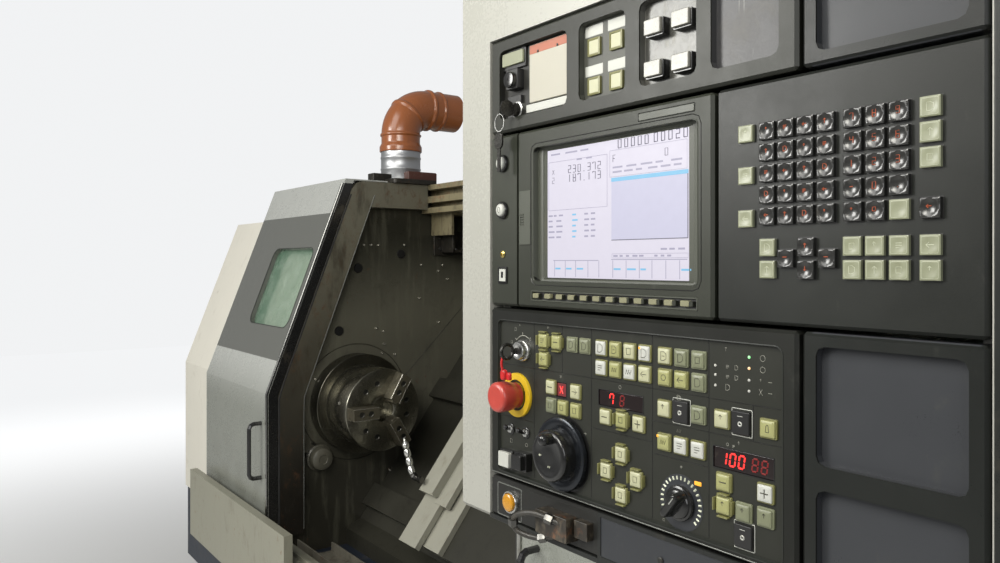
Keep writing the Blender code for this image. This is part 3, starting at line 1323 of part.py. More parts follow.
def make_housing():
    """The console's folded housing, open at its face, and the arm to the machine."""
    x0 = PANEL_X - HOUSING_BORDER
    x1 = PANEL_X + PANEL_WIDTH + HOUSING_BORDER
    housing = block((x0, PANEL_Y, HOUSING_LOW_Z), (x1, HOUSING_BACK_Y, HOUSING_TOP_Z), HOUSING_RADIUS)
    housing = add_part("console_housing", housing, CREAM)
    face = block((PANEL_X - GAP, PANEL_Y - OVERRUN, HOUSING_LOW_Z + HOUSING_SHEET),
                 (PANEL_X + PANEL_WIDTH + GAP, PANEL_Y + MODULE_THICKNESS, TOP_ROW_Z + GAP))
    shelf = HOUSING_SHEET * 3
    room = block((PANEL_X + shelf, PANEL_Y, HOUSING_LOW_Z + shelf),
                 (PANEL_X + PANEL_WIDTH - shelf, HOUSING_BACK_Y - shelf, TOP_ROW_Z - shelf))
    cut(housing, face, room)
    make_arm()


def make_arm():
    """The boxed arm between the console and the right cover."""
    x0 = WALL_X + ARM_START
    x1 = x0 + ARM_WIDTH
    y0 = HOUSING_BACK_Y + GAP
    line = [(y0, ARM_LOW_Z), (front_y(COVER_DEPTH, ARM_LOW_Z) - GAP * 2, ARM_LOW_Z),
            (front_y(COVER_DEPTH, ARM_HIGH_Z) - GAP * 2, ARM_HIGH_Z), (y0, ARM_HIGH_Z)]
    arm = add_part("console_arm", plate([line], "X", x0, x1), CREAM, smooth=False)
    flange = block((x0 - ARM_FLANGE, y0, ARM_LOW_Z - ARM_FLANGE),
                   (x1 + ARM_FLANGE, y0 + ARM_FLANGE_THICKNESS, ARM_HIGH_Z + ARM_FLANGE))
    fuse(arm, flange)


def module(name, across, heights, proud=0.0):
    """One dark console module as a bevelled plate set in the housing's face."""
    u0, u1 = across
    z0, z1 = heights
    low = (PANEL_X + u0 + MODULE_GAP / 2, PANEL_Y - proud, z0 + MODULE_GAP / 2)
    high = (PANEL_X + u1 - MODULE_GAP / 2, PANEL_Y + MODULE_THICKNESS - GAP, z1 - MODULE_GAP / 2)
    return add_part(name, block(low, high, MODULE_BEVEL), PANEL_GREY)


def recess(across, heights, depth=RECESS_DEPTH):
    """A rounded recess cut in the console's face."""
    outline = rounded_outline((PANEL_X + across[0], heights[0]), (PANEL_X + across[1], heights[1]),
                              RECESS_CORNER, 2)
    return plate([outline], "Y", PANEL_Y - OVERRUN, PANEL_Y + depth)


def key_cap(across, height, size, depth=0.0, proud=KEY_PROUD):
    """A square tapered key cap standing on the face or in a recess."""
    half = size / 2 * math.sqrt(2.0)
    base = Vector((PANEL_X + across, PANEL_Y + depth + SHEET / 2, height))
    tip = Vector((PANEL_X + across, PANEL_Y + depth - proud, height))
    mesh = rod(base, tip, half, 4, half * KEY_TAPER)
    turn = Matrix.Rotation(math.pi / 4, 4, "Y")
    mesh.transform(Matrix.Translation(base) @ turn @ Matrix.Translation(-base))
    return mesh


def place_in(across, heights, shares):
    """A place in a module, from shares of its width and height."""
    place = [pair[0] + share * (pair[1] - pair[0]) for pair, share in zip((across, heights), shares)]
    return tuple(place)


SWITCH_RECESS_SHARES = ((0.045, 0.334), (0.379, 0.542), (0.586, 0.753), (0.791, 0.955))
SWITCH_HEIGHT_SHARES = (0.152, 0.86)
SMALL_KEY_SHARES = ((0.420, 0.634), (0.497, 0.634), (0.420, 0.278), (0.497, 0.278))
BIG_SWITCH_SHARES = ((0.634, 0.619), (0.715, 0.619), (0.634, 0.273), (0.715, 0.273))
BLANK_EDGE_SHARE = 0.09
LOCK_SHARES = (0.1135, 0.228)
SELECTOR_SHARES = (0.108, 0.524)


def make_top_row():
    """The switch module of the top row."""
    across = (0.0, COLUMN_SPLIT)
    heights = (FIRST_GAP_Z, TOP_ROW_Z)
    switches = module("switch_module", across, heights)
    span = [place_in(across, heights, (0.0, share))[1] for share in SWITCH_HEIGHT_SHARES]
    for start, end in SWITCH_RECESS_SHARES:
        cut(switches, recess((start * COLUMN_SPLIT, end * COLUMN_SPLIT), span))
    extras = []
    for shares in SMALL_KEY_SHARES:
        u, z = place_in(across, heights, shares)
        extras.append(key_cap(u, z, SMALL_SWITCH_KEY, RECESS_DEPTH, SMALL_SWITCH_PROUD))
    for shares in BIG_SWITCH_SHARES:
        u, z = place_in(across, heights, shares)
        low = console_place(u - BIG_SWITCH_WIDTH / 2, z - BIG_SWITCH_HEIGHT / 2, BIG_SWITCH_PROUD)
        high = console_place(u + BIG_SWITCH_WIDTH / 2, z + BIG_SWITCH_HEIGHT / 2, -RECESS_DEPTH - SHEET / 2)
        extras.append(block(low, high))
    fuse(switches, gathered(extras))
    make_selector(across, heights)
    u, z = place_in(across, heights, LOCK_SHARES)
    make_lock("upper_key_switch", u, z, RECESS_DEPTH, UPPER_LOCK_RADIUS)


def make_selector(across, heights):
    """The square-bodied round selector in the first recess."""
    u, z = place_in(across, heights, SELECTOR_SHARES)
    base = console_place(u, z, -RECESS_DEPTH + GAP)
    origin = joint_origin("selector_axis", base)
    out = Vector((0.0, -1.0, 0.0))
    mesh = rod(base, base + out * (SELECTOR_PROUD + RECESS_DEPTH), SELECTOR_RADIUS, SMALL_SIDES,
               SELECTOR_TIP_RADIUS)
    knob = add_part("selector_knob", mesh, BLACK_PLASTIC, origin)
    grip = base + out * (SELECTOR_PROUD + RECESS_DEPTH)
    half = Vector((SHEET / 4, SHEET / 4, SELECTOR_GRIP))
    fuse(knob, block(grip - half, grip + half))


def make_blank_modules():
    """The plain covers at the right of the top and bottom rows."""
    u0 = COLUMN_SPLIT + MODULE_GAP / 2
    u1 = PANEL_WIDTH - MODULE_GAP / 2
    edge = BLANK_EDGE_SHARE * (u1 - u0)
    inset = (u0 + edge, u1 - edge)
    upper = module("upper_blank_module", (COLUMN_SPLIT, PANEL_WIDTH), (FIRST_GAP_Z, TOP_ROW_Z))
    cut(upper, recess(inset, (FIRST_GAP_Z + edge, TOP_ROW_Z - edge)))
    low = HOUSING_LOW_Z + HOUSING_SHEET
    lower = module("lower_blank_module", (COLUMN_SPLIT, PANEL_WIDTH), (low, SECOND_GAP_Z))
    middle = (low + SECOND_GAP_Z) / 2 + RECESS_DEPTH
    cut(lower, recess(inset, (middle + edge, SECOND_GAP_Z - edge)))
    cut(lower, recess(inset, (low + edge, middle - edge / 2)))


STRIP_SHARE = 0.157
BUTTON_HEIGHT_SHARES = (0.83, 0.56)
SCREEN_SHARES = (0.245, 0.945, 0.155, 0.89)
SOFT_BAR_SHARES = (0.235, 0.945, 0.045, 0.105)
SOFT_KEY_COUNT = 12
SOFT_KEY_WIDTH = 0.010
SOFT_KEY_HEIGHT = 0.005
SOFT_KEY_ROOT = 0.006
SOFT_KEY_PROUD = 0.0009
SCREEN_DEPTH = 0.0135


def make_display():
    """The display module with its bezel opening, soft keys and the screen in it."""
    across = (0.0, DISPLAY_SPLIT)
    heights = (SECOND_GAP_Z, FIRST_GAP_Z)
    display = module("display_module", across, heights)
    u0, z0 = place_in(across, heights, (SCREEN_SHARES[0], SCREEN_SHARES[2]))
    u1, z1 = place_in(across, heights, (SCREEN_SHARES[1], SCREEN_SHARES[3]))
    cut(display, recess((u0, u1), (z0, z1), SCREEN_DEPTH))
    slot_u = STRIP_SHARE * DISPLAY_SPLIT
    groove = block(console_place(slot_u, heights[0] - OVERRUN, OVERRUN),
                   console_place(slot_u + MODULE_GAP, heights[1] + OVERRUN, -RECESS_DEPTH / 2))
    cut(display, groove)
    bar_u0, bar_z0 = place_in(across, heights, (SOFT_BAR_SHARES[0], SOFT_BAR_SHARES[2]))
    bar_u1, bar_z1 = place_in(across, heights, (SOFT_BAR_SHARES[1], SOFT_BAR_SHARES[3]))
    cut(display, block(console_place(bar_u0, bar_z0, OVERRUN), console_place(bar_u1, bar_z1, -SHEET)))
    fuse(display, gathered(soft_keys(bar_u0, bar_u1, (bar_z0 + bar_z1) / 2)))
    edge = GAP
    glass = rounded_outline((PANEL_X + u0 + edge, z0 + edge), (PANEL_X + u1 - edge, z1 - edge),
                            RECESS_CORNER, 2)
    depth = SCREEN_DEPTH - GAP
    add_part("screen", plate([glass], "Y", PANEL_Y + depth - SHEET, PANEL_Y + depth), SCREEN_WHITE)
    make_power_buttons(across, heights)


def soft_keys(u0, u1, height):
    """The row of small keys under the screen."""
    meshes = []
    pitch = (u1 - u0) / SOFT_KEY_COUNT
    for index in range(SOFT_KEY_COUNT):
        u = u0 + pitch * (index + 0.5)
        low = console_place(u - SOFT_KEY_WIDTH / 2, height - SOFT_KEY_HEIGHT / 2, -SOFT_KEY_ROOT)
        high = console_place(u + SOFT_KEY_WIDTH / 2, height + SOFT_KEY_HEIGHT / 2, SOFT_KEY_PROUD)
        meshes.append(block(low, high))
    return meshes


def make_power_buttons(across, heights):
    """The two round push buttons of the side strip."""
    u = STRIP_SHARE * DISPLAY_SPLIT / 2
    for name, share in zip(("power_on_button", "power_off_button"), BUTTON_HEIGHT_SHARES):
        z = place_in(across, heights, (0.0, share))[1]
        make_button(name, u, z, POWER_BUTTON_RADIUS, KEY_CREAM)


def make_button(name, u, z, radius, finish):
    """A round push button with a raised rim, standing on the face with room to travel."""
    base = console_place(u, z, GAP)
    origin = joint_origin(name + "_push", base)
    out = Vector((0.0, -1.0, 0.0))
    profile = [(0.0, BUTTON_PROUD + BUTTON_TRAVEL), (radius - SHEET / 4, BUTTON_PROUD + BUTTON_TRAVEL),
               (radius, BUTTON_PROUD), (radius, -SHEET), (0.0, -SHEET)]
    add_part(name, turned(profile, console_place(u, z, 0.0), out, SMALL_SIDES), finish, origin)
    WELLS.append((u, z, radius + GAP, SHEET + BUTTON_TRAVEL + GAP))


WELLS = []


def cut_wells(part_name, across, heights):
    """Cut the wells of the buttons that stand in a module."""
    part = bpy.data.objects[part_name]
    tools = []
    for u, z, radius, depth in WELLS:
        if across[0] < u < across[1] and heights[0] < z < heights[1]:
            tools.append(rod(console_place(u, z, -depth), console_place(u, z, OVERRUN), radius, SMALL_SIDES))
    if tools:
        cut(part, gathered(tools))


LETTER_COLUMNS = 4
DIGIT_COLUMNS = 3
KEY_ROWS = 5
LETTER_SHARES = (0.247, 0.785)
DIGIT_SHARES = (0.578, 0.785)
SIDE_SHARES = ((0.153, 0.785), (0.153, 0.613), (0.153, 0.437))
RIGHT_SHARE = 0.830
RIGHT_ROWS = (0, 1, 2, 4)
LOW_ROW_SHARES = ((0.247, 0.318), (0.247, 0.230), (0.325, 0.274), (0.405, 0.318), (0.405, 0.230),
                  (0.485, 0.274), (0.575, 0.318), (0.653, 0.318), (0.733, 0.318), (0.830, 0.318),
                  (0.575, 0.232), (0.653, 0.232), (0.733, 0.232), (0.830, 0.232))


def make_keyboard():
    """The keyboard module with all its keys as one moulding."""
    across = (DISPLAY_SPLIT, PANEL_WIDTH)
    heights = (SECOND_GAP_Z, FIRST_GAP_Z)
    keyboard = module("keyboard_module", across, heights)
    keys = []
    for columns, shares in ((LETTER_COLUMNS, LETTER_SHARES), (DIGIT_COLUMNS, DIGIT_SHARES)):
        u, z = place_in(across, heights, shares)
        for row in range(KEY_ROWS):
            for column in range(columns):
                keys.append(key_cap(u + column * KEYBOARD_PITCH, z - row * KEYBOARD_PITCH, KEYBOARD_KEY))
    right_u, right_z = place_in(across, heights, (RIGHT_SHARE, LETTER_SHARES[1]))
    for row in RIGHT_ROWS:
        keys.append(key_cap(right_u, right_z - row * KEYBOARD_PITCH, KEYBOARD_KEY))
    for shares in SIDE_SHARES + LOW_ROW_SHARES:
        keys.append(key_cap(*place_in(across, heights, shares), KEYBOARD_KEY))
    fuse(keyboard, gathered(keys))


# Key groups of the operation module: share across, share up, columns, rows
OPERATION_GROUP_SHARES = (
    (0.2344, 0.829, 1, 1), (0.2882, 0.829, 1, 1), (0.2357, 0.728, 1, 1), (0.3486, 0.827, 2, 1),
    (0.4556, 0.8285, 4, 2), (0.6593, 0.8275, 3, 2), (0.2656, 0.5815, 1, 2), (0.3126, 0.482, 1, 1),
    (0.3621, 0.5805, 1, 2), (0.4704, 0.4846, 1, 1), (0.5253, 0.4865, 1, 1), (0.5802, 0.4846, 1, 1),
    (0.6582, 0.583, 3, 1), (0.6577, 0.4275, 3, 1), (0.8163, 0.585, 2, 1), (0.9283, 0.582, 1, 1),
    (0.8210, 0.315, 1, 2), (0.9217, 0.315, 1, 2), (0.8702, 0.210, 1, 2),
    (0.5235, 0.3174, 1, 1), (0.4730, 0.2165, 1, 1), (0.5721, 0.2151, 1, 1), (0.5235, 0.117, 1, 1),
)
DIGIT_WINDOW_SHARES = (
    (0.2832, 0.3230, 0.534, 0.616), (0.4431, 0.5910, 0.536, 0.618), (0.7915, 0.9390, 0.370, 0.463),
)
OPERATION_MARGIN = 0.0165
LOWER_LOCK_SHARES = (0.145, 0.759)


def make_operation():
    """The operation module: a set-in sheet with its keys, digit windows and button wells."""
    across = (0.0, COLUMN_SPLIT)
    heights = (BOTTOM_ROW_Z, SECOND_GAP_Z)
    operation = module("operation_module", across, heights)
    sheet = recess((across[0] + OPERATION_MARGIN, across[1] - OPERATION_MARGIN),
                   (heights[0] + MODULE_GAP * 2, heights[1] - OPERATION_MARGIN), SHEET)
    cut(operation, sheet)
    keys = []
    for across_share, up_share, columns, rows in OPERATION_GROUP_SHARES:
        u, z = place_in(across, heights, (across_share, up_share))
        for row in range(rows):
            for column in range(columns):
                key_u = u + column * OPERATION_PITCH
                keys.append(key_cap(key_u, z - row * OPERATION_PITCH, OPERATION_KEY, SHEET))
    fuse(operation, gathered(keys))
    windows = []
    for u0, u1, z0, z1 in DIGIT_WINDOW_SHARES:
        low_u, low_z = place_in(across, heights, (u0, z0))
        high_u, high_z = place_in(across, heights, (u1, z1))
        windows.append(block(console_place(low_u, low_z, OVERRUN), console_place(high_u, high_z, -SHEET * 2)))
    cut(operation, gathered(windows))
    make_stop(operation, across, heights)
    make_wheel(across, heights)
    make_override(across, heights)
    u, z = place_in(across, heights, LOWER_LOCK_SHARES)
    make_lock("lower_key_switch", u, z, SHEET, LOWER_LOCK_RADIUS)


def make_stop(operation, across, heights):
    """The emergency stop: a red head that widens from its neck to a rounded front."""
    u, z = place_in(across, heights, STOP_SHARES)
    base = console_place(u, z, -SHEET + GAP)
    collar = turned([(STOP_NECK_RADIUS + 2 * GAP, STOP_COLLAR), (STOP_COLLAR_RADIUS, STOP_COLLAR),
                     (STOP_COLLAR_RADIUS, -SHEET), (STOP_NECK_RADIUS + 2 * GAP, -SHEET)],
                    base, (0.0, -1.0, 0.0), SMALL_SIDES, closed=True)
    fuse(operation, collar)
    origin = joint_origin("emergency_stop_push", base)
    profile = [(0.0, STOP_HEIGHT), (STOP_NECK_RADIUS / 2, STOP_HEIGHT - GAP),
               (STOP_NECK_RADIUS, STOP_HEIGHT - STOP_EDGE / 2), (STOP_RADIUS, STOP_HEIGHT - STOP_EDGE * 2),
               (STOP_NECK_RADIUS, STOP_NECK), (STOP_NECK_RADIUS, 0.0), (0.0, 0.0)]
    add_part("emergency_stop", turned(profile, base, (0.0, -1.0, 0.0), SMALL_SIDES), STOP_RED, origin)
    WELLS.append((u, z, STOP_NECK_RADIUS + GAP, RECESS_DEPTH + SHEET))


def make_wheel(across, heights):
    """The black handwheel: rim, hub and a crank knob whose tip is the front of the machine."""
    u, z = place_in(across, heights, WHEEL_SHARES)
    base = console_place(u, z, -SHEET + GAP)
    origin = joint_origin("handwheel_axis", base)
    rim = WHEEL_NECK + WHEEL_RIM
    profile = [(0.0, HUB_HEIGHT), (HUB_RADIUS - HUB_EDGE, HUB_HEIGHT), (HUB_RADIUS, HUB_HEIGHT - HUB_EDGE),
               (HUB_RADIUS, rim), (WHEEL_RADIUS - WHEEL_RIM_EDGE, rim), (WHEEL_RADIUS, rim - WHEEL_RIM_EDGE),
               (WHEEL_RADIUS, WHEEL_NECK), (WHEEL_NECK_RADIUS, WHEEL_NECK), (WHEEL_NECK_RADIUS, 0.0),
               (0.0, 0.0)]
    wheel = add_part("handwheel", turned(profile, base, (0.0, -1.0, 0.0)), BLACK_PLASTIC, origin)
    crank = base + Vector((CRANK_ACROSS, -HUB_HEIGHT + SHEET, CRANK_UP))
    crank_end = Vector((crank.x, FRONT_Y, crank.z))
    fuse(wheel, rod(crank, crank_end, CRANK_RADIUS, SCREW_SIDES, CRANK_TIP_RADIUS))


def make_override(across, heights):
    """The feed override knob."""
    u, z = place_in(across, heights, KNOB_SHARES)
    base = console_place(u, z, -SHEET + GAP)
    origin = joint_origin("override_axis", base)
    profile = [(0.0, KNOB_HEIGHT), (KNOB_TOP_RADIUS, KNOB_HEIGHT), (KNOB_SKIRT_RADIUS, SHEET),
               (KNOB_RADIUS, SHEET), (KNOB_RADIUS, 0.0), (0.0, 0.0)]
    mesh = turned(profile, base, (0.0, -1.0, 0.0), SMALL_SIDES)
    knob = add_part("override_knob", mesh, BLACK_PLASTIC, origin)
    fuse(knob, block(base + Vector((-SHEET, -KNOB_HEIGHT - SHEET, -KNOB_GRIP)),
                     base + Vector((SHEET, -SHEET * 2, KNOB_GRIP))))


def make_lock(name, u, z, depth, radius):
    """A key switch: a turning round lock with its key in it."""
    base = console_place(u, z, -depth + GAP)
    origin = joint_origin(name + "_axis", base)
    out = Vector((0.0, -1.0, 0.0))
    lock = add_part(name, rod(base, base + out * LOCK_HEIGHT, radius, SMALL_SIDES), BRIGHT_STEEL, origin)
    start = base + out * (LOCK_HEIGHT - SHEET)
    fuse(lock, block(start + Vector((-KEY_BLADE / 2, -SHEET - KEY_BOW / 2, -KEY_BOW / 4)),
                     start + Vector((KEY_BLADE / 2, 0.0, KEY_BOW / 4))))
    bow = start + out * (SHEET + KEY_BOW / 2)
    fuse(lock, rod(bow + Vector((-KEY_BOW_HALF, 0.0, 0.0)), bow + Vector((KEY_BOW_HALF, 0.0, 0.0)),
                   KEY_BOW_WIDTH / 2, SCREW_SIDES))


AMBER_SHARES = (0.1015, 0.49)


def make_bottom_row():
    """The bottom row: a dark connector module and the amber push button."""
    across = (0.0, COLUMN_SPLIT)
    heights = (HOUSING_LOW_Z + HOUSING_SHEET, BOTTOM_ROW_Z)
    bottom = module("connector_module", across, heights)
    u, z = place_in(across, heights, AMBER_SHARES)
    make_button("amber_button", u, z, BUTTON_RADIUS, AMBER)


def finish_wells():
    """Cut the button wells once every button has its place."""
    cut_wells("display_module", (0.0, DISPLAY_SPLIT), (SECOND_GAP_Z, FIRST_GAP_Z))
    cut_wells("operation_module", (0.0, COLUMN_SPLIT), (BOTTOM_ROW_Z, SECOND_GAP_Z))
    cut_wells("connector_module", (0.0, COLUMN_SPLIT), (HOUSING_LOW_Z, BOTTOM_ROW_Z))


def main():
    """Build the machine from the floor up."""
    clear_scene()
    joint_origin("machine_origin", (0.0, 0.0, 0.0))
    make_base()
    make_sill()
    make_chip_pan()
    make_covers()
    make_walls()
    make_work_light()
    make_roof()
    make_doors()
    make_headstock()
    make_spindle()
    make_chuck()
    make_drive()
    make_bed()
    make_carriage()
    make_turret()
    make_tailstock()
    make_duct()
    make_cabinet()
    make_housing()
    make_top_row()
    make_blank_modules()
    make_display()
    make_keyboard()
    make_operation()
    make_bottom_row()
    finish_wells()


main()
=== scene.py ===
"""The turning lathe dressed for its picture: finishes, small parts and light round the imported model."""
import logging
import math
from dataclasses import dataclass
from enum import Enum
from typing import Dict, List, Optional, Sequence, Tuple, Union

import bpy
import numpy as np
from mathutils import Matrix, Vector


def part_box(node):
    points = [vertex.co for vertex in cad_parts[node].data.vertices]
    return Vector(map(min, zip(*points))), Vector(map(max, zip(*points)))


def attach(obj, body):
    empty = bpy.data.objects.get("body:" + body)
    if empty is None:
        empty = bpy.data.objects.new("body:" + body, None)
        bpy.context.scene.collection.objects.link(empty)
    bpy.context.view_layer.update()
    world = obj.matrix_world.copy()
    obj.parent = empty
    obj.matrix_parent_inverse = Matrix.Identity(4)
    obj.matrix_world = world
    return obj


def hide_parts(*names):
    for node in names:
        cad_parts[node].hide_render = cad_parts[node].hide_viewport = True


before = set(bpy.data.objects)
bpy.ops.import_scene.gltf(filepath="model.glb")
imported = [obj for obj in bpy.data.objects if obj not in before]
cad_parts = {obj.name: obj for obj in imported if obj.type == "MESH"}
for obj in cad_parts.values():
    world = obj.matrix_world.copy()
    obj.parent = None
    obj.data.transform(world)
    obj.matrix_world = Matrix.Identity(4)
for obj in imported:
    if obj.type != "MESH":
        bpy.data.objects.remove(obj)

LOG = logging.getLogger("lathe")
FULL_TURN = 6.283
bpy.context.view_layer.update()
Colour = Tuple[float, float, float]
Point = Tuple[float, float, float]
Pairs = Tuple[Tuple[float, float], ...]
Number = Union[float, "Value"]


# Shader values

class Value:
    """A shader socket that takes part in sums, products and comparisons."""

    def __init__(self, tree: "Tree", socket: bpy.types.NodeSocket) -> None:
        """Wrap one output socket of a tree."""
        self.tree = tree
        self.socket = socket

    def _math(self, operation: str, first: Number, second: Number) -> "Value":
        """Add one Math node on two numbers."""
        return self.tree.node("ShaderNodeMath", {"operation": operation}, {0: first, 1: second})

    def __add__(self, other: Number) -> "Value":
        """The sum."""
        return self._math("ADD", self, other)

    def __sub__(self, other: Number) -> "Value":
        """The difference."""
        return self._math("SUBTRACT", self, other)

    def __rsub__(self, other: Number) -> "Value":
        """The reflected difference, as in 1 - mask."""
        return self._math("SUBTRACT", other, self)

    def __mul__(self, other: Number) -> "Value":
        """The product."""
        return self._math("MULTIPLY", self, other)

    def __pow__(self, other: Number) -> "Value":
        """The power."""
        return self._math("POWER", self, other)

    def __gt__(self, other: Number) -> "Value":
        """1 where the value is larger."""
        return self._math("GREATER_THAN", self, other)

    def __lt__(self, other: Number) -> "Value":
        """1 where the value is smaller."""
        return self._math("LESS_THAN", self, other)

    __radd__ = __add__
    __rmul__ = __mul__

    def most(self, other: Number) -> "Value":
        """The larger of two values."""
        return self._math("MAXIMUM", self, other)

    def least(self, other: Number) -> "Value":
        """The smaller of two values."""
        return self._math("MINIMUM", self, other)

    def span(self, low: float, high: float) -> "Value":
        """The value as a smooth share of the way from low to high, held between 0 and 1."""
        return self.tree.node("ShaderNodeMapRange", {"interpolation_type": "SMOOTHSTEP"},
            {"Value": self, "From Min": low, "From Max": high})


class Tree:
    """The node tree of one material, built up by calls."""

    def __init__(self, name: str) -> None:
        """Start an empty material.

        Args:
            name: the material's name.
        """
        self.material = bpy.data.materials.new(name)
        self.material.use_nodes = True
        self.nodes = self.material.node_tree.nodes
        self.nodes.clear()

    def node(self, kind: str, settings: Optional[dict] = None, values: Optional[dict] = None,
            output: Union[int, str] = 0) -> Optional[Value]:
        """Add one node.

        Args:
            kind: the node's type.
            settings: its properties, set first.
            values: the numbers, colours or values of its input sockets.
            output: the output socket that is returned.

        Returns:
            The output as a value, or None for a node without one.
        """
        made = self.nodes.new(kind)
        for name, setting in (settings or {}).items():
            setattr(made, name, setting)
        for name, value in (values or {}).items():
            socket = made.inputs[name]
            if isinstance(value, Value):
                self.material.node_tree.links.new(value.socket, socket)
            elif socket.type == "RGBA" and len(value) == 3:
                socket.default_value = (*value, 1.0)
            else:
                socket.default_value = value
        return Value(self, made.outputs[output]) if len(made.outputs) else None

    def place(self, stretch: Point = (1.0, 1.0, 1.0), centre: Point = (0.0, 0.0, 0.0),
            turn: Point = (0.0, 0.0, 0.0)) -> Value:
        """Object coordinates about a centre, turned and then stretched.

        Args:
            stretch: the factor on each axis.
            centre: the point that becomes zero.
            turn: the turn about each axis in radians.

        Returns:
            The mapped coordinates.
        """
        coordinates = self.node("ShaderNodeTexCoord", {}, {}, "Object")
        if centre != (0.0, 0.0, 0.0):
            coordinates = self.node("ShaderNodeVectorMath", {"operation": "SUBTRACT"},
                {0: coordinates, 1: centre})
        return self.node("ShaderNodeMapping", {"vector_type": "POINT"},
            {"Vector": coordinates, "Rotation": turn, "Scale": stretch})

    def axes(self, vector: Value) -> List[Value]:
        """The three numbers of a vector."""
        parts = self.nodes.new("ShaderNodeSeparateXYZ")
        self.material.node_tree.links.new(vector.socket, parts.inputs[0])
        return [Value(self, socket) for socket in parts.outputs]

    def noise(self, size: float, detail: float = 3.0, rough: float = 0.55,
            stretch: Point = (1.0, 1.0, 1.0), warp: float = 0.0, at: Optional[Value] = None) -> Value:
        """Cloudy noise whose blobs are about a size in metres across."""
        where = at or self.place(stretch)
        return self.node("ShaderNodeTexNoise", {},
            {"Vector": where, "Scale": 1.0 / size, "Detail": detail, "Roughness": rough,
            "Distortion": warp})

    def cells(self, size: float, stretch: Point = (1.0, 1.0, 1.0)) -> Value:
        """The distance to the nearest of scattered points, about a size in metres apart."""
        return self.node("ShaderNodeTexVoronoi", {"feature": "F1"},
            {"Vector": self.place(stretch), "Scale": 1.0 / size})

    def blend(self, share: Number, first: Union[Colour, Value], second: Union[Colour, Value]) -> Value:
        """A colour between two others."""
        return self.node("ShaderNodeMix", {"data_type": "RGBA"}, {0: share, 6: first, 7: second}, 2)

    def bump(self, height: Number, depth: float, normal: Optional[Value] = None) -> Value:
        """A bumped normal, from a height of 0 to 1 and its depth in metres."""
        values = {"Height": height, "Distance": depth}
        if normal is not None:
            values["Normal"] = normal
        return self.node("ShaderNodeBump", {}, values)

    def finish(self, values: dict, shader: str = "ShaderNodeBsdfPrincipled") -> bpy.types.Material:
        """Close the tree with its shader and output.

        Args:
            values: the shader's sockets.
            shader: the shader's type.

        Returns:
            The finished material.
        """
        last = self.node(shader, {}, values)
        self.node("ShaderNodeOutputMaterial", {}, {"Surface": last})
        return self.material


# Finishes

@dataclass(frozen=True)
class Paint:
    """Enamel or plastic or bare metal with its grain, dirt, rust and scratches.

    Sizes are in metres and shares run from 0 to 1.
    """

    colour: Colour
    roughness: float = 0.45
    metallic: float = 0.0
    vary: float = 0.08
    grain: float = 0.004
    grain_depth: float = 0.00008
    dirt: float = 0.25
    dirt_colour: Colour = (0.1, 0.085, 0.06)
    dirt_size: float = 0.12
    streaks: float = 0.0
    rust: float = 0.0
    rust_colour: Colour = (0.16, 0.06, 0.02)
    rust_size: float = 0.02
    specks: float = 0.0
    speck_size: float = 0.012
    scratches: float = 0.0
    coat: float = 0.0
    gloss: float = 0.5
    slot: str = "black_plastic"

    def build(self, name: str) -> bpy.types.Material:
        """Make the material.

        Args:
            name: the material's name.

        Returns:
            The material.
        """
        tree = Tree(name)
        values = self.layers(tree, self.colour)
        return tree.finish(values)

    def layers(self, tree: Tree, colour: Union[Colour, Value]) -> dict:
        """Work out the shader's sockets over a base colour.

        Args:
            tree: the material's tree.
            colour: the base colour, plain or a pattern.

        Returns:
            The values of the shader's sockets.
        """
        cloud = tree.noise(self.dirt_size, 5.0, 0.6)
        fine = tree.noise(self.grain, 3.0, 0.6)
        shade = tree.blend((cloud - 0.5) * 2.2 * self.vary + 0.5, (0.72, 0.72, 0.72), (1.28, 1.28, 1.28))
        base = tree.node("ShaderNodeMix", {"data_type": "RGBA", "blend_type": "MULTIPLY"},
            {0: 1.0, 6: colour, 7: shade}, 2)
        rough: Number = self.roughness + (fine - 0.5) * 0.14 + (cloud - 0.5) * 0.18
        if self.dirt > 0.0:
            patch = tree.noise(self.dirt_size * 0.45, 6.0, 0.68, (1.0, 1.0, 0.55), 0.4)
            grime = patch.span(0.6 - self.dirt * 0.22, 0.86) * (0.35 + self.dirt)
            if self.streaks > 0.0:
                run = tree.noise(0.03, 4.0, 0.6, (1.0, 1.0, 0.08)).span(0.55, 0.75)
                grime = grime.most(run * self.streaks)
            base = tree.blend(grime.least(1.0), base, self.dirt_colour)
            rough = rough + grime * 0.18
        if self.specks > 0.0:
            chip = tree.cells(self.speck_size, (1.0, 1.0, 1.0))
            spot = (1.0 - chip.span(0.1, 0.17)) * (tree.noise(0.05).span(0.5, 0.62))
            base = tree.blend(spot * self.specks, base, self.rust_colour)
        if self.rust > 0.0:
            bloom = tree.noise(self.rust_size, 6.0, 0.72, (1.0, 1.0, 0.7), 0.6)
            area = tree.noise(self.rust_size * 6.0, 2.0).span(0.42, 0.62)
            rusty = bloom.span(0.62 - self.rust * 0.2, 0.74) * area
            base = tree.blend(rusty * 0.9, base, self.rust_colour)
            rough = rough + rusty * 0.25
        if self.scratches > 0.0:
            line = tree.noise(0.0016, 2.0, 0.5, (1.0, 1.0, 0.03), 0.2).span(0.68, 0.74)
            worn = line * tree.noise(0.05).span(0.45, 0.65) * self.scratches
            base = tree.blend(worn, base, (0.45, 0.45, 0.43))
        values = {"Base Color": base, "Roughness": rough.least(0.95).most(0.08),
            "Metallic": self.metallic, "Normal": tree.bump(fine, self.grain_depth)}
        if self.gloss != 0.5:
            values["Specular IOR Level"] = self.gloss
        if self.coat > 0.0:
            values["Coat Weight"] = self.coat
            values["Coat Roughness"] = 0.12
        return values


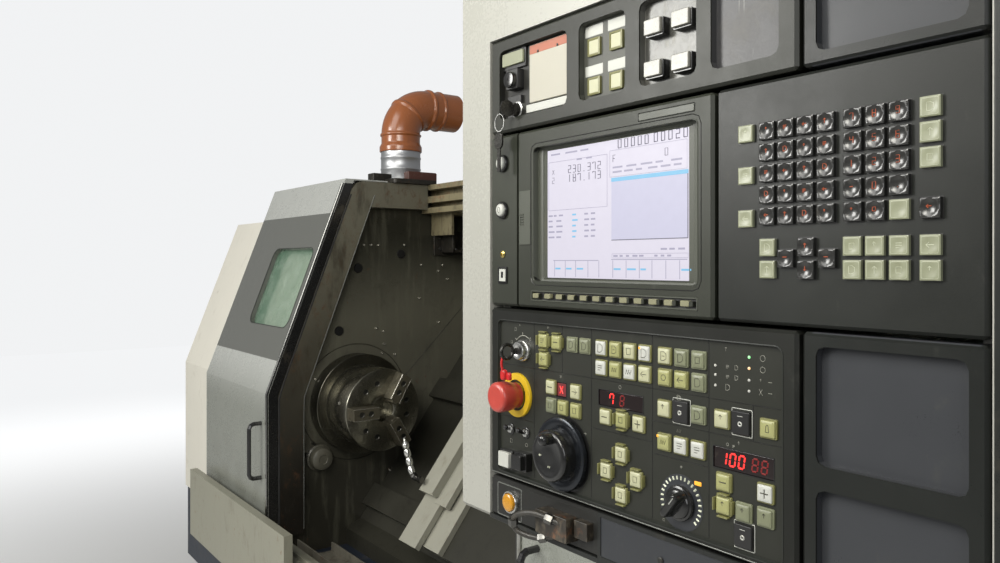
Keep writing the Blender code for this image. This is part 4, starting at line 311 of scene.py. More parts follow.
@dataclass(frozen=True)
class Turned:
    """Steel turned about the spindle line: fine rings, oil stains and a dark bloom."""

    colour: Colour
    roughness: float = 0.28
    centre: Point = (0.0, 0.0, 0.0)
    rings: float = 0.0012
    stain: Colour = (0.05, 0.045, 0.04)
    rust: float = 0.0

    def build(self, name: str) -> bpy.types.Material:
        """Make the material with rings at equal distances from the line along X.

        Args:
            name: the material's name.

        Returns:
            The material.
        """
        tree = Tree(name)
        _, across, up = tree.axes(tree.place(centre=self.centre))
        reach = (across * across + up * up) ** 0.5
        ring = tree.node("ShaderNodeMath", {"operation": "SINE"},
            {0: reach * (FULL_TURN / self.rings)}) * 0.5 + 0.5
        cloud = tree.noise(0.03, 6.0, 0.7)
        stain = cloud.span(0.5, 0.78)
        base = tree.blend(stain * 0.75, self.colour, self.stain)
        if self.rust > 0.0:
            bloom = tree.noise(0.012, 6.0, 0.7).span(0.58, 0.72) * self.rust
            base = tree.blend(bloom, base, (0.18, 0.07, 0.025))
        fine = tree.noise(0.0015, 2.0)
        rough = self.roughness + stain * 0.22 + (ring - 0.5) * 0.1 + (fine - 0.5) * 0.1
        return tree.finish({"Base Color": base, "Roughness": rough.most(0.1), "Metallic": 1.0,
            "Normal": tree.bump(ring * 0.6 + fine * 0.4, 0.00003)})


@dataclass(frozen=True)
class Lit:
    """A glowing figure, lamp or screen area."""

    colour: Colour
    strength: float = 1.0
    base: Colour = (0.02, 0.02, 0.02)

    def build(self, name: str) -> bpy.types.Material:
        """Make the glowing material, a little uneven over its face."""
        tree = Tree(name)
        soft = tree.noise(0.01, 2.0)
        glow = tree.blend(soft * 0.25, self.colour, tuple(part * 0.8 for part in self.colour))
        return tree.finish({"Base Color": self.base, "Roughness": 0.35 + soft * 0.1,
            "Emission Color": glow, "Emission Strength": self.strength})


@dataclass(frozen=True)
class Pane:
    """Clear tinted glass or plastic with a film of dust."""

    tint: Colour
    alpha: float = 0.35
    roughness: float = 0.08
    dust: float = 0.2

    def build(self, name: str) -> bpy.types.Material:
        """Make the glass: thin, so it shows what is behind by its alpha.

        Args:
            name: the material's name.

        Returns:
            The material.
        """
        tree = Tree(name)
        film = tree.noise(0.05, 5.0, 0.65).span(0.35, 0.8)
        base = tree.blend(film * self.dust, self.tint, (0.55, 0.58, 0.52))
        clear = self.alpha + film * self.dust * 0.5
        return tree.finish({"Base Color": base, "Roughness": self.roughness + film * 0.2,
            "Alpha": clear.least(1.0), "Normal": tree.bump(tree.noise(0.2, 1.0), 0.0004)})


# Meshes from whole arrays

Mesh = Tuple[np.ndarray, np.ndarray]


def grid_faces(rows: int, columns: int, wrap: bool) -> np.ndarray:
    """The four-cornered faces of a grid of points, row by row.

    Args:
        rows: the number of rows.
        columns: the points in each row.
        wrap: whether the last point of a row joins the first.

    Returns:
        One row of four indices for each face.
    """
    row, column = np.meshgrid(np.arange(rows - 1), np.arange(columns if wrap else columns - 1),
        indexing="ij")
    near = row * columns + column
    side = row * columns + (column + 1) % columns
    return np.stack([near, side, side + columns, near + columns], -1).reshape(-1, 4)


def mm(*numbers: float, rise: float = 0.0) -> Pairs:
    """Pairs given in millimetres, or shares in thousandths, with the second of each raised in metres."""
    return tuple((first / 1000, second / 1000 + rise)
        for first, second in zip(numbers[::2], numbers[1::2]))


def rings(points: np.ndarray, start: bool = True, end: bool = True) -> Mesh:
    """Close a stack of rings into a solid.

    The rings are joined row by row, and each end is closed by a fan to the middle of its ring. A ring
    just inside each end keeps the shading of a rounded edge off the flat end.

    Args:
        points: an array of rings, points and coordinates.
        start: whether the first ring is closed.
        end: whether the last ring is closed.

    Returns:
        The vertices and the faces; a fan's faces repeat their last index.
    """
    if start:
        points = np.concatenate([points[:1] * 0.985 + points[:1].mean(1, keepdims=True) * 0.015, points])
    if end:
        points = np.concatenate([points, points[-1:] * 0.985 + points[-1:].mean(1, keepdims=True)
            * 0.015])
    rows, columns, _ = points.shape
    faces = [grid_faces(rows, columns, True)]
    vertices = [points.reshape(-1, 3)]
    count = rows * columns
    around = np.arange(columns)
    following = (around + 1) % columns
    for wanted, row, first, second in ((start, 0, following, around), (end, rows - 1, around, following)):
        if wanted:
            vertices.append(points[row].mean(0, keepdims=True))
            middle = np.full(columns, count)
            faces.append(np.stack([row * columns + first, row * columns + second, middle, middle], -1))
            count += 1
    return np.concatenate(vertices), np.concatenate(faces)


def frame_of(direction: Sequence[float]) -> np.ndarray:
    """Two unit vectors square to a direction, and the direction itself, as rows."""
    along = np.array(direction, float)
    along /= np.linalg.norm(along)
    helper = np.array([0.0, 0.0, 1.0]) if abs(along[2]) < 0.9 else np.array([0.0, 1.0, 0.0])
    side = np.cross(helper, along)
    side /= np.linalg.norm(side)
    return np.stack([side, np.cross(along, side), along])


def turned(profile: Pairs, base: Sequence[float], direction: Sequence[float], sides: int = 48) -> Mesh:
    """A profile carried round an axis: (r, h) becomes base + r (cos a, sin a) + h along the axis.

    Args:
        profile: radius and height pairs, from the back to the front.
        base: the point of height zero.
        direction: the axis.
        sides: the points round it.

    Returns:
        The closed mesh.
    """
    pairs = np.array(profile, float)
    side, over, along = frame_of(direction)
    angle = np.linspace(0.0, 2 * math.pi, sides, endpoint=False)
    circle = np.cos(angle)[:, None] * side + np.sin(angle)[:, None] * over
    points = np.array(base) + pairs[:, None, :1] * circle[None] + pairs[:, None, 1:] * along
    return rings(points)


def swept(path: Sequence[Sequence[float]], radius: Union[float, Sequence[float]], sides: int = 12,
        smooth: int = 0) -> Mesh:
    """A round section carried along a path: each point is the path's plus the radius times a turned circle.

    The section's frame is the path's heading and two directions square to it, kept from twisting by
    using one fixed helper direction for the whole path.

    Args:
        path: the points of the middle line.
        radius: one radius, or one for each point.
        sides: the points round the section.
        smooth: how many points are put along each stretch by a smooth curve through the points.

    Returns:
        The closed mesh.
    """
    line = curve_through(path, smooth) if smooth else np.array(path, float)
    sizes = np.interp(np.linspace(0.0, 1.0, len(line)), np.linspace(0.0, 1.0, np.size(radius)),
        np.atleast_1d(radius))
    heading = np.gradient(line, axis=0)
    heading /= np.linalg.norm(heading, axis=1, keepdims=True)
    spread = np.abs(heading).max(0)
    helper = np.eye(3)[int(np.argmin(spread))]
    side = np.cross(helper, heading)
    side /= np.linalg.norm(side, axis=1, keepdims=True)
    over = np.cross(heading, side)
    angle = np.linspace(0.0, 2 * math.pi, sides, endpoint=False)
    circle = np.cos(angle)[None, :, None] * side[:, None] + np.sin(angle)[None, :, None] * over[:, None]
    return rings(line[:, None] + sizes[:, None, None] * circle)


def curve_through(path: Sequence[Sequence[float]], steps: int) -> np.ndarray:
    """A smooth curve through points, by the cubic whose slope at each point joins its neighbours.

    Args:
        path: the points on the curve.
        steps: the points along each stretch.

    Returns:
        The curve's points.
    """
    knots = np.array(path, float)
    padded = np.concatenate([2 * knots[:1] - knots[1:2], knots, 2 * knots[-1:] - knots[-2:-1]])
    share = np.linspace(0.0, 1.0, steps, endpoint=False)[None, :, None]
    p0, p1, p2, p3 = (padded[index:len(padded) - 3 + index, None] for index in range(4))
    body = 0.5 * (2 * p1 + (p2 - p0) * share + (2 * p0 - 5 * p1 + 4 * p2 - p3) * share ** 2
        + (3 * p1 - p0 - 3 * p2 + p3) * share ** 3)
    return np.concatenate([body.reshape(-1, 3), knots[-1:]])


def rounded(width: float, height: float, corner: float, steps: int = 4) -> np.ndarray:
    """The points of a rectangle with round corners about zero, in order, in two coordinates.

    Args:
        width: its width.
        height: its height.
        corner: its corner radius.
        steps: the stretches of each corner.

    Returns:
        The points, one row each.
    """
    turn = (np.arange(4)[:, None] * 90.0 + np.linspace(0.0, 90.0, steps + 1)[None]) * math.pi / 180.0
    signs = np.array([[1, 1], [-1, 1], [-1, -1], [1, -1]])
    centres = signs * np.array([width / 2 - corner, height / 2 - corner])
    arc = np.stack([np.cos(turn), np.sin(turn)], -1) * corner
    return (centres[:, None] + arc).reshape(-1, 2)


FACE_FRONT = ((1.0, 0.0, 0.0), (0.0, 0.0, 1.0), (0.0, -1.0, 0.0))


def slab(centre: Sequence[float], width: float, height: float, levels: Pairs, corner: float,
        axes: Sequence[Sequence[float]] = FACE_FRONT, steps: int = 4) -> Mesh:
    """A rounded rectangle carried outwards through levels, each with its rise and its inset.

    Args:
        centre: the middle of the foot.
        width: the size along the first axis.
        height: the size along the second axis.
        levels: rise and inset pairs from the foot to the top.
        corner: the corner radius of the foot.
        axes: the directions of width, height and rise.
        steps: the points of each corner.

    Returns:
        The closed mesh.
    """
    across, up, out = (np.array(axis, float) for axis in axes)
    outline = rounded(width, height, corner, steps)
    half = np.array([width / 2, height / 2])
    pairs = np.array(levels, float)
    scale = 1.0 - pairs[:, 1, None] / half[None]
    flat = outline[None] * scale[:, None]
    points = np.array(centre) + flat[..., :1] * across + flat[..., 1:] * up + pairs[:, 0, None,
        None] * out
    if np.linalg.det(np.stack([across, up, out])) < 0.0:
        points = points[:, ::-1]
    return rings(points)


def repeated(shape: Mesh, places: Sequence[Sequence[float]]) -> Mesh:
    """One shape moved to each of several places: every vertex plus every place.

    Args:
        shape: the vertices and faces.
        places: where each copy stands.

    Returns:
        The joined mesh.
    """
    vertices, faces = shape
    shifts = np.array(places, float)
    every = (shifts[:, None] + vertices[None]).reshape(-1, 3)
    index = (np.arange(len(shifts))[:, None, None] * len(vertices) + faces[None]).reshape(-1, 4)
    return every, index


def joined(shapes: Sequence[Mesh]) -> Mesh:
    """Several shapes as one."""
    starts = np.cumsum([0] + [len(vertices) for vertices, _ in shapes[:-1]])
    return (np.concatenate([vertices for vertices, _ in shapes]),
        np.concatenate([faces + start for (_, faces), start in zip(shapes, starts)]))


def piece(name: str, shape: Mesh, body: str, material: bpy.types.Material,
        smooth: float = 35.0) -> bpy.types.Object:
    """Put a shape into the scene as one piece that rides on a body.

    Args:
        name: the piece's name.
        shape: its vertices and faces.
        body: the body that carries it.
        material: its material.
        smooth: the angle in degrees above which an edge stays sharp.

    Returns:
        The new object.
    """
    vertices, faces = shape
    mesh = bpy.data.meshes.new(name)
    square = faces[:, 2] != faces[:, 3]
    corners = np.where(square, 4, 3)
    keep = np.ones(faces.shape, bool)
    keep[~square, 3] = False
    loops = faces[keep]
    mesh.vertices.add(len(vertices))
    mesh.vertices.foreach_set("co", vertices.astype(np.float32).ravel())
    mesh.loops.add(len(loops))
    mesh.loops.foreach_set("vertex_index", loops.astype(np.int32))
    mesh.polygons.add(len(faces))
    mesh.polygons.foreach_set("loop_start",
        np.concatenate([[0], np.cumsum(corners)[:-1]]).astype(np.int32))
    mesh.update(calc_edges=True)
    mesh.shade_smooth()
    mesh.set_sharp_from_angle(angle=math.radians(smooth))
    made = bpy.data.objects.new(name, mesh)
    mesh.materials.append(material)
    bpy.context.scene.collection.objects.link(made)
    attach(made, body)
    return made


def dress(node: str, material: bpy.types.Material) -> None:
    """Give a CAD node its material."""
    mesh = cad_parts[node].data
    mesh.materials.clear()
    mesh.materials.append(material)


class Grade(Enum):
    """The finishes of the machine's own parts."""

    CREAM = Paint((0.65, 0.627, 0.549), 0.38, dirt=0.22, streaks=0.05, vary=0.05,
        dirt_colour=(0.22, 0.19, 0.14))
    RAIL = Paint((0.19, 0.165, 0.095), 0.5, dirt=0.8, streaks=0.5, rust=0.7, specks=0.8, vary=0.14,
        dirt_size=0.05, dirt_colour=(0.06, 0.048, 0.028))
    SILL = Paint((0.235, 0.23, 0.18), 0.42, dirt=0.35, streaks=0.1, rust=0.15, vary=0.09,
        dirt_colour=(0.1, 0.085, 0.06))
    PAN = Paint((0.16, 0.15, 0.12), 0.4, dirt=0.8, streaks=0.2, rust=0.3, vary=0.12,
        dirt_colour=(0.04, 0.035, 0.025))
    WAY = Paint((0.29, 0.285, 0.235), 0.36, dirt=0.35, streaks=0.08, vary=0.08,
        dirt_colour=(0.14, 0.12, 0.08), rust=0.1)
    BASE = Paint((0.015, 0.021, 0.033), 0.48, dirt=0.4, vary=0.1, specks=0.3)
    LAMP = Paint((0.085, 0.081, 0.062), 0.38, dirt=0.5, vary=0.15, dirt_size=0.02,
        dirt_colour=(0.05, 0.045, 0.03), slot="jamb_paint")
    GROOVE = Paint((0.016, 0.015, 0.011), 0.4, dirt=0.3, vary=0.2, slot="wall_steel")
    CAST = Paint((0.034, 0.033, 0.025), 0.34, metallic=0.2, dirt=0.5, vary=0.2, grain=0.006,
        grain_depth=0.0004, dirt_colour=(0.012, 0.01, 0.007))
    GROUND = Paint((0.34, 0.34, 0.33), 0.3, metallic=1.0, dirt=0.35, vary=0.1, rust=0.15, scratches=0.4)
    DARK_STEEL = Paint((0.13, 0.128, 0.12), 0.3, metallic=1.0, dirt=0.5, vary=0.2, scratches=0.5,
        rust=0.1, dirt_size=0.05, slot="bright_steel")
    JAW = Paint((0.105, 0.095, 0.068), 0.3, metallic=0.55, dirt=0.45, vary=0.22, scratches=0.5, rust=0.15,
        dirt_size=0.02, dirt_colour=(0.03, 0.024, 0.015), slot="chuck_steel")
    # Near-black for painted shade in the screw holes.
    OIL_BLACK = Paint((0.006, 0.006, 0.005), 0.3, dirt=0.1, vary=0.1)
    SCREW = Paint((0.75, 0.73, 0.66), 0.24, metallic=0.85, dirt=0.25, vary=0.15, dirt_size=0.01,
        slot="bright_steel")
    SILVER = Paint((0.66, 0.66, 0.63), 0.22, metallic=0.9, dirt=0.25, vary=0.1, dirt_size=0.01,
        dirt_colour=(0.18, 0.16, 0.12), slot="bright_steel")
    STRIP = Paint((0.42, 0.42, 0.39), 0.2, metallic=1.0, dirt=0.15, vary=0.1, dirt_size=0.05,
        slot="bright_steel")
    SEAL = Paint((0.01, 0.01, 0.01), 0.26, dirt=0.15, vary=0.12, coat=0.3, slot="rubber")
    DARK_BLOCK = Paint((0.02, 0.018, 0.014), 0.42, metallic=0.3, dirt=0.5, vary=0.2, dirt_size=0.03,
        rust=0.3, slot="cast_iron")
    RED_OXIDE = Paint((0.06, 0.018, 0.01), 0.42, dirt=0.4, vary=0.2, dirt_size=0.03, rust=0.3,
        slot="cast_iron")
    BRIGHT = Paint((0.62, 0.62, 0.6), 0.26, metallic=1.0, dirt=0.25, vary=0.08, scratches=0.3,
        dirt_size=0.03, slot="bright_steel")
    GALVANISED = Paint((0.66, 0.66, 0.67), 0.3, metallic=1.0, dirt=0.25, vary=0.22, dirt_size=0.02,
        slot="galvanised")
    DUCT = Paint((0.27, 0.085, 0.026), 0.24, dirt=0.18, vary=0.06, coat=0.3,
        dirt_colour=(0.16, 0.06, 0.025), slot="duct_plastic")
    RUBBER = Paint((0.014, 0.014, 0.014), 0.5, dirt=0.25, vary=0.12, slot="rubber")
    CONSOLE = Paint((0.02, 0.022, 0.019), 0.33, dirt=0.12, vary=0.07, grain=0.0012, grain_depth=0.00006,
        gloss=0.32, dirt_colour=(0.1, 0.1, 0.085), scratches=0.12, slot="panel_plastic")
    BEZEL = Paint((0.057, 0.061, 0.049), 0.34, dirt=0.1, vary=0.07, grain=0.0012, grain_depth=0.00004,
        gloss=0.32, slot="panel_plastic")
    TRIM = Paint((0.013, 0.014, 0.013), 0.3, dirt=0.15, vary=0.07, grain=0.0012, grain_depth=0.00004,
        gloss=0.32, slot="panel_plastic")
    LIP = Paint((0.13, 0.135, 0.125), 0.26, metallic=0.3, dirt=0.2, vary=0.2, dirt_size=0.05,
        slot="bright_steel")
    BLANK = Paint((0.032, 0.032, 0.034), 0.3, dirt=0.3, vary=0.14, grain=0.0014, grain_depth=0.00004,
        gloss=0.32, dirt_colour=(0.13, 0.125, 0.11), scratches=0.3, slot="panel_plastic")
    DUSTY = Paint((0.06, 0.06, 0.055), 0.26, metallic=0.2, dirt=0.55, vary=0.25, dirt_size=0.025,
        dirt_colour=(0.16, 0.155, 0.13), slot="bright_steel")
    BLACK = Paint((0.01, 0.01, 0.01), 0.34, dirt=0.2, vary=0.1, dirt_colour=(0.04, 0.038, 0.032))
    GLOSS_BLACK = Paint((0.008, 0.008, 0.008), 0.2, dirt=0.15, vary=0.1, dirt_size=0.02,
        dirt_colour=(0.05, 0.047, 0.04), coat=0.3)
    SMOKED = Paint((0.01, 0.006, 0.006), 0.12, dirt=0.1, vary=0.1, dirt_size=0.02, coat=0.4)
    RIM = Paint((0.022, 0.025, 0.03), 0.24, metallic=0.7, dirt=0.3, vary=0.15, dirt_size=0.02,
        scratches=0.3)
    INK = Paint((0.035, 0.035, 0.022), 0.45, dirt=0.2, vary=0.1)
    PRINT = Paint((0.252, 0.252, 0.217), 0.5, dirt=0.3, vary=0.15, dirt_size=0.02, slot="button_cream")
    KEY_OLIVE = Paint((0.136, 0.133, 0.046), 0.34, dirt=0.35, vary=0.16, dirt_size=0.02,
        dirt_colour=(0.09, 0.085, 0.035), coat=0.2, slot="button_cream")
    KEY_PALE = Paint((0.194, 0.205, 0.133), 0.34, dirt=0.3, vary=0.14, dirt_size=0.015,
        dirt_colour=(0.14, 0.14, 0.08), coat=0.15, slot="button_cream")
    KEY_LINE = Paint((0.52, 0.54, 0.42), 0.4, dirt=0.1, vary=0.1, slot="button_cream")
    KEY_BLACK = Paint((0.016, 0.016, 0.015), 0.24, dirt=0.25, vary=0.2, dirt_size=0.02,
        dirt_colour=(0.06, 0.055, 0.045), coat=0.35)
    KEY_CAP = Paint((0.252, 0.252, 0.105), 0.36, dirt=0.25, vary=0.14, dirt_size=0.015,
        dirt_colour=(0.2, 0.19, 0.08), slot="button_cream")
    KEY_DULL = Paint((0.14, 0.15, 0.091), 0.38, dirt=0.25, vary=0.1, dirt_size=0.015,
        dirt_colour=(0.12, 0.12, 0.07), slot="button_cream")
    KEY_CREAM = Paint((0.347, 0.347, 0.223), 0.38, dirt=0.2, vary=0.1, dirt_size=0.015,
        dirt_colour=(0.32, 0.31, 0.18), slot="button_cream")
    KEY_SOFT = Paint((0.165, 0.16, 0.094), 0.38, dirt=0.2, vary=0.1, dirt_size=0.015, slot="button_cream")
    KEY_IRON = Paint((0.035, 0.034, 0.031), 0.26, metallic=0.7, dirt=0.2, vary=0.2, dirt_size=0.01)
    CAP_GREY = Paint((0.182, 0.178, 0.154), 0.26, dirt=0.3, vary=0.12, dirt_size=0.015,
        dirt_colour=(0.15, 0.14, 0.11), coat=0.2, slot="button_cream")
    CARD = Paint((0.33, 0.316, 0.264), 0.42, dirt=0.2, vary=0.06, dirt_size=0.03,
        dirt_colour=(0.38, 0.35, 0.26), slot="button_cream")
    TERRACOTTA = Paint((0.3, 0.085, 0.04), 0.4, dirt=0.2, vary=0.1, dirt_size=0.02, slot="duct_plastic")
    BRASS = Paint((0.45, 0.36, 0.13), 0.28, metallic=1.0, dirt=0.3, vary=0.15, dirt_size=0.006,
        slot="bright_steel")
    RED = Paint((0.36, 0.04, 0.028), 0.33, dirt=0.25, vary=0.12, dirt_size=0.02,
        dirt_colour=(0.16, 0.05, 0.035), coat=0.25, slot="stop_red")
    YELLOW = Paint((0.56, 0.37, 0.012), 0.36, dirt=0.25, vary=0.1, dirt_size=0.02,
        dirt_colour=(0.28, 0.18, 0.02), slot="amber_plastic")
    AMBER = Paint((0.42, 0.19, 0.006), 0.26, dirt=0.1, vary=0.08, dirt_size=0.02, coat=0.4,
        slot="amber_plastic")
    WHITE = Paint((0.384, 0.391, 0.36), 0.4, dirt=0.2, vary=0.06, dirt_size=0.02,
        dirt_colour=(0.4, 0.37, 0.3), slot="button_cream")
    TAG = Paint((0.4, 0.012, 0.012), 0.3, dirt=0.15, vary=0.1, dirt_size=0.006, coat=0.3, slot="stop_red")
    ORANGE = Paint((0.36, 0.075, 0.028), 0.5, dirt=0.15, vary=0.08, dirt_size=0.01, slot="stop_red")
    COPPER = Paint((0.1, 0.05, 0.025), 0.42, metallic=0.6, dirt=0.3, vary=0.25, dirt_size=0.008,
        slot="chuck_steel")
    BLUE_PLATE = Paint((0.02, 0.022, 0.026), 0.34, dirt=0.3, vary=0.12, dirt_size=0.03,
        dirt_colour=(0.05, 0.05, 0.045), slot="jamb_paint")
    WORN_BLOCK = Paint((0.016, 0.013, 0.009), 0.42, dirt=0.7, vary=0.3, dirt_size=0.02,
        dirt_colour=(0.12, 0.1, 0.07), rust=0.4, slot="cast_iron")
    HOSE = Paint((0.028, 0.026, 0.022), 0.45, dirt=0.5, vary=0.2, dirt_size=0.03, slot="rubber")
    HOUSING = Paint((0.31, 0.31, 0.28), 0.28, dirt=0.04, streaks=0.03, vary=0.03,
        dirt_colour=(0.22, 0.21, 0.17))

    def made(self) -> bpy.types.Material:
        """The grade's material, made once."""
        name = self.name.lower()
        return bpy.data.materials.get(name) or self.value.build(name)

    def part(self, name: str, shape: Mesh, smooth: float = 40.0, body: str = "frame",
            slot: str = "") -> bpy.types.Object:
        """Make a piece in this grade.

        Args:
            name: the piece's name.
            shape: its vertices and faces.
            smooth: the angle in degrees above which an edge stays sharp.
            body: the body that carries it.
            slot: not used.

        Returns:
            The new object.
        """
        return piece(name, shape, body, self.made(), smooth)


GREY_DOOR = (0.225, 0.235, 0.208)
# The door's grey made paler as painted light, for the face from the bend up.
PAINTED_LIT_DOOR = (0.4, 0.41, 0.385)
DARK_BAND = (0.115, 0.118, 0.105)


@dataclass(frozen=True)
class DoorPaint:
    """The grey doors: a dark band round the window, a paler top that is painted light from just below the
    bend up, and a mottled painted shade near the sill.
    """

    band_low: float = 1.236
    band_top: float = 1.788

    def build(self, name: str) -> bpy.types.Material:
        """Make the paint with the band between two heights.

        Args:
            name: the material's name.

        Returns:
            The material.
        """
        tree = Tree(name)
        _, depth, height = tree.axes(tree.place())
        inside = (height > self.band_low) * (height < self.band_top)
        face = depth < -0.02
        # Painted shade: mottled darkening towards the sill.
        sill_shade = (1.0 - height.span(0.62, 0.98)) * tree.noise(0.1, 5.0).span(0.25, 0.75) * 0.55
        # Painted light: the door turns paler from just below the bend upwards.
        upper = tree.blend(height.span(1.02, 1.24), GREY_DOOR, PAINTED_LIT_DOOR)
        plain = tree.blend(sill_shade, upper, (0.13, 0.13, 0.105))
        colour = tree.blend(inside * face, plain, DARK_BAND)
        values = Paint(GREY_DOOR, 0.28, metallic=0.1, dirt=0.1, streaks=0.04, vary=0.04,
            coat=0.2).layers(tree, colour)
        values["Roughness"] = values["Roughness"] * (1.0 - inside * face * 0.5)
        return tree.finish(values)


# Places shared by the sub-assemblies

def corner(node: str, high: bool = False) -> np.ndarray:
    """The lowest or the highest corner of a CAD node."""
    return np.array(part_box(node)[1 if high else 0])


WALL_X = float(corner("splash_wall", True)[0] - 0.005)
SPINDLE_Y = -0.09
SPINDLE_Z = 1.052
SLOPE = math.radians(20.9)
BEND_Z = 1.119
DOOR_Y = -0.462


def front_y(depth: float, height: Union[float, np.ndarray]) -> np.ndarray:
    """The enclosure's sloping front some way behind the door's face, at a height."""
    bend = BEND_Z - depth * math.tan(SLOPE / 2)
    return DOOR_Y + depth + np.maximum(0.0, np.asarray(height) - bend) * math.tan(SLOPE)


def wall_point(across: float, height: float, proud: float = 0.0) -> Point:
    """A point on the splash wall, across from the spindle line and at a height."""
    return (WALL_X + proud, SPINDLE_Y + across, height)


# Fastenings and marks

def cap_screw(place: Sequence[float], out: Sequence[float], radius: float, height: float) -> Mesh:
    """A socket screw: a turned head with a rounded edge and a six-sided hole in its face."""
    profile = [(radius, -height * 0.2), (radius, height * 0.8), (radius * 0.9, height),
        (radius * 0.56, height), (radius * 0.5, height * 0.55), (0.001, height * 0.5)]
    return turned(profile, place, out, 12)


def hex_bolt(place: Sequence[float], out: Sequence[float], radius: float, height: float) -> Mesh:
    """A six-sided bolt head on a round washer."""
    washer = turned([(radius * 1.35, -height * 0.2), (radius * 1.35, height * 0.18),
        (radius * 1.2, height * 0.25)], place, out, 16)
    head = turned([(radius, 0.0), (radius, height * 0.9), (radius * 0.86, height)], place, out, 6)
    return joined([washer, head])


DIGITS: Dict[str, List[List[Tuple[float, float]]]] = {"0": [[(0, 0), (0, 4), (2, 4), (2, 0), (0, 0)]],
    "1": [[(1, 0), (1, 4)]], "2": [[(0, 4), (2, 4), (2, 2), (0, 2), (0, 0), (2, 0)]],
    "3": [[(0, 4), (2, 4), (2, 0), (0, 0)], [(0, 2), (2, 2)]],
    "4": [[(0, 4), (0, 2), (2, 2)], [(2, 4), (2, 0)]],
    "5": [[(2, 4), (0, 4), (0, 2), (2, 2), (2, 0), (0, 0)]],
    "6": [[(2, 4), (0, 4), (0, 0), (2, 0), (2, 2), (0, 2)]], "7": [[(0, 3.2), (0, 4), (2, 4), (2, 0)]],
    "8": [[(0, 0), (0, 4), (2, 4), (2, 0), (0, 0)], [(0, 2), (2, 2)]],
    "9": [[(2, 2), (0, 2), (0, 4), (2, 4), (2, 0), (0, 0)]], ".": [[(0.8, 0), (1.2, 0)]],
    "-": [[(0, 2), (2, 2)]], " ": [],}
MARKS: Dict[str, List[List[Tuple[float, float]]]] = {"minus": [[(0, 2), (2, 2)]],
    "plus": [[(0, 2), (2, 2)], [(1, 1), (1, 3)]],
    "left": [[(2, 2), (0, 2)], [(0.8, 2.7), (0, 2), (0.8, 1.3)]],
    "right": [[(0, 2), (2, 2)], [(1.2, 2.7), (2, 2), (1.2, 1.3)]],
    "up": [[(1, 1), (1, 3)], [(0.4, 2.4), (1, 3), (1.6, 2.4)]],
    "down": [[(1, 3), (1, 1)], [(0.4, 1.6), (1, 1), (1.6, 1.6)]],
    "ring": [[(1 + 0.8 * math.cos(a), 2 + 0.8 * math.sin(a)) for a in np.linspace(0, 2 * math.pi, 13)]],
    "dee": [[(0.2, 0.9), (0.2, 3.1), (1.1, 3.1), (1.9, 2.6), (1.9, 1.4), (1.1, 0.9), (0.2, 0.9)]],
    "deebar": [[(0.2, 0.9), (0.2, 3.1), (1.1, 3.1), (1.9, 2.6), (1.9, 1.4), (1.1, 0.9), (0.2, 0.9)],
        [(0.6, 2), (1.4, 2)]],
    "wave": [[(0, 1.4), (0.4, 2.6), (0.8, 1.4), (1.2, 2.6), (1.6, 1.4), (2, 2.6)]],
    "square": [[(0.3, 1.2), (0.3, 2.8), (1.7, 2.8), (1.7, 1.2), (0.3, 1.2)]],
    "tick": [[(0.5, 2.6), (0.9, 3.1), (1.3, 2.6)], [(0.9, 3.1), (0.9, 2.0)]],
    "bars": [[(0.2, 2.6), (1.8, 2.6)], [(0.2, 2.0), (1.8, 2.0)], [(0.2, 1.4), (1.2, 1.4)]],
    "cross": [[(0, 0.4), (2, 3.6)], [(0, 3.6), (2, 0.4)]],
    "bulb": [[(0.5, 1.2), (1.5, 1.2), (1.4, 1.8), (1.3, 2.7), (1.0, 3.0), (0.7, 2.7), (0.6, 1.8),
        (0.5, 1.2)]],}


def strokes(lines: Sequence[Pairs], centre: Sequence[float], height: float, width: float,
        across: Sequence[float] = (1.0, 0.0, 0.0), up: Sequence[float] = (0.0, 0.0, 1.0)) -> List[Mesh]:
    """Lines of a figure drawn in a cell 2 wide and 4 high, as thin square bars.

    Args:
        lines: the figure's lines in the cell.
        centre: the middle of the cell.
        height: the cell's real height.
        width: the bars' width.
        across: the direction of the cell's width.
        up: the direction of its height.

    Returns:
        One mesh for each line.
    """
    step = height / 4.0
    frame_axes = np.array([across, up], float)
    shapes = []
    for line in lines:
        flat = (np.array(line, float) - np.array([1.0, 2.0])) * step
        shapes.append(swept(np.array(centre) + flat @ frame_axes, width / 2, 4))
    return shapes


def figures(text: str, start: Sequence[float], height: float, width: float,
        pitch: float = 0.72) -> List[Mesh]:
    """A row of figures on the console's face, each cell a pitch times the height apart.

    Args:
        text: digits, points, dashes and blanks.
        start: the middle of the first cell.
        height: the figures' height.
        width: the width of their lines.
        pitch: the cell's width as a share of the height.

    Returns:
        The meshes of all the lines.
    """
    shapes: List[Mesh] = []
    for index, figure in enumerate(text):
        place = np.array(start) + np.array([index * pitch * height, 0.0, 0.0])
        shapes += strokes(DIGITS[figure], place, height, width)
    return shapes


# Enclosure

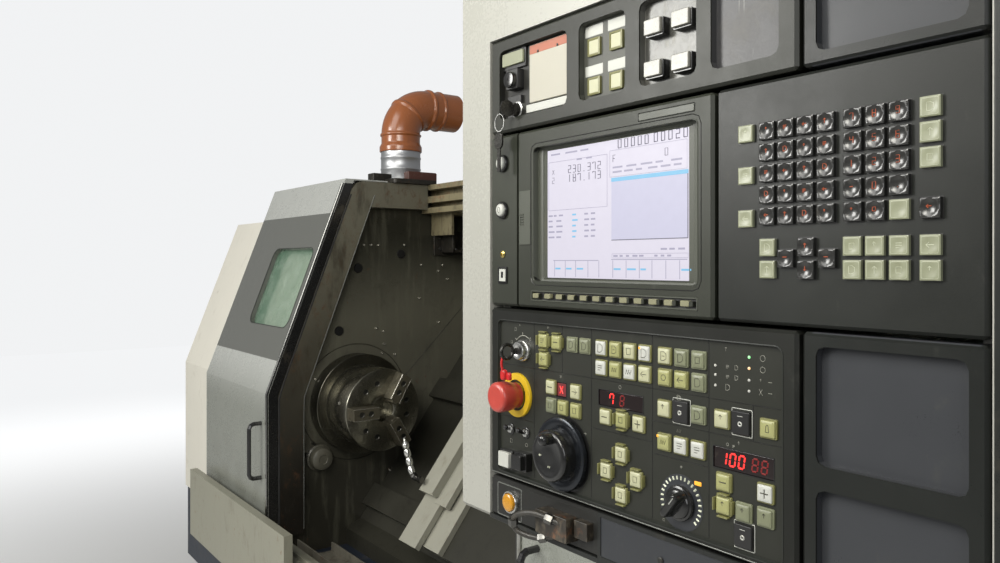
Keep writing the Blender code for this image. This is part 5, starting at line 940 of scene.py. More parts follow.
@dataclass
class Door:
    """One sliding door: its paint, edge strip, rubber edge, window line and handle."""

    side: str
    edge: float
    inward: int
    strip: float = 0.011
    seal: float = 0.0045
    proud: float = 0.006
    low: float = 0.612
    top: float = 1.903

    def band(self, near: float, far: float, out: float, depth: float) -> Mesh:
        """A strip that follows the door's front between two distances from its edge.

        The section is a rectangle with clipped corners, carried up the two straight stretches of the front.

        Args:
            near: the strip's near side, from the door's edge.
            far: its far side.
            out: how far it stands out of the door's front.
            depth: how far behind the front it ends.

        Returns:
            The closed mesh.
        """
        heights = np.array([self.low, BEND_Z - 0.012, BEND_Z, BEND_Z + 0.012, self.top])
        x = sorted((self.edge + self.inward * near, self.edge + self.inward * far))
        clip = min(x[1] - x[0], out + depth) * 0.28
        outline_x = [x[0], x[0], x[0] + clip, x[1] - clip, x[1], x[1]]
        levels = [depth, -out + clip, -out, -out, -out + clip, depth]
        points = np.stack([np.stack([np.full(len(heights), at), front_y(level, heights), heights], -1)
            for at, level in zip(outline_x, levels)], 1)
        return rings(points)

    def window_line(self) -> Mesh:
        """A thin dark seal round the window: a round bar along the window's rounded outline."""
        low, high = corner(f"{self.side}_window"), corner(f"{self.side}_window", True)
        middle = (low + high) / 2
        width = high[0] - low[0] - 0.024
        tall = 0.303 / math.cos(SLOPE)
        flat = rounded(width, tall, 0.04, 8)
        flat = np.concatenate([flat, flat[:1]])
        centre = np.array([middle[0], float(front_y(0.0, 1.5035)), 1.5035])
        across = np.array([1.0, 0.0, 0.0])
        up = np.array([0.0, math.sin(SLOPE), math.cos(SLOPE)])
        return swept(centre + flat[:, :1] * across + flat[:, 1:] * up, 0.0016, 6)

    def build(self) -> None:
        """Dress the door and add its small pieces."""
        body = f"{self.side}_door"
        dress(body, DoorPaint().build(f"{self.side}_door_paint"))
        dress(f"{self.side}_window", Pane((0.16, 0.3, 0.2), 0.3, 0.05,
            0.35).build(f"{self.side}_window_glass"))
        dress(f"{self.side}_handle", Grade.GLOSS_BLACK.made())
        strip = Grade.STRIP.part(f"{body}_strip",
            self.band(self.seal, self.seal + self.strip, self.proud, -0.0003), 35, body=body)
        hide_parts(f"{self.side}_edge_strip")
        seal = [self.band(0.0003, self.seal, self.proud * 0.9, -0.0003),
            self.band(-0.0004, 0.003, -0.001, 0.036)]
        Grade.SEAL.part(f"{body}_seal", joined(seal), 35, body=body)
        Grade.RUBBER.part(f"{body}_window_line", self.window_line(), 35, body=body)


@dataclass(frozen=True)
class JambPaint:
    """The jamb: olive-grey at the top, a painted shade that darkens it to near black at the bottom, with
    rust.
    """

    def build(self, name: str) -> bpy.types.Material:
        """Make the paint with its three tones up the height, a painted shade darker towards the bottom.

        Args:
            name: the material's name.

        Returns:
            The material.
        """
        tree = Tree(name)
        _, _, height = tree.axes(tree.place())
        # Painted shade: the colour darkens towards the bottom of the jamb.
        shade_height = height + (tree.noise(0.16, 4.0, 0.6) - 0.5) * 0.25
        lower = tree.blend(shade_height.span(0.7, 1.3), (0.013, 0.011, 0.008), (0.058, 0.053, 0.038))
        colour = tree.blend(shade_height.span(1.1, 1.75), lower, (0.15, 0.142, 0.105))
        smear = tree.noise(0.06, 5.0, 0.65, (1.0, 1.0, 0.35)).span(0.48, 0.72)
        colour = tree.blend(smear * 0.75, colour, (0.03, 0.022, 0.013))
        paint = Paint((0.1, 0.1, 0.08), 0.4, metallic=0.2, dirt=0.25, rust=0.75, specks=1.0,
            speck_size=0.012, vary=0.22, dirt_size=0.07, dirt_colour=(0.05, 0.042, 0.03),
            rust_colour=(0.1, 0.045, 0.018), scratches=0.15)
        return tree.finish(paint.layers(tree, colour))


@dataclass
class WorkRoom:
    """The walls of the work room with their screws, plugs, ledges and lamp."""

    screws: Pairs = mm(217, 1670, 67, 1668, 98, 1668, 89, 1336, 121, 1322, 125, 1270, 116, 1234, 173,
        1226, -171, 1154, 298, 1588, 401, 1587, 381, 1562, 426, 1528, 288, 1451, 381, 1347, 36, 1668,
        -217, 1185, 150, 760, 235, 800)
    plugs: Pairs = mm(203, 1633, 10, 1576, -71, 1332)
    groove: float = 0.2255

    def jamb_line(self, depth: float, x: float, steps: int = 24) -> np.ndarray:
        """Points up the sloping front at a depth behind the door's face."""
        heights = np.linspace(0.61, 1.862, steps)
        return np.stack([np.full(steps, x), front_y(depth, heights), heights], -1)

    def wall_paint(self) -> bpy.types.Material:
        """Oily brushed steel, olive-brown, with long soft runs and a paler field in the middle."""
        tree = Tree("wall_paint")
        _, _, height = tree.axes(tree.place())
        run = tree.noise(0.045, 5.0, 0.65, (1.0, 1.0, 0.14)).span(0.5, 0.66)
        low = tree.blend(height.span(0.75, 1.1), (0.04, 0.038, 0.028), (0.15, 0.145, 0.11))
        colour = tree.blend(height.span(1.35, 1.75), low, (0.034, 0.033, 0.024))
        colour = tree.blend(run * 0.22, colour, (0.24, 0.235, 0.175))
        paint = Paint((0.1, 0.1, 0.08), 0.3, metallic=0.35, dirt=0.25, rust=0.08, vary=0.12,
            dirt_size=0.18, dirt_colour=(0.02, 0.018, 0.013), scratches=0.0, grain=0.0022)
        return tree.finish(paint.layers(tree, colour))

    def build(self) -> None:
        """Dress the walls and add their small pieces."""
        wall = self.wall_paint()
        for node in ("splash_wall", "right_wall", "rear_wall"):
            dress(node, wall)
        dress("left_jamb", JambPaint().build("jamb_olive"))
        heads = [cap_screw(wall_point(y, z), (1, 0, 0), 0.0046, 0.0045) for y, z in self.screws]
        Grade.SCREW.part("wall_screws", joined(heads), 35)
        caps = [turned(mm(18.5, -2, 18.5, 2.5, 16.5, 5.8, 8, 6.4), wall_point(y, z), (1, 0, 0), 24)
            for y, z in self.plugs]
        Grade.BLACK.part("wall_plugs", joined(caps), 35)
        lip = swept(self.jamb_line(0.137, WALL_X + 0.05), 0.0018, 6)
        Grade.LIP.part("jamb_lip", lip, 35)
        edge = swept(self.jamb_line(0.042, WALL_X + 0.047), 0.0045, 8)
        Grade.RUBBER.part("jamb_seal", edge, 35)
        turn = np.linspace(0.0, 2 * math.pi, 97)
        groove = swept([wall_point(self.groove * math.cos(a), SPINDLE_Z + self.groove * math.sin(a),
            0.0006) for a in turn], 0.001, 4)
        ledge = [swept([wall_point(0.075, 0.56, 0.006), wall_point(0.34, 0.79, 0.006),
            wall_point(0.6, 1.02, 0.006)], 0.006, 4)]
        ledge += [swept([wall_point(0.2, 1.115, 0.0006), wall_point(0.62, 1.52, 0.0006)], 0.0009, 4)]
        Grade.GROOVE.part("wall_groove", joined([groove] + ledge), 60)
        self.lamp()

    def lamp(self) -> None:
        """The round lamp: a domed head with a slotted ring and its clamp screws."""
        dress("work_light", Grade.LAMP.made())
        base = wall_point(-0.158, 0.855)
        head = turned(mm(50, -1, 50, 14, 44, 18, 44, 34, 40, 46, 28, 52, 18, 53, 16, 50), base, (1, 0, 0),
            48)
        Grade.LAMP.part("lamp_head", head, 35)
        screw = cap_screw(wall_point(-0.205, 0.872, 0.006), (1, 0, 0), 0.008, 0.01)
        Grade.DARK_STEEL.part("lamp_screws",
            joined([screw, cap_screw(wall_point(-0.18, 0.912, 0.004), (1, 0, 0), 0.006, 0.014)]), 35)


@dataclass
class Covers:
    """The outer covers, base, sill, pan, roof, cabinet, duct and arm."""

    cream: Tuple[str, ...] = ("left_cover", "right_cover", "electrical_cabinet", "cabinet_door",
        "console_arm")
    elbow_bend: float = 0.115
    elbow_radius: float = 0.08
    elbow_joint: float = 0.0885

    def duct(self) -> None:
        """The orange elbow with its socket rings, over a galvanised collar with two ribs and its foot."""
        low, high = corner("duct_elbow"), corner("duct_elbow", True)
        x = float((low[0] + high[0]) / 2)
        y = float(low[1]) + 0.088
        bend, radius, joint = self.elbow_bend, self.elbow_radius, self.elbow_joint
        start = float(low[2])
        rise = float(high[2]) - bend - joint
        turn = np.linspace(0.0, math.pi / 2, 25)[1:]
        run = float(high[1]) - y - bend
        climb = [(y, start + share * (rise - start))
            for share in (0.0, 0.15, 0.3, 0.45, 0.6, 0.75, 0.999)]
        around = [(y + bend * (1 - math.cos(a)), rise + bend * math.sin(a)) for a in turn]
        away = [(y + bend + run * share, rise + bend)
            for share in (0.08, 0.16, 0.24, 0.32, 0.4, 0.55, 0.7, 0.85, 1.0)]
        path = np.array(climb + around + away)
        steps = np.concatenate([[0.0], np.cumsum(np.hypot(*np.diff(path, axis=0).T))])
        fine = np.linspace(0.0, steps[-1], 220)
        line_y, line_z = np.interp(fine, steps, path[:, 0]), np.interp(fine, steps, path[:, 1])
        reach = np.full(220, radius)
        bend_start = steps[len(climb) - 1]
        bend_mid, bend_end = bend_start + bend * math.pi / 4, bend_start + bend * math.pi / 2
        for place, width, rise_by in ((0.012, 0.024, 0.0075), (bend_start - 0.004, 0.007, 0.005),
                (bend_mid, 0.008, 0.005), (bend_end + 0.01, 0.01, 0.007),
                (bend_end + 0.06, 0.008, 0.005)):
            reach = np.maximum(reach, radius + rise_by
                * np.clip(1.6 - np.abs(fine - place) / width * 1.6, 0.0, 1.0))
        points = np.stack([np.full(220, x), line_y, line_z], -1)
        elbow = Grade.DUCT.part("duct_bend", swept(points, reach, 64), 60)
        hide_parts("duct_elbow")
        foot = corner("duct_collar")
        middle = (x, y, float(foot[2]))
        tall = start - float(foot[2])
        profile = [(0.092, 0.0), (0.092, 0.006), (0.0815, 0.008), (0.0815, tall * 0.45),
            (0.0835, tall * 0.47), (0.0835, tall * 0.5), (0.0815, tall * 0.52), (0.0815, tall * 0.78),
            (0.0835, tall * 0.8), (0.0835, tall * 0.84), (0.0815, tall * 0.86), (0.0815, tall - 0.0005)]
        collar = Grade.GALVANISED.part("duct_sleeve", turned(profile, middle, (0, 0, 1), 64))
        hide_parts("duct_collar")
        axes = ((1.0, 0.0, 0.0), (0.0, 1.0, 0.0), (0.0, 0.0, 1.0))
        block = slab((x + 0.02, y - 0.105, float(foot[2]) + 0.001), 0.05, 0.09, mm(0, 0, 40, 0, 42, 2),
            0.003, axes)
        Grade.DARK_BLOCK.part("duct_dark_block",
            joined([block, slab((x + 0.03, y, float(foot[2]) + 0.001), 0.2, 0.2, mm(0, 0, 16, 0, 18, 2),
            0.012, axes)]))
        clamp = slab((x + 0.075, y + 0.04, float(foot[2]) + 0.018), 0.075, 0.135, mm(0, 0, 30, 0, 34, 3),
            0.004, axes)
        Grade.RED_OXIDE.part("duct_clamp", clamp)

    def bracket(self) -> None:
        """The dark bracket with its bolts under the rails, at the left end."""
        axes = ((1.0, 0.0, 0.0), (0.0, 1.0, 0.0), (0.0, 0.0, 1.0))
        arm = [slab((WALL_X + 0.06, 0.3, 1.64), 0.1, 0.012, [(0.0, 0.0), (0.095, 0.0)], 0.002, axes),
            slab((WALL_X + 0.06, 0.36, 1.64), 0.1, 0.13, [(0.0, 0.0), (0.01, 0.0)], 0.002, axes),
            slab((WALL_X + 0.014, 0.345, 1.628), 0.012, 0.17, [(0.0, 0.0), (0.1, 0.0)], 0.002, axes)]
        bolts = [hex_bolt((WALL_X + 0.0205, y, z), (1, 0, 0), 0.007, 0.006)
            for y, z in mm(290, 1655, 290, 1700, 400, 1655)]
        bolts += [hex_bolt((WALL_X + 0.075, y, 1.651), (0, 0, 1), 0.007, 0.006) for y in (0.33, 0.385)]
        Grade.DARK_BLOCK.part("rail_bracket", joined(arm))
        Grade.DARK_STEEL.part("rail_bracket_bolts", joined(bolts))

    def outside(self) -> None:
        """The latch plate and the row of vents of the cabinet's door, on the machine's rear side."""
        low, high = corner("cabinet_door"), corner("cabinet_door", True)
        back = float(high[1])
        handle_axes = ((1.0, 0.0, 0.0), (0.0, 0.0, 1.0), (0.0, 1.0, 0.0))
        plate = slab((float(low[0]) + 0.07, back - 0.0006, 1.05), 0.045, 0.15,
            [(0.0, 0.0), (0.0005, 0.0)], 0.006, handle_axes)
        Grade.BLACK.part("cabinet_latch", plate, body="cabinet_door")
        vents = [swept([(x, back - 0.0003, 0.3), (x, back - 0.0003, 0.42)], 0.0003, 4)
            for x in np.arange(-0.62, -0.3, 0.025)]
        Grade.BLACK.part("cabinet_vents", joined(vents), 60, body="cabinet_door")

    def build(self) -> None:
        """Dress the covers and add the roof's and the duct's small pieces."""
        for node in self.cream:
            dress(node, Grade.CREAM.made())
        for node, grade in (("base_casting", Grade.BASE), ("front_sill", Grade.SILL),
                ("chip_pan", Grade.PAN), ("roof_beam", Grade.RAIL)):
            dress(node, grade.made())
        self.duct()
        self.bracket()
        self.outside()


@dataclass
class Drive:
    """The headstock, spindle, chuck, jaws, motor and belt."""

    centre: Point = (0.0, SPINDLE_Y, SPINDLE_Z)
    face_x: float = -0.63
    back_x: float = -0.7914
    screw_circle: float = 0.101

    def on_face(self, radius: float, angle: float, x: float) -> Point:
        """A point in front of the chuck, from its distance and angle in degrees about the spindle line."""
        turn = math.radians(angle)
        return (x, SPINDLE_Y + radius * math.cos(turn), SPINDLE_Z + radius * math.sin(turn))

    def holes(self, places: Sequence[Point], radius: float) -> Tuple[Mesh, Mesh]:
        """Counterbored screws as painted shade and glint: a near-black disc for the shade in each hole, and
        a bright part-ring for the glint on its rim.
        """
        # Near-black discs paint the shade in the holes.
        hole_shades = [turned([(radius * 1.04, -0.0005), (radius * 1.04, 0.0006), (radius * 0.97, 0.0007),
            (radius * 0.9, 0.0005)], place, (1, 0, 0), 24) for place in places]
        # Bright part-rings paint the glint on the holes' rims.
        heads = []
        for x, y, z in places:
            heads.append(swept([(x + 0.0009, y + radius * 0.74 * math.cos(a),
                z + radius * 0.74 * math.sin(a)) for a in np.linspace(-2.2, 0.1, 10)], 0.001, 6))
        return joined(hole_shades), joined(heads)

    def chuck(self) -> None:
        """The smooth body with its rings, screws and bore, and the three jaws with theirs; the screws are
        drawn as painted shade in their holes and painted glints on their rims.
        """
        steel = Turned((0.3, 0.288, 0.236), 0.28, self.centre, 0.0012, (0.05, 0.043, 0.03),
            0.1).build("chuck_steel_turned")
        profile = mm(150, 0, 151.5, 1, 152, 3, 152, 157.5, 150.8, 160, 148.8, 161, 60, 161.2, 52, 160, 44,
            156, 44, 120)
        body = piece("chuck_shell", turned(profile, (self.back_x, SPINDLE_Y, SPINDLE_Z), (1, 0, 0), 128),
            "spindle", steel, 30)
        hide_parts("chuck_body")
        places = [self.on_face(self.screw_circle, centre + side * 15.5, self.face_x + 0.0004)
            for centre in (0.0, 120.0, 240.0) for side in (-1, 1)]
        hole_shades, heads = self.holes(places, 0.0102)
        # Near-black discs paint the shade in the chuck's screw holes.
        Grade.OIL_BLACK.part("chuck_face_cups", hole_shades, body="spindle")
        # Bright part-rings: painted glints on the screw holes' rims.
        Grade.SCREW.part("chuck_face_screws", heads, body="spindle", slot="chuck_steel")
        rim = [turned(mm(6.5, -4, 6.5, 0.4, 4, 0.6, 3.4, -0.5), self.on_face(0.152, angle, -0.69),
            (0.0, math.cos(math.radians(angle)), math.sin(math.radians(angle))), 16)
            for angle in (168.0, 48.0, 288.0)]
        Grade.SCREW.part("chuck_side_plugs", joined(rim), body="spindle")
        copper = turned(mm(43.8, 0, 43.8, 4, 20, 6, 10, 1), (self.face_x - 0.075, SPINDLE_Y, SPINDLE_Z),
            (1, 0, 0), 40)
        Grade.COPPER.part("chuck_bore_ring", copper, body="spindle")
        for number, angle in ((1, 60.0), (2, 180.0), (3, 300.0)):
            self.jaw(number, angle)

    def jaw(self, number: int, angle: float) -> None:
        """One jaw: a worn block with a stepped heel, two deep screw bores drawn as painted shade and glint,
        and a narrowed tip.

        Args:
            number: the jaw's number.
            angle: its angle in degrees about the spindle line.
        """
        turn = math.radians(angle)
        along = (0.0, math.cos(turn), math.sin(turn))
        side = (0.0, -math.sin(turn), math.cos(turn))
        axes = (along, side, (1.0, 0.0, 0.0))
        block = slab(self.on_face(0.0925, angle, self.face_x), 0.105, 0.043, mm(-10, 0, 50, 0, 51.8, 1.6),
            0.0022, axes)
        heel = slab(self.on_face(0.132, angle, self.face_x), 0.027, 0.0436, mm(-10, 0, 27, 0, 28.5, 1.2),
            0.0015, axes)
        edges = [swept(ends, 0.0007, 6) for ends in self.jaw_edges(angle)]
        tip = slab(self.on_face(0.0385, angle, self.face_x), 0.012, 0.024, mm(0.5, 0, 49, 0, 50.5, 1.2),
            0.004, axes)
        made = Grade.JAW.part(f"jaw_{number}_block", joined([block, heel, tip]), 30, body=f"jaw_{number}")
        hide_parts(f"jaw_{number}")
        hole_shades, heads = self.holes([self.on_face(radius, angle, self.face_x + 0.0514)
            for radius in (0.076, 0.112)], 0.0104)
        # Near-black discs paint the shade in the jaw's screw bores.
        Grade.OIL_BLACK.part(f"jaw_{number}_cups", hole_shades, body=f"jaw_{number}")
        Grade.SCREW.part(f"jaw_{number}_glints", joined([heads] + edges), 60, body=f"jaw_{number}")

    def jaw_edges(self, angle: float) -> List[List[Point]]:
        """The two worn bright edges along a jaw's outer face."""
        turn = math.radians(angle)
        edges = []
        for side in (-0.0205, 0.0205):
            shift_y, shift_z = -math.sin(turn) * side, math.cos(turn) * side
            ends = [self.on_face(radius, angle, self.face_x + 0.0516) for radius in (0.042, 0.143)]
            edges.append([(x, y + shift_y, z + shift_z) for x, y, z in ends])
        return edges

    def cap(self) -> None:
        """The nose cap round the spindle: a deep ring with a rounded edge and a row of small screws."""
        cast = Turned((0.135, 0.129, 0.104), 0.3, self.centre, 0.0016, (0.03, 0.026, 0.018),
            0.12).build("nose_cap_iron")
        dress("headstock_casting", Grade.CAST.made())
        profile = mm(190.5, -66, 190.5, -2, 189.5, -0.6, 186, 0, 154, 0, 153.5, -1)
        ring = turned(profile, (-0.7916, SPINDLE_Y, SPINDLE_Z), (1, 0, 0), 128)
        piece("nose_cap", ring, "frame", cast, 30)
        screws = [cap_screw(self.on_face(0.1905, angle, -0.838),
            (0, math.cos(math.radians(angle)), math.sin(math.radians(angle))), 0.003, 0.0015)
            for angle in np.arange(60.0, 200.0, 12.0)]
        Grade.DARK_STEEL.part("nose_cap_screws", joined(screws))

    def build(self) -> None:
        """Dress the drive and add the chuck's screws, drawn as painted shade and glint."""
        self.cap()
        self.chuck()
        dress("spindle", Grade.GROUND.made())
        dress("spindle_motor", Grade.CAST.made())
        dress("motor_pulley", Grade.GROUND.made())
        dress("drive_belt", Grade.RUBBER.made())


@dataclass
class Slides:
    """The bed, carriage, turret, tailstock and their covers."""

    def nozzle(self) -> None:
        """The coolant nozzle: a fitting, an elbow, beads that flare and narrow, and a fine tip."""
        path = np.array([(-0.32, -0.11, 0.8623), (-0.356, -0.11, 0.86), (-0.378, -0.11, 0.87),
            (-0.389, -0.111, 0.886), (-0.396, -0.1135, 0.91), (-0.402, -0.1165, 0.933),
            (-0.408, -0.12, 0.96), (-0.413, -0.1235, 0.982), (-0.415, -0.1247, 0.9906)])
        fine = curve_through(path, 12)
        steps = np.concatenate([[0.0], np.cumsum(np.linalg.norm(np.diff(fine, axis=0), axis=1))])
        total = steps[-1]
        sample = np.linspace(0.0, total, 160)
        points = np.stack([np.interp(sample, steps, fine[:, axis]) for axis in range(3)], -1)
        share = sample / total
        beads = 0.0088 + 0.0042 * np.abs(np.sin(share * math.pi * 6.3)) ** 0.6
        taper = np.clip((1.0 - share) / 0.12, 0.25, 1.0)
        reach = np.where(share < 0.3, 0.0096, beads) * taper
        split = int(160 * 0.3)
        elbow = swept(points[:split + 1], reach[:split + 1], 20)
        collar = [turned(mm(12.5, -6, 12.5, 6, 11, 8), points[index], points[index + 1] - points[index],
            6) for index in (8, 44)]
        tube = Grade.SILVER.part("nozzle_beads", swept(points[split:], reach[split:], 20), 50,
            body="carriage")
        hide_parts("coolant_nozzle")
        Grade.DARK_STEEL.part("nozzle_elbow", joined([elbow] + collar), body="carriage", slot="cast_iron")
        band = turned([(0.0118, -0.0022), (0.0118, 0.0022)], points[92], points[93] - points[92], 24)
        Grade.RUBBER.part("nozzle_band", band, body="carriage")

    def build(self) -> None:
        """Dress the slides."""
        for node in ("slant_bed", "carriage", "cross_slide", "tailstock"):
            dress(node, Grade.CAST.made())
        dress("way_covers", Grade.WAY.made())
        for node in ("turret_disc", "quill"):
            dress(node, Grade.GROUND.made())
        dress("live_centre", Grade.BRIGHT.made())
        self.nozzle()


# Console

PANEL_X = 1.179
PANEL_Y = -0.897
WIDTH = 0.613
COLUMN = 0.7488 * WIDTH
DISPLAY = 0.6003 * WIDTH
ROWS = (1.268, 1.322, 1.542, 1.765, 1.89)
SHEET = 0.004
RECESS = 0.009
OUT = (0.0, -1.0, 0.0)


def face(u: float, z: float, proud: float = 0.0) -> np.ndarray:
    """A point on the console's face, across from its left edge in metres and at a height."""
    return np.array([PANEL_X + u, PANEL_Y - proud, z])


def share_place(across: Tuple[float, float], heights: Tuple[float, float],
        share: Tuple[float, float]) -> Tuple[float, float]:
    """A place in a module from shares of its width and height."""
    return across[0] + share[0] * (across[1] - across[0]), heights[0] + share[1] * (heights[1]
        - heights[0])


def boss(u: float, z: float, width: float, height: float, low: float, high: float, radius: float = 0.0008,
        edge: float = 0.0004, taper: float = 0.0) -> Mesh:
    """A block on the console's face with a fine bevelled edge.

    Args:
        u: its middle across.
        z: its middle's height.
        width: its width.
        height: its height up the face.
        low: where it starts, counted outwards from the panel's plane.
        high: where it ends.
        radius: its corner radius.
        edge: the bevel.
        taper: how much each side leans in.

    Returns:
        The closed mesh.
    """
    levels = [(low, 0.0), (high - edge, taper), (high, taper + edge)]
    return slab(face(u, z), width, height, levels, radius, steps=3)


def stretch_box(u0: float, u1: float, z0: float, z1: float, low: float, high: float,
        radius: float = 0.0008) -> Mesh:
    """A block between two places across and two heights."""
    return boss((u0 + u1) / 2, (z0 + z1) / 2, u1 - u0, z1 - z0, low, high, radius)


def disc(u: float, z: float, profile: Pairs, sides: int = 40) -> Mesh:
    """A turned shape that stands out of the console's face."""
    return turned(profile, face(u, z), OUT, sides)


def line(points: Pairs, width: float, proud: float) -> Mesh:
    """A thin bar through places on the console's face."""
    return swept([face(u, z, proud) for u, z in points], width / 2, 4)


def outline(u: float, z: float, width: float, height: float, thick: float, proud: float,
        radius: float = 0.001) -> Mesh:
    """A thin bar round a rectangle with rounded corners."""
    flat = rounded(width, height, radius, 2)
    flat = np.concatenate([flat, flat[:1]])
    return swept(face(u, z, proud) + np.insert(flat, 1, 0.0, axis=1), thick / 2, 4)


def hoop(u0: float, u1: float, z0: float, z1: float, steps: Pairs, radius: float,
        inner: Optional[Tuple[float, float, float, float]] = None) -> Mesh:
    """A frame round an opening, as a closed section carried round a rounded rectangle.

    Args:
        u0: the left side.
        u1: the right side.
        z0: the lower side.
        z1: the upper side.
        steps: the section's points, each an inset and a rise; with an inner rectangle the inset is a share.
        radius: the corner radius outside.
        inner: the rectangle that a share of 1 reaches.

    Returns:
        The closed mesh.
    """
    outer = np.array([u0, u1, z0, z1])
    loops = []
    for inset, rise in steps:
        sides = (outer + inset * (np.array(inner) - outer) if inner
            else outer + inset * np.array([1, -1, 1, -1]))
        bend = max(radius * (1.0 - inset) if inner else radius - inset, 0.0006)
        flat = rounded(sides[1] - sides[0], sides[3] - sides[2], bend, 4)
        loops.append(face((sides[0] + sides[1]) / 2, (sides[2] + sides[3]) / 2, rise)
            + np.insert(flat, 1, 0.0, axis=1))
    return rings(np.stack(loops + loops[:1]), False, False)


def arc_ticks(u: float, z: float, radius: float, first: float, last: float, count: int, length: float,
        width: float, proud: float) -> List[Mesh]:
    """Short bars on a circle, from one angle in degrees to another, counted from the right."""
    shapes = []
    for angle in np.radians(np.linspace(first, last, count)):
        along = np.array([math.cos(angle), math.sin(angle)])
        near, far = along * (radius - length / 2), along * (radius + length / 2)
        shapes.append(line([(u + near[0], z + near[1]), (u + far[0], z + far[1])], width, proud))
    return shapes


def dished(size: float, low: float, high: float, bowl: float, depth: float, count: int = 15) -> Mesh:
    """A square cap with a round bowl in its top.

    The top is a height field: its rise less depth (1 - (r / bowl)^2) inside the bowl, and less a fine
    round edge. A skirt drops from its border to the foot, and a fan closes the foot.

    Args:
        size: its side.
        low: the foot's rise.
        high: the top's rise.
        bowl: the bowl's radius.
        depth: the bowl's depth.
        count: the points along a side of the top.

    Returns:
        The closed mesh about zero.
    """
    spread = np.linspace(-1.0, 1.0, count)
    spread = np.sign(spread) * (1.0 - (1.0 - np.abs(spread)) ** 1.25)
    side, over = np.meshgrid(spread * size / 2, spread * size / 2, indexing="ij")
    reach = np.hypot(side, over)
    border = np.maximum(np.abs(side), np.abs(over)) / (size / 2)
    rise = (high - depth * np.clip(1.0 - (reach / bowl) ** 2, 0.0, 1.0)
        - 0.0005 * np.clip((border - 0.93) / 0.07, 0.0, 1.0) ** 2)
    top = np.stack([side, -rise, over], -1).reshape(-1, 3)
    index = np.arange(count * count).reshape(count, count)
    loop = np.concatenate([index[:-1, 0], index[-1, :-1], index[:0:-1, -1], index[0, :0:-1]])
    foot = top[loop] * np.array([1.0, 0.0, 1.0]) * 1.02 + np.array([0.0, -low, 0.0])
    following = np.roll(np.arange(len(loop)), -1)
    start = len(top)
    skirt = np.stack([loop, start + np.arange(len(loop)), start + following, loop[following]], -1)
    middle = np.full(len(loop), start + len(loop))
    fan = np.stack([start + following, start + np.arange(len(loop)), middle, middle], -1)
    cap = np.stack([index[:-1, :-1], index[1:, :-1], index[1:, 1:], index[:-1, 1:]], -1).reshape(-1, 4)
    vertices = np.concatenate([top, foot, [[0.0, -low, 0.0]]])
    return vertices, np.concatenate([cap, skirt, fan])


@dataclass(frozen=True)
class PanelPaint:
    """The dark grain of a console module, with flat fields of other shades on it."""

    fields: Tuple[Tuple[float, float, float, float, Colour], ...] = ()
    colour: Colour = (0.024, 0.026, 0.021)
    roughness: float = 0.34

    def build(self, name: str) -> bpy.types.Material:
        """Make the paint; each field is four places on the face and a colour.

        Args:
            name: the material's name.

        Returns:
            The material.
        """
        tree = Tree(name)
        across, depth, height = tree.axes(tree.place(centre=(PANEL_X, PANEL_Y, 0.0)))
        haze = tree.noise(0.22, 3.0, 0.5)
        colour = tree.blend(haze.span(0.35, 0.7), self.colour, tuple(part * 1.35 for part in self.colour))
        for u0, u1, z0, z1, shade in self.fields:
            inside = (across > u0) * (across < u1) * (height > z0) * (height < z1)
            colour = tree.blend(inside * (depth > 0.002), colour, shade)
        paint = Paint(self.colour, self.roughness, dirt=0.1, vary=0.07, grain=0.0011, grain_depth=0.00005,
            dirt_colour=(0.06, 0.06, 0.05), scratches=0.0, dirt_size=0.05, gloss=0.24)
        return tree.finish(paint.layers(tree, colour))


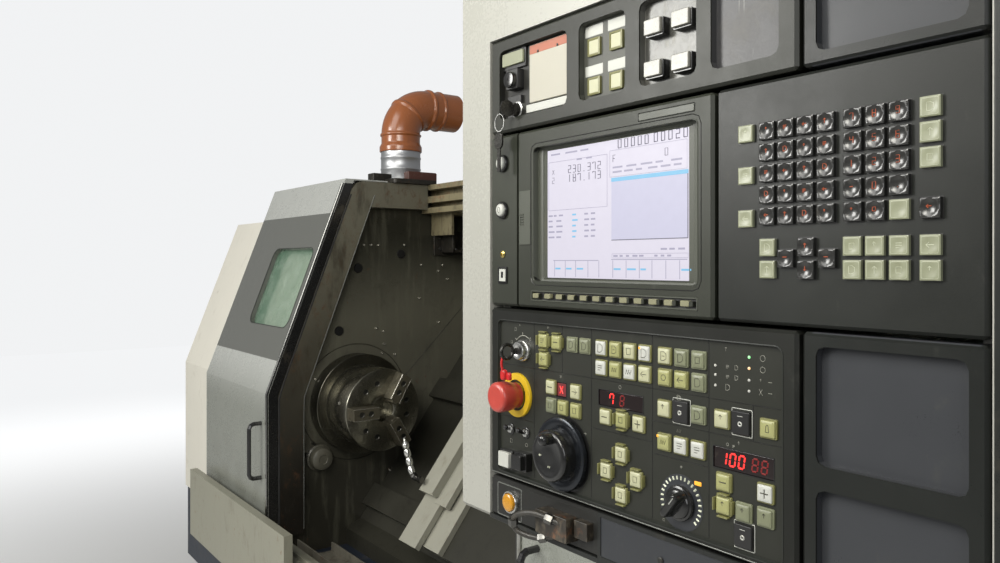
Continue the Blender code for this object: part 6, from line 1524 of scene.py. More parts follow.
@dataclass
class Keyboard:
    """The keyboard: flat square caps with a round bowl, black with orange marks or olive with white ones."""

    pitch: float = 0.07775 * (WIDTH - DISPLAY)
    size: float = 0.0155
    # Side of the black squares that paint the shadow in the gaps round the keys.
    shade_square: float = 0.0174
    key_top: float = 0.0037

    def places(self) -> Tuple[List[np.ndarray], List[np.ndarray], List[Tuple[np.ndarray, str]]]:
        """The places of the black keys, the olive keys, and the marks with their names."""
        across, heights = (DISPLAY, WIDTH), (ROWS[2], ROWS[3])
        black, olive, marks = [], [], []
        digits = ("7", "8", "9", "4", "5", "6", "1", "2", "3", "-", "0", ".", "tick", "square", "minus")
        for columns, share in ((4, (0.247, 0.785)), (3, (0.578, 0.785))):
            u, z = share_place(across, heights, share)
            for index in range(5 * columns):
                row, column = divmod(index, columns)
                place = face(u + column * self.pitch, z - row * self.pitch)
                if columns == 3 and (row, column) == (4, 2):
                    olive.append(place)
                    continue
                black.append(place)
                name = digits[index] if columns == 3 else ("tick", "bars", "left", "up",
                    "dee")[(row * 3 + column) % 5]
                marks.append((place, name))
        u, z = share_place(across, heights, (0.83, 0.785))
        for row in (0, 1, 2, 4):
            (black if row == 4 else olive).append(face(u, z - row * self.pitch))
        marks.append((face(u, z - 4 * self.pitch), "left"))
        low = mm(153, 785, 153, 613, 153, 437, 247, 318, 247, 230, 575, 318, 653, 318, 733, 318, 830, 318,
            575, 232, 653, 232, 733, 232, 830, 232)
        olive += [face(*share_place(across, heights, share)) for share in low]
        for share, name in (((0.325, 0.274), "minus"), ((0.405, 0.318), "up"), ((0.405, 0.23), "down"),
                ((0.485, 0.274), "minus")):
            place = face(*share_place(across, heights, share))
            black.append(place)
            marks.append((place, name))
        return black, olive, marks

    def build(self) -> None:
        """Make the caps over the module's plain keys, the black squares under them that paint the shadow in
        the gaps round them, and their marks.
        """
        dress("keyboard_module", PanelPaint(colour=(0.011, 0.012, 0.0105)).build("keyboard_paint"))
        black, olive, marks = self.places()
        # Black squares a little larger than the keys paint the shadow in the gaps round them.
        shade_square = slab((0.0, 0.0, 0.0), self.shade_square, self.shade_square, [(-0.0008, 0.0), (0.0002, 0.0001)],
            0.001, steps=2)
        Grade.BLACK.part("keyboard_surrounds", repeated(shade_square, black + olive), 50)
        Grade.KEY_BLACK.part("keyboard_black_keys",
            repeated(dished(self.size, -0.0005, 0.0046, 0.0069, 0.0014), black))
        Grade.KEY_PALE.part("keyboard_olive_keys",
            repeated(dished(self.size, -0.0005, 0.0038, 0.006, 0.0004), olive))
        rims: List[Mesh] = []
        for place in olive:
            flat = rounded(0.0128, 0.0128, 0.0012, 2)
            flat = np.concatenate([flat, flat[:1]])
            rims.append(swept(place + np.array([0.0, -self.key_top, 0.0])
                + np.insert(flat, 1, 0.0, axis=1), 0.0002, 4))
        names = ("dee", "up", "square", "tick", "bars", "left")
        for index, place in enumerate(olive[1:]):
            rims += strokes(MARKS[names[index % 6]], place + np.array([0.0, -0.0035, 0.0]), 0.012, 0.0004)
        Grade.KEY_LINE.part("keyboard_key_lines", joined(rims), 60)
        lines: List[Mesh] = []
        for place, name in marks:
            shape = DIGITS.get(name) or MARKS[name]
            tall = 0.0056 if name in DIGITS else 0.0078
            lines += strokes(shape, place + np.array([-0.0008, -0.0036, 0.0012]), tall, 0.0007)
        Grade.ORANGE.part("keyboard_marks", joined(lines), 60)


# Key groups: share across, share up, columns, kinds, marks.
# Kinds are g guarded olive, G guarded pale, o olive, p dull, w white, c cream and b black.
GROUPS = ((0.2344, 0.829, 1, "g", "bars"), (0.2882, 0.829, 1, "g", "minus"),
    (0.2357, 0.728, 1, "g", "left"), (0.3486, 0.827, 2, "pp", "dee dee"),
    (0.4556, 0.8285, 4, "wocwwowc", "dee deebar square dee bars wave wave left"),
    (0.6593, 0.8275, 3, "cppoop", "deebar dee square ring left dee"),
    (0.2656, 0.5815, 1, "cp", "minus square"), (0.3126, 0.482, 1, "o", "square"),
    (0.3621, 0.5805, 1, "co", "right square"), (0.4704, 0.4846, 1, "c", "minus"),
    (0.5253, 0.4865, 1, "g", "square"), (0.5802, 0.4846, 1, "c", "plus"),
    (0.6582, 0.583, 3, "cbp", "tick ring dee"), (0.6577, 0.4275, 3, "oww", "wave bars bars"),
    (0.8163, 0.585, 2, "cb", "tick tick"), (0.9283, 0.582, 1, "o", "bulb"),
    (0.821, 0.315, 1, "o", "minus"), (0.9217, 0.315, 1, "w", "plus"), (0.821, 0.215, 1, "g", "tick"),
    (0.9217, 0.215, 1, "p", "tick"), (0.8702, 0.21, 1, "pb", "tick ring"),
    (0.5235, 0.3174, 1, "G", "square"), (0.473, 0.2165, 1, "G", "square"),
    (0.5721, 0.2151, 1, "G", "square"), (0.5235, 0.117, 1, "G", "square"),)


@dataclass
class Operation:
    """The operation module: sheet, keys with frames and guards, digit windows, lamps, knobs and stop."""

    pitch: float = 0.0479 * COLUMN
    frame_size: float = 0.0182
    cap_size: float = 0.0152
    black_width: float = 0.0196
    black_height: float = 0.0214
    key_top: float = 0.0037

    def at(self, share: Tuple[float, float]) -> Tuple[float, float]:
        """A place on the module from shares of its width and height."""
        return share_place((0.0, COLUMN), (ROWS[1], ROWS[2]), share)

    def keys(self) -> None:
        """Frames, caps, guards and marks of every key."""
        frame_shape = slab((0, 0, 0), self.frame_size, self.frame_size, mm(-0.2, 0, 1.8, 0.1, 2.1, 0.4),
            0.0014, steps=2)
        cap_shape = slab((0, 0, 0), self.cap_size, self.cap_size, mm(0.5, 0, 3.3, 0.1, 3.7, 0.6, 3.7, 4),
            0.0012, steps=3)
        black_shape = slab((0, 0, 0), self.black_width, self.black_height,
            mm(-0.2, 0, 3.2, 0.1, 3.6, 0.6), 0.0012, steps=3)
        bar = mm(0, 0, 4.6, 0.1, 4.9, 0.4)
        guard = joined([slab((0.0, 0.0, at), 0.0125, 0.0017, bar, 0.0005, steps=2)
            for at in (-0.0107, 0.0107)] + [slab((at, 0.0, 0.0), 0.0017, 0.0125, bar, 0.0005, steps=2)
            for at in (-0.0107, 0.0107)])
        places: Dict[str, List[np.ndarray]] = {kind: [] for kind in "gGpwocb"}
        lines: List[Mesh] = []
        light: List[Mesh] = []
        dark_places: List[np.ndarray] = []
        for share_u, share_z, columns, kinds, names in GROUPS:
            u, z = self.at((share_u, share_z))
            for index, (kind, name) in enumerate(zip(kinds, names.split())):
                row, column = divmod(index, columns)
                place = face(u + column * self.pitch, z - row * self.pitch, -SHEET)
                places[kind].append(place)
                if kind == "b":
                    dark_places.append(place)
                    light += strokes(MARKS["ring"], place + np.array([0.0, -self.key_top, -0.001]),
                        0.0088, 0.0016)
                    light += strokes([[(0.0, 2.0), (2.0, 2.0)]],
                        place + np.array([0.0, -self.key_top, 0.0062]), 0.012, 0.0006)
                else:
                    tall = 0.0165 if kind in "cw" else 0.015
                    thick = 0.0011 if name in ("minus", "plus") else 0.0007
                    lines += strokes(MARKS[name], place + np.array([0.0, -self.key_top, 0.0]), tall,
                        thick)
        framed = places["g"] + places["o"] + places["w"] + places["c"] + places["G"]
        guarded = places["g"] + places["G"]
        for name, shape, where, grade in (("frames", frame_shape, framed, Grade.KEY_OLIVE),
                ("dull_frames", frame_shape, places["p"], Grade.KEY_DULL),
                ("guards", guard, guarded, Grade.KEY_OLIVE),
                ("olive_caps", cap_shape, places["o"] + places["g"], Grade.KEY_CAP),
                ("dull_caps", cap_shape, places["p"], Grade.KEY_DULL),
                ("cream_caps", cap_shape, places["c"] + places["G"], Grade.KEY_CREAM),
                ("white_caps", cap_shape, places["w"], Grade.WHITE)):
            grade.part(f"operation_{name}", repeated(shape, where), 50)
        Grade.BLACK.part("operation_black_keys", repeated(black_shape, places["b"]), 50)
        border = [outline(place[0] - PANEL_X, place[2], 0.0226, 0.0252, 0.001, -SHEET + 0.0004)
            for place in dark_places]
        Grade.WHITE.part("operation_white_lines", joined(border + light), 60)
        Grade.INK.part("operation_marks", joined(lines), 60)
        corners = [boss(u, z, 0.0028, 0.0026, -SHEET, -SHEET + 0.004, 0.0003)
            for u, z in ((0.2692, 1.5095), (0.2949, 1.4215))]
        corners.append(boss(0.3445, 1.3826, 0.0085, 0.004, -SHEET, -SHEET + 0.0006, 0.0005))
        piece("operation_orange_marks", joined(corners), "frame",
            Lit((1.0, 0.42, 0.03), 0.85, (0.5, 0.2, 0.02)).build("orange_mark"), 60)

    def sheet(self) -> None:
        """The lines that part the sheet into fields, the printed arcs and the small icons."""
        shapes = [line(mm(*ends), 0.0008, -SHEET + 0.0001)
            for ends in ((88, 1333.5, 88, 1524.5), (141, 1469, 141, 1524.5),
            (191.5, 1333.5, 191.5, 1524.5), (284.5, 1333.5, 284.5, 1524.5), (358, 1333.5, 358, 1524.5),
            (408.8, 1435.5, 408.8, 1469), (17.5, 1468.7, 441, 1468.7), (284.5, 1435.5, 441, 1435.5),
            (191.5, 1412.8, 284.5, 1412.8), (17.5, 1401.5, 88, 1401.5), (284.5, 1401.5, 358, 1401.5))]
        Grade.BLACK.part("operation_field_lines", joined(shapes), 60)
        proud = -SHEET + 0.0001
        prints: List[Mesh] = []
        prints += [line([(0.0666 + 0.0185 * math.cos(a), 1.489 + 0.0185 * math.sin(a))
            for a in np.radians(np.linspace(135, 55, 9))], 0.0012, proud)]
        prints += arc_ticks(0.0666, 1.489, 0.0205, 140, 50, 3, 0.004, 0.0007, proud)
        icons = (("square", 50, 1514.5, 5.5), ("tick", 59, 1519, 5), ("square", 42, 1498, 5),
            ("ring", 80, 1504, 5), ("bars", 114.5, 1520.5, 4), ("up", 378, 1517.5, 4.5),
            ("bars", 380, 1501, 5), ("dee", 390, 1501, 4.5), ("bars", 380, 1491.5, 5),
            ("dee", 390, 1491.5, 4.5), ("dee", 380, 1481.5, 6), ("ring", 419, 1512.5, 8),
            ("ring", 419, 1502, 8), ("tick", 417, 1491.5, 4.5), ("minus", 427, 1491.5, 4.5),
            ("cross", 417, 1481.5, 4), ("minus", 427, 1481.5, 4.5), ("ring", 237, 1463.8, 5.5),
            ("bars", 138.5, 1464, 4.5), ("deebar", 320, 1463, 6.5), ("square", 320, 1463, 5),
            ("wave", 320, 1430, 6.5), ("tick", 393, 1429.5, 6), ("bars", 387, 1427, 3.5),
            ("left", 112, 1403.5, 7), ("right", 180, 1403.5, 7), ("bars", 323.5, 1394.5, 3.5),
            ("square", 41, 1371, 6.5), ("ring", 72.5, 1371, 6.5), ("square", 300, 1336, 3.5),
            ("ring", 380, 1427.5, 4))
        for name, u, z, tall in icons:
            prints += strokes(MARKS[name], face(u / 1000, z / 1000, proud), tall * 0.0017, 0.00045)
        Grade.PRINT.part("operation_prints", joined(prints), 60)

    def displays(self) -> None:
        """The digit windows with their red figures, and the small lamps."""
        windows = ((0.13, 0.1483, 1.4395, 1.4575), (0.2034, 0.2713, 1.44, 1.458),
            (0.3633, 0.431, 1.4034, 1.4239))
        panes = [stretch_box(u0 + 0.0004, u1 - 0.0004, z0 + 0.0004, z1 - 0.0004, -0.0078, -0.0046)
            for u0, u1, z0, z1 in windows]
        Grade.SMOKED.part("digit_windows", joined(panes), 50)
        rims = [hoop(u0 - 0.0006, u1 + 0.0006, z0 - 0.0006, z1 + 0.0006,
            mm(0, -4.2, 0, -3.6, 0.8, -3.6, 0.8, -6), 0.0012) for u0, u1, z0, z1 in windows]
        Grade.BLACK.part("digit_window_rims", joined(rims), 50)
        red = Lit((1.0, 0.035, 0.03), 1.9, (0.2, 0.01, 0.01)).build("red_figures")
        dim = Lit((0.45, 0.012, 0.012), 0.3, (0.08, 0.01, 0.01)).build("dark_figures")
        proud = -0.0042
        shapes = strokes(MARKS["cross"], face(0.1392, 1.4485, proud), 0.0105, 0.0014)
        shapes += self.lit_figures("7", 0.2235, 1.449, 0.0112, proud)
        shapes += self.lit_figures("100", 0.3755, 1.4136, 0.0118, proud)
        piece("red_figures", joined(shapes), "frame", red, 60)
        ghosts = self.lit_figures("8", 0.2395, 1.449, 0.0112, proud - 0.0003) + self.lit_figures("88",
            0.4105, 1.4136, 0.0118, proud - 0.0003)
        piece("dark_figures", joined(ghosts), "frame", dim, 60)
        glow = stretch_box(0.1312, 0.1471, 1.4407, 1.4563, -0.006, -0.0045)
        piece("cross_window", glow, "frame",
            Lit((0.2, 0.006, 0.012), 0.55, (0.06, 0.01, 0.01)).build("cross_glow"), 50)
        lamps = ((404.5, 1512.3, (0.1, 1.0, 0.2)), (404.5, 1502, (1.0, 0.45, 0.05)),
            (404.5, 1491, (0.55, 0.55, 0.5)), (404.5, 1481, (0.55, 0.55, 0.5)),
            (366, 1501, (0.5, 0.5, 0.45)), (366, 1492, (0.5, 0.5, 0.45)), (366, 1482, (0.5, 0.5, 0.45)))
        for index, (u, height, colour) in enumerate(lamps):
            dome = turned(mm(1.4, -0.2, 1.4, 0.6, 0.8, 1.1), face(u / 1000, height / 1000, -SHEET), OUT,
                10)
            glow = Lit(colour, 0.9 if index < 2 else 0.1,
                (0.35, 0.35, 0.32)).build(f"lamp_colour_{index + 1}")
            piece(f"panel_lamp_{index + 1}", dome, "frame", glow)

    def lit_figures(self, text: str, u: float, z: float, tall: float, proud: float) -> List[Mesh]:
        """Slanted seven-bar figures: each stroke is cut into bars with small gaps at the corners.

        Args:
            text: the figures.
            u: the middle of the first, across.
            z: its height.
            tall: the figures' height.
            proud: how far they stand out.

        Returns:
            One bar for each stroke.
        """
        bars = {"a": ((0, 4), (2, 4)), "b": ((2, 4), (2, 2)), "c": ((2, 2), (2, 0)),
            "d": ((0, 0), (2, 0)), "e": ((0, 2), (0, 0)), "f": ((0, 4), (0, 2)), "g": ((0, 2), (2, 2))}
        lit = {"0": "abcdef", "1": "bc", "7": "abcf", "8": "abcdefg"}
        shapes = []
        for index, figure in enumerate(text):
            for name in lit[figure]:
                start, end = (np.array(point, float) for point in bars[name])
                near, far = start + (end - start) * 0.14, end - (end - start) * 0.14
                places = []
                for flat in (near, far):
                    up = (flat[1] - 2.0) * tall / 4
                    places.append((u + index * tall * 0.86 + (flat[0] - 1.0) * tall / 4 + up * 0.14,
                        z + up))
                shapes.append(line(places, 0.0017, proud))
        return shapes

    def stop(self) -> None:
        """The red stop with its soft edges, and the yellow disc behind it."""
        u, z = self.at((0.1211, 0.4986))
        head = disc(u, z, mm(16, 0.6, 16, 4, 16.3, 5.8, 17.6, 9.5, 18.6, 16, 18.9, 22.5, 18.95, 26.2,
            18.6, 29, 17.6, 31.1, 16, 32.2, 13.8, 32.7, 10.8, 32.85, 6, 32.4, 2, 32.2), 64)
        made = Grade.RED.part("stop_head", head, 50, body="emergency_stop")
        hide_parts("emergency_stop")
        plate = disc(u, z, mm(27.9, -4.1, 27.9, -0.5, 27.4, 0.1, 19.6, 0.1, 19.2, -3, 15, -3.8), 64)
        Grade.YELLOW.part("stop_disc", plate)

    def wheel(self) -> None:
        """The handwheel: dark metal rim, glossy hub with small marks, and its crank."""
        u, z = self.at((0.316, 0.239))
        base = -SHEET + 0.0005
        rim = disc(u, z, mm(22, 0, 22, 2.2, 41.8, 2.2, 43.2, 3.2, 43.4, 6, 42.8, 8, 41.2, 8.8, 34.5, 8.8,
            32.5, 7.8, 31, 7.8, rise=base), 72)
        hub = disc(u, z, mm(30, 6, 30, 21.5, 29.7, 23.6, 28.5, 25.2, 26.5, 25.9, 23, 26, 21.5, 25.4, 10,
            25.2, rise=base), 72)
        crank = disc(u + 0.0045, z + 0.021, mm(6.4, 23.5, 6.9, 27, 6.9, 34, 6.2, 38.8, 4.6, 40.6, 2, 41,
            rise=base), 32)
        first = Grade.GLOSS_BLACK.part("wheel_hub", joined([hub, crank]), body="handwheel")
        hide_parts("handwheel")
        Grade.RIM.part("wheel_rim", rim, body="handwheel")
        marks = strokes(MARKS["left"], face(u - 0.014, z - 0.001, base + 0.0253), 0.009, 0.0008)
        marks += strokes(MARKS["wave"], face(u + 0.002, z - 0.012, base + 0.0253), 0.009, 0.0007)
        Grade.KEY_LINE.part("wheel_marks", joined(marks), 60, body="handwheel")
        well = disc(u, z, mm(45.2, -0.1, 45.2, 0.3, 44, 0.3, rise=-SHEET), 64)
        Grade.BLACK.part("wheel_seat", well)

    def knob(self) -> None:
        """The override: a blue-grey disc on the sheet, and a black knob with a wing and a white line."""
        u, z = self.at((0.704, 0.168))
        base = -SHEET + 0.0005
        plate = disc(u, z, mm(28.2, -0.1, 28.2, 0.3, 27.6, 0.4, rise=-SHEET), 56)
        Grade.BLUE_PLATE.part("override_plate", plate)
        ticks = arc_ticks(u, z, 0.0246, 222, -42, 23, 0.0036, 0.0021, -SHEET + 0.0004)
        Grade.KEY_LINE.part("override_ticks", joined(ticks), 60)
        skirt = disc(u, z, mm(17.8, 0, 18, 3, 17.2, 4.4, 15.2, 5, 14.5, 7, 13, 8, 6, 8.2, rise=base), 48)
        turn = math.radians(-38.0)
        axes = ((math.cos(turn), 0.0, math.sin(turn)), (-math.sin(turn), 0.0, math.cos(turn)), OUT)
        wing = slab(face(u, z), 0.012, 0.0325,
            [(base + 0.006, 0.0), (base + 0.017, 0.0012), (base + 0.0195, 0.0024), (base + 0.02, 0.0038)],
            0.0055, axes, 5)
        made = Grade.GLOSS_BLACK.part("override_body", joined([skirt, wing]), body="override_knob")
        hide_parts("override_knob")
        tip = np.array([axes[1][0], axes[1][2]])
        mark = line([(u + tip[0] * 0.003, z + tip[1] * 0.003),
            (u + tip[0] * 0.0118, z + tip[1] * 0.0118)], 0.0011, base + 0.0201)
        Grade.WHITE.part("override_mark", mark, 60, body="override_knob")

    def small_parts(self) -> None:
        """The two toggles, the white and black square buttons, and the pale bar under the sheet whose colour
        paints the highlight on its lower edge.
        """
        bright, black = [], []
        for u, lean in ((0.041, 0.0015), (0.0725, -0.0012)):
            z = 1.3862
            black.append(disc(u, z, mm(7.2, -0.1, 7.2, 1.2, 6.4, 1.8, rise=-SHEET), 24))
            bright.append(disc(u, z, [(0.0055, -SHEET), (0.0055, -0.0012), (0.0048, -0.0004),
                (0.003, -0.0002)], 6))
            black.append(swept([face(u, z, -0.001), face(u + lean, z + 0.002, 0.0035),
                face(u + lean * 2, z + 0.004, 0.0075)], (0.0016, 0.003), 10))
            black.append(turned(mm(3, -1, 3.3, 1, 2, 2.4), face(u + lean * 2, z + 0.004, 0.0075),
                (0, -1, 0.35), 14))
        black.append(stretch_box(0.0262, 0.0524, 1.3368, 1.3597, -SHEET, 0.003, 0.0015))
        black.append(stretch_box(0.06, 0.0838, 1.34, 1.3625, -SHEET, 0.006, 0.0015))
        black.append(stretch_box(0.0625, 0.0815, 1.3424, 1.3601, 0.004, 0.013, 0.0012))
        white = stretch_box(0.0285, 0.05, 1.339, 1.3576, 0.001, 0.008, 0.0012)
        Grade.BRIGHT.part("panel_toggles", joined(bright))
        Grade.GLOSS_BLACK.part("panel_black_parts", joined(black))
        Grade.WHITE.part("panel_white_button", white)
        # A real edge under the sheet; its pale colour is a painted highlight along it.
        lip = swept([face(u, 1.3262, -0.0012) for u in np.linspace(0.004, COLUMN - 0.004, 24)], 0.0011, 8)
        Grade.LIP.part("panel_lip", lip, 60)

    def lock(self) -> None:
        """The lower lock: chrome barrel and ring, the looped key in it and the red tag on the key."""
        u, z = self.at((0.145, 0.759))
        ring = disc(u, z, mm(13.8, -0.1, 13.8, 3, 12.8, 4.2, 11.9, 4.2, 11.9, 1, rise=-SHEET), 40)
        Grade.BRIGHT.part("lower_lock_ring", ring)
        barrel = disc(u, z, mm(11.4, -3.5, 11.4, 5, 10.6, 6.4, 6, 6.6, 5, 6), 40)
        made = Grade.BRIGHT.part("lower_lock_barrel", barrel, body="lower_key_switch")
        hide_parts("lower_key_switch")
        turn = np.linspace(0.0, 2 * math.pi, 33)
        bow = swept([face(u, z + 0.0088 * math.sin(a), 0.022 + 0.0088 * math.cos(a)) for a in turn],
            0.0022, 8)
        blade = slab(face(u, z), 0.0022, 0.008, [(0.004, 0.0), (0.015, 0.0)], 0.0004, steps=2)
        Grade.KEY_IRON.part("lower_lock_key", joined([bow, blade]), 50, body="lower_key_switch")
        tag = [swept([face(u - 0.001, z - 0.006, 0.0285), face(u - 0.002, z - 0.016, 0.029),
            face(u - 0.001, z - 0.026, 0.027)], 0.0016, 8, 6),
            boss(u - 0.0015, z - 0.0285, 0.0085, 0.013, 0.0235, 0.029, 0.003, 0.0012),
            boss(u + 0.006, z - 0.03, 0.0075, 0.0095, 0.022, 0.026, 0.0025, 0.001)]
        Grade.TAG.part("lower_lock_tag", joined(tag), 50, body="lower_key_switch")

    def build(self) -> None:
        """Dress the module and add everything on it."""
        fields = ((0.0163, 0.4427, 1.3298, 1.5257, (0.02, 0.021, 0.017)),)
        dress("operation_module", PanelPaint(fields, (0.009, 0.0095, 0.008),
            0.36).build("operation_paint"))
        for part in (self.keys, self.sheet, self.displays, self.stop, self.wheel, self.knob,
                self.small_parts, self.lock):
            part()
        rim = hoop(0.016, 0.443, 1.3295, 1.526, mm(0, -4.2, 0, 0.4, 1, 0.5, 2.2, -4), 0.0085)
        Grade.CONSOLE.part("operation_rim", rim, 30)


@dataclass
class Display:
    """The display module: bezel, lit picture with its figures, soft keys and the side strip."""

    left: float = 0.1078
    right: float = 0.3291
    low: float = 1.581
    top: float = 1.735
    depth: float = 0.0089

    def at(self, across: float, up: float, proud: float = 0.0004) -> np.ndarray:
        """A point on the picture, from shares of its width and height."""
        return face(self.left + across * (self.right - self.left), self.low + up * (self.top - self.low),
            -self.depth + proud)

    def bar(self, across: float, up: float, width: float, height: float, proud: float = 0.0002) -> Mesh:
        """A flat field on the picture, from shares."""
        return slab(self.at(across + width / 2, up + height / 2, -0.0002),
            width * (self.right - self.left), height * (self.top - self.low),
            [(0.0, 0.0), (0.0002 + proud, 0.0)], 0.0002, steps=1)

    def box_line(self, across: float, up: float, width: float, height: float,
            thick: float = 0.0004) -> Mesh:
        """The outline of a field on the picture."""
        corners = [self.at(across, up), self.at(across + width, up), self.at(across + width, up + height),
            self.at(across, up + height), self.at(across, up)]
        return swept(np.array(corners), thick / 2, 4)

    def words(self, across: float, up: float, count: int, width: float, seed: int) -> List[Mesh]:
        """A row of short dashes that stands for small figures."""
        rng = np.random.default_rng(seed)
        lengths = width / count * (0.45 + 0.35 * rng.random(count))
        return [self.bar(across + index * width / count, up, length, 0.013, 0.0002)
            for index, length in enumerate(lengths)]

    def picture(self) -> None:
        """The lit picture with its fields, figures and dashes."""
        glow = Lit((0.78, 0.74, 0.86), 0.8, (0.05, 0.05, 0.06)).build("picture_white")
        width, height = self.right - self.left, self.top - self.low
        back = slab(face((self.left + self.right) / 2, (self.low + self.top) / 2, -self.depth - 0.0004),
            width, height, [(0.0, 0.0), (0.0004, 0.0)], 0.001)
        piece("picture", back, "frame", glow)
        grey = Lit((0.58, 0.57, 0.74), 0.85, (0.05, 0.05, 0.06)).build("picture_lilac")
        piece("picture_popup", self.bar(0.502, 0.283, 0.494, 0.42, 0.0003), "frame", grey)
        blue = Lit((0.16, 0.52, 0.82), 0.85, (0.03, 0.05, 0.06)).build("picture_blue")
        dark = Lit((0.06, 0.055, 0.09), 0.6, (0.05, 0.05, 0.07)).build("picture_ink")
        pale = Lit((0.36, 0.34, 0.46), 0.8, (0.05, 0.05, 0.07)).build("picture_pale_ink")
        red = Lit((0.62, 0.16, 0.26), 0.8, (0.2, 0.05, 0.05)).build("picture_red")
        inks = figures("00000", self.at(0.56, 0.966, 0.0004), 0.0092, 0.001, 1.09)
        inks += figures("00020", self.at(0.8, 0.97, 0.0004), 0.0092, 0.001, 1.09)
        inks += figures("230.372", self.at(0.185, 0.834, 0.0004), 0.0084, 0.0008, 1.0)
        inks += figures("187.173", self.at(0.185, 0.765, 0.0004), 0.0084, 0.0008, 1.0)
        inks += strokes(MARKS["cross"], self.at(0.05, 0.826, 0.0004), 0.0068, 0.0005)
        inks += (figures("2", self.at(0.05, 0.76, 0.0004), 0.0068, 0.0005)
            + figures("0", self.at(0.866, 0.862, 0.0004), 0.0075, 0.0006))
        inks += strokes([[(0, 0), (0, 4), (2, 4)], [(0, 2), (1.5, 2)]], self.at(0.521, 0.866, 0.0004),
            0.0075, 0.0006)
        inks += [self.bar(0.502, 0.278, 0.494, 0.006, 0.0004),
            self.bar(0.992, 0.283, 0.004, 0.42, 0.0004)]
        faint = [self.box_line(0.012, 0.527, 0.459, 0.378), self.box_line(0.49, 0.735, 0.5, 0.19, 0.0003)]
        faint += self.words(0.03, 0.957, 3, 0.36, 1) + self.words(0.24, 0.894, 2, 0.15, 2)
        blues = [self.bar(0.502, 0.7, 0.494, 0.028, 0.0006)]
        for row in range(5):
            up = 0.478 - row * 0.042
            faint += (self.words(0.01, up, 3 if row == 0 else 2, 0.13, 10 + row)
                + self.words(0.3, up, 2, 0.1, 20 + row))
            blues += self.words(0.205, up, 1, 0.055, 30 + row)
        for numbers in ((0.51, 0.795, 5, 0.48, 40), (0.51, 0.762, 6, 0.48, 41),
                (0.83, 0.205, 3, 0.16, 42), (0.515, 0.16, 5, 0.22, 43), (0.79, 0.16, 3, 0.12, 44)):
            faint += self.words(*numbers)
        faint.append(self.box_line(0.506, 0.152, 0.49, 0.03, 0.0003))
        reds = self.words(0.509, 0.58, 5, 0.475, 50) + self.words(0.509, 0.543, 2, 0.12, 51)
        edges = (0.059, 0.147, 0.23, 0.326, 0.408, 0.509, 0.602, 0.691, 0.773, 0.86, 0.944)
        faint += [self.bar(at, 0.01, 0.003, 0.125, 0.0002) for at in edges] + [
            self.bar(0.05, 0.132, 0.355, 0.006, 0.0002), self.bar(0.5, 0.138, 0.49, 0.006, 0.0002)]
        for index, at in enumerate((0.067, 0.155, 0.24, 0.517, 0.61, 0.7, 0.955)):
            blues += self.words(at, 0.066, 1, 0.075, 60 + index)
        piece("picture_ink", joined(inks), "frame", dark, 60)
        piece("picture_pale_ink", joined(faint), "frame", pale, 60)
        piece("picture_blue", joined(blues), "frame", blue, 60)
        piece("picture_red", joined(reds), "frame", red, 60)

    def bezel(self) -> None:
        """The sloping frame inside the opening, the soft keys' bar, the latch tab and the fine seams."""
        section = mm(0, 0.4, 40, 0.2, 100, -7.2, 600, -8, 660, -9.2, 1000, -8.6, 1000, -10.2, 0, -10.2)
        frame_in = hoop(0.0902, 0.3478, 1.5766, 1.7405, section, 0.005,
            (self.left - 0.0004, self.right + 0.0004, self.low - 0.0004, self.top + 0.0004))
        Grade.BEZEL.part("bezel_slope", frame_in, 30)
        lines = [outline(0.219, 1.6585, 0.2655, 0.1735, 0.0009, 0.0002, 0.01),
            outline(0.306, 1.752, 0.076, 0.0085, 0.0007, 0.0002, 0.001)]
        Grade.BLACK.part("bezel_lines", joined(lines), 60)
        blank = boss(0.306, 1.752, 0.075, 0.0075, -0.0004, 0.0005, 0.0006)
        Grade.BEZEL.part("bezel_blank_plate", blank, 50)
        bar = hoop(0.0864, 0.348, 1.552, 1.5655, mm(0, -0.5, 0.6, 0.7, 1.6, 0.7, 2.2, -4), 0.0018)
        Grade.BEZEL.part("soft_bar_rim", bar)
        floor = stretch_box(0.0868, 0.3476, 1.5524, 1.5651, -0.0042, -0.0036)
        Grade.BLACK.part("soft_bar_floor", floor, 50)
        places = (0.0965, 0.1186, 0.1402, 0.1613, 0.1825, 0.2036, 0.225, 0.2463, 0.2676, 0.289, 0.31,
            0.3316)
        keys = [boss(u, 1.5588, 0.0114, 0.006, -0.004, 0.0013, 0.0012, 0.0006) for u in places]
        Grade.KEY_SOFT.part("soft_keys", joined(keys), 50)
        tab = [stretch_box(0.064, 0.0862, 1.6215, 1.6885, -0.0004, 0.0014, 0.0012)]
        tab += [boss(0.0668 + 0.0028 * column, 1.647 + 0.003 * row, 0.0016, 0.0018, 0.001, 0.0024, 0.0003)
            for row in range(5) for column in range(3)]
        Grade.BEZEL.part("bezel_latch", joined(tab))

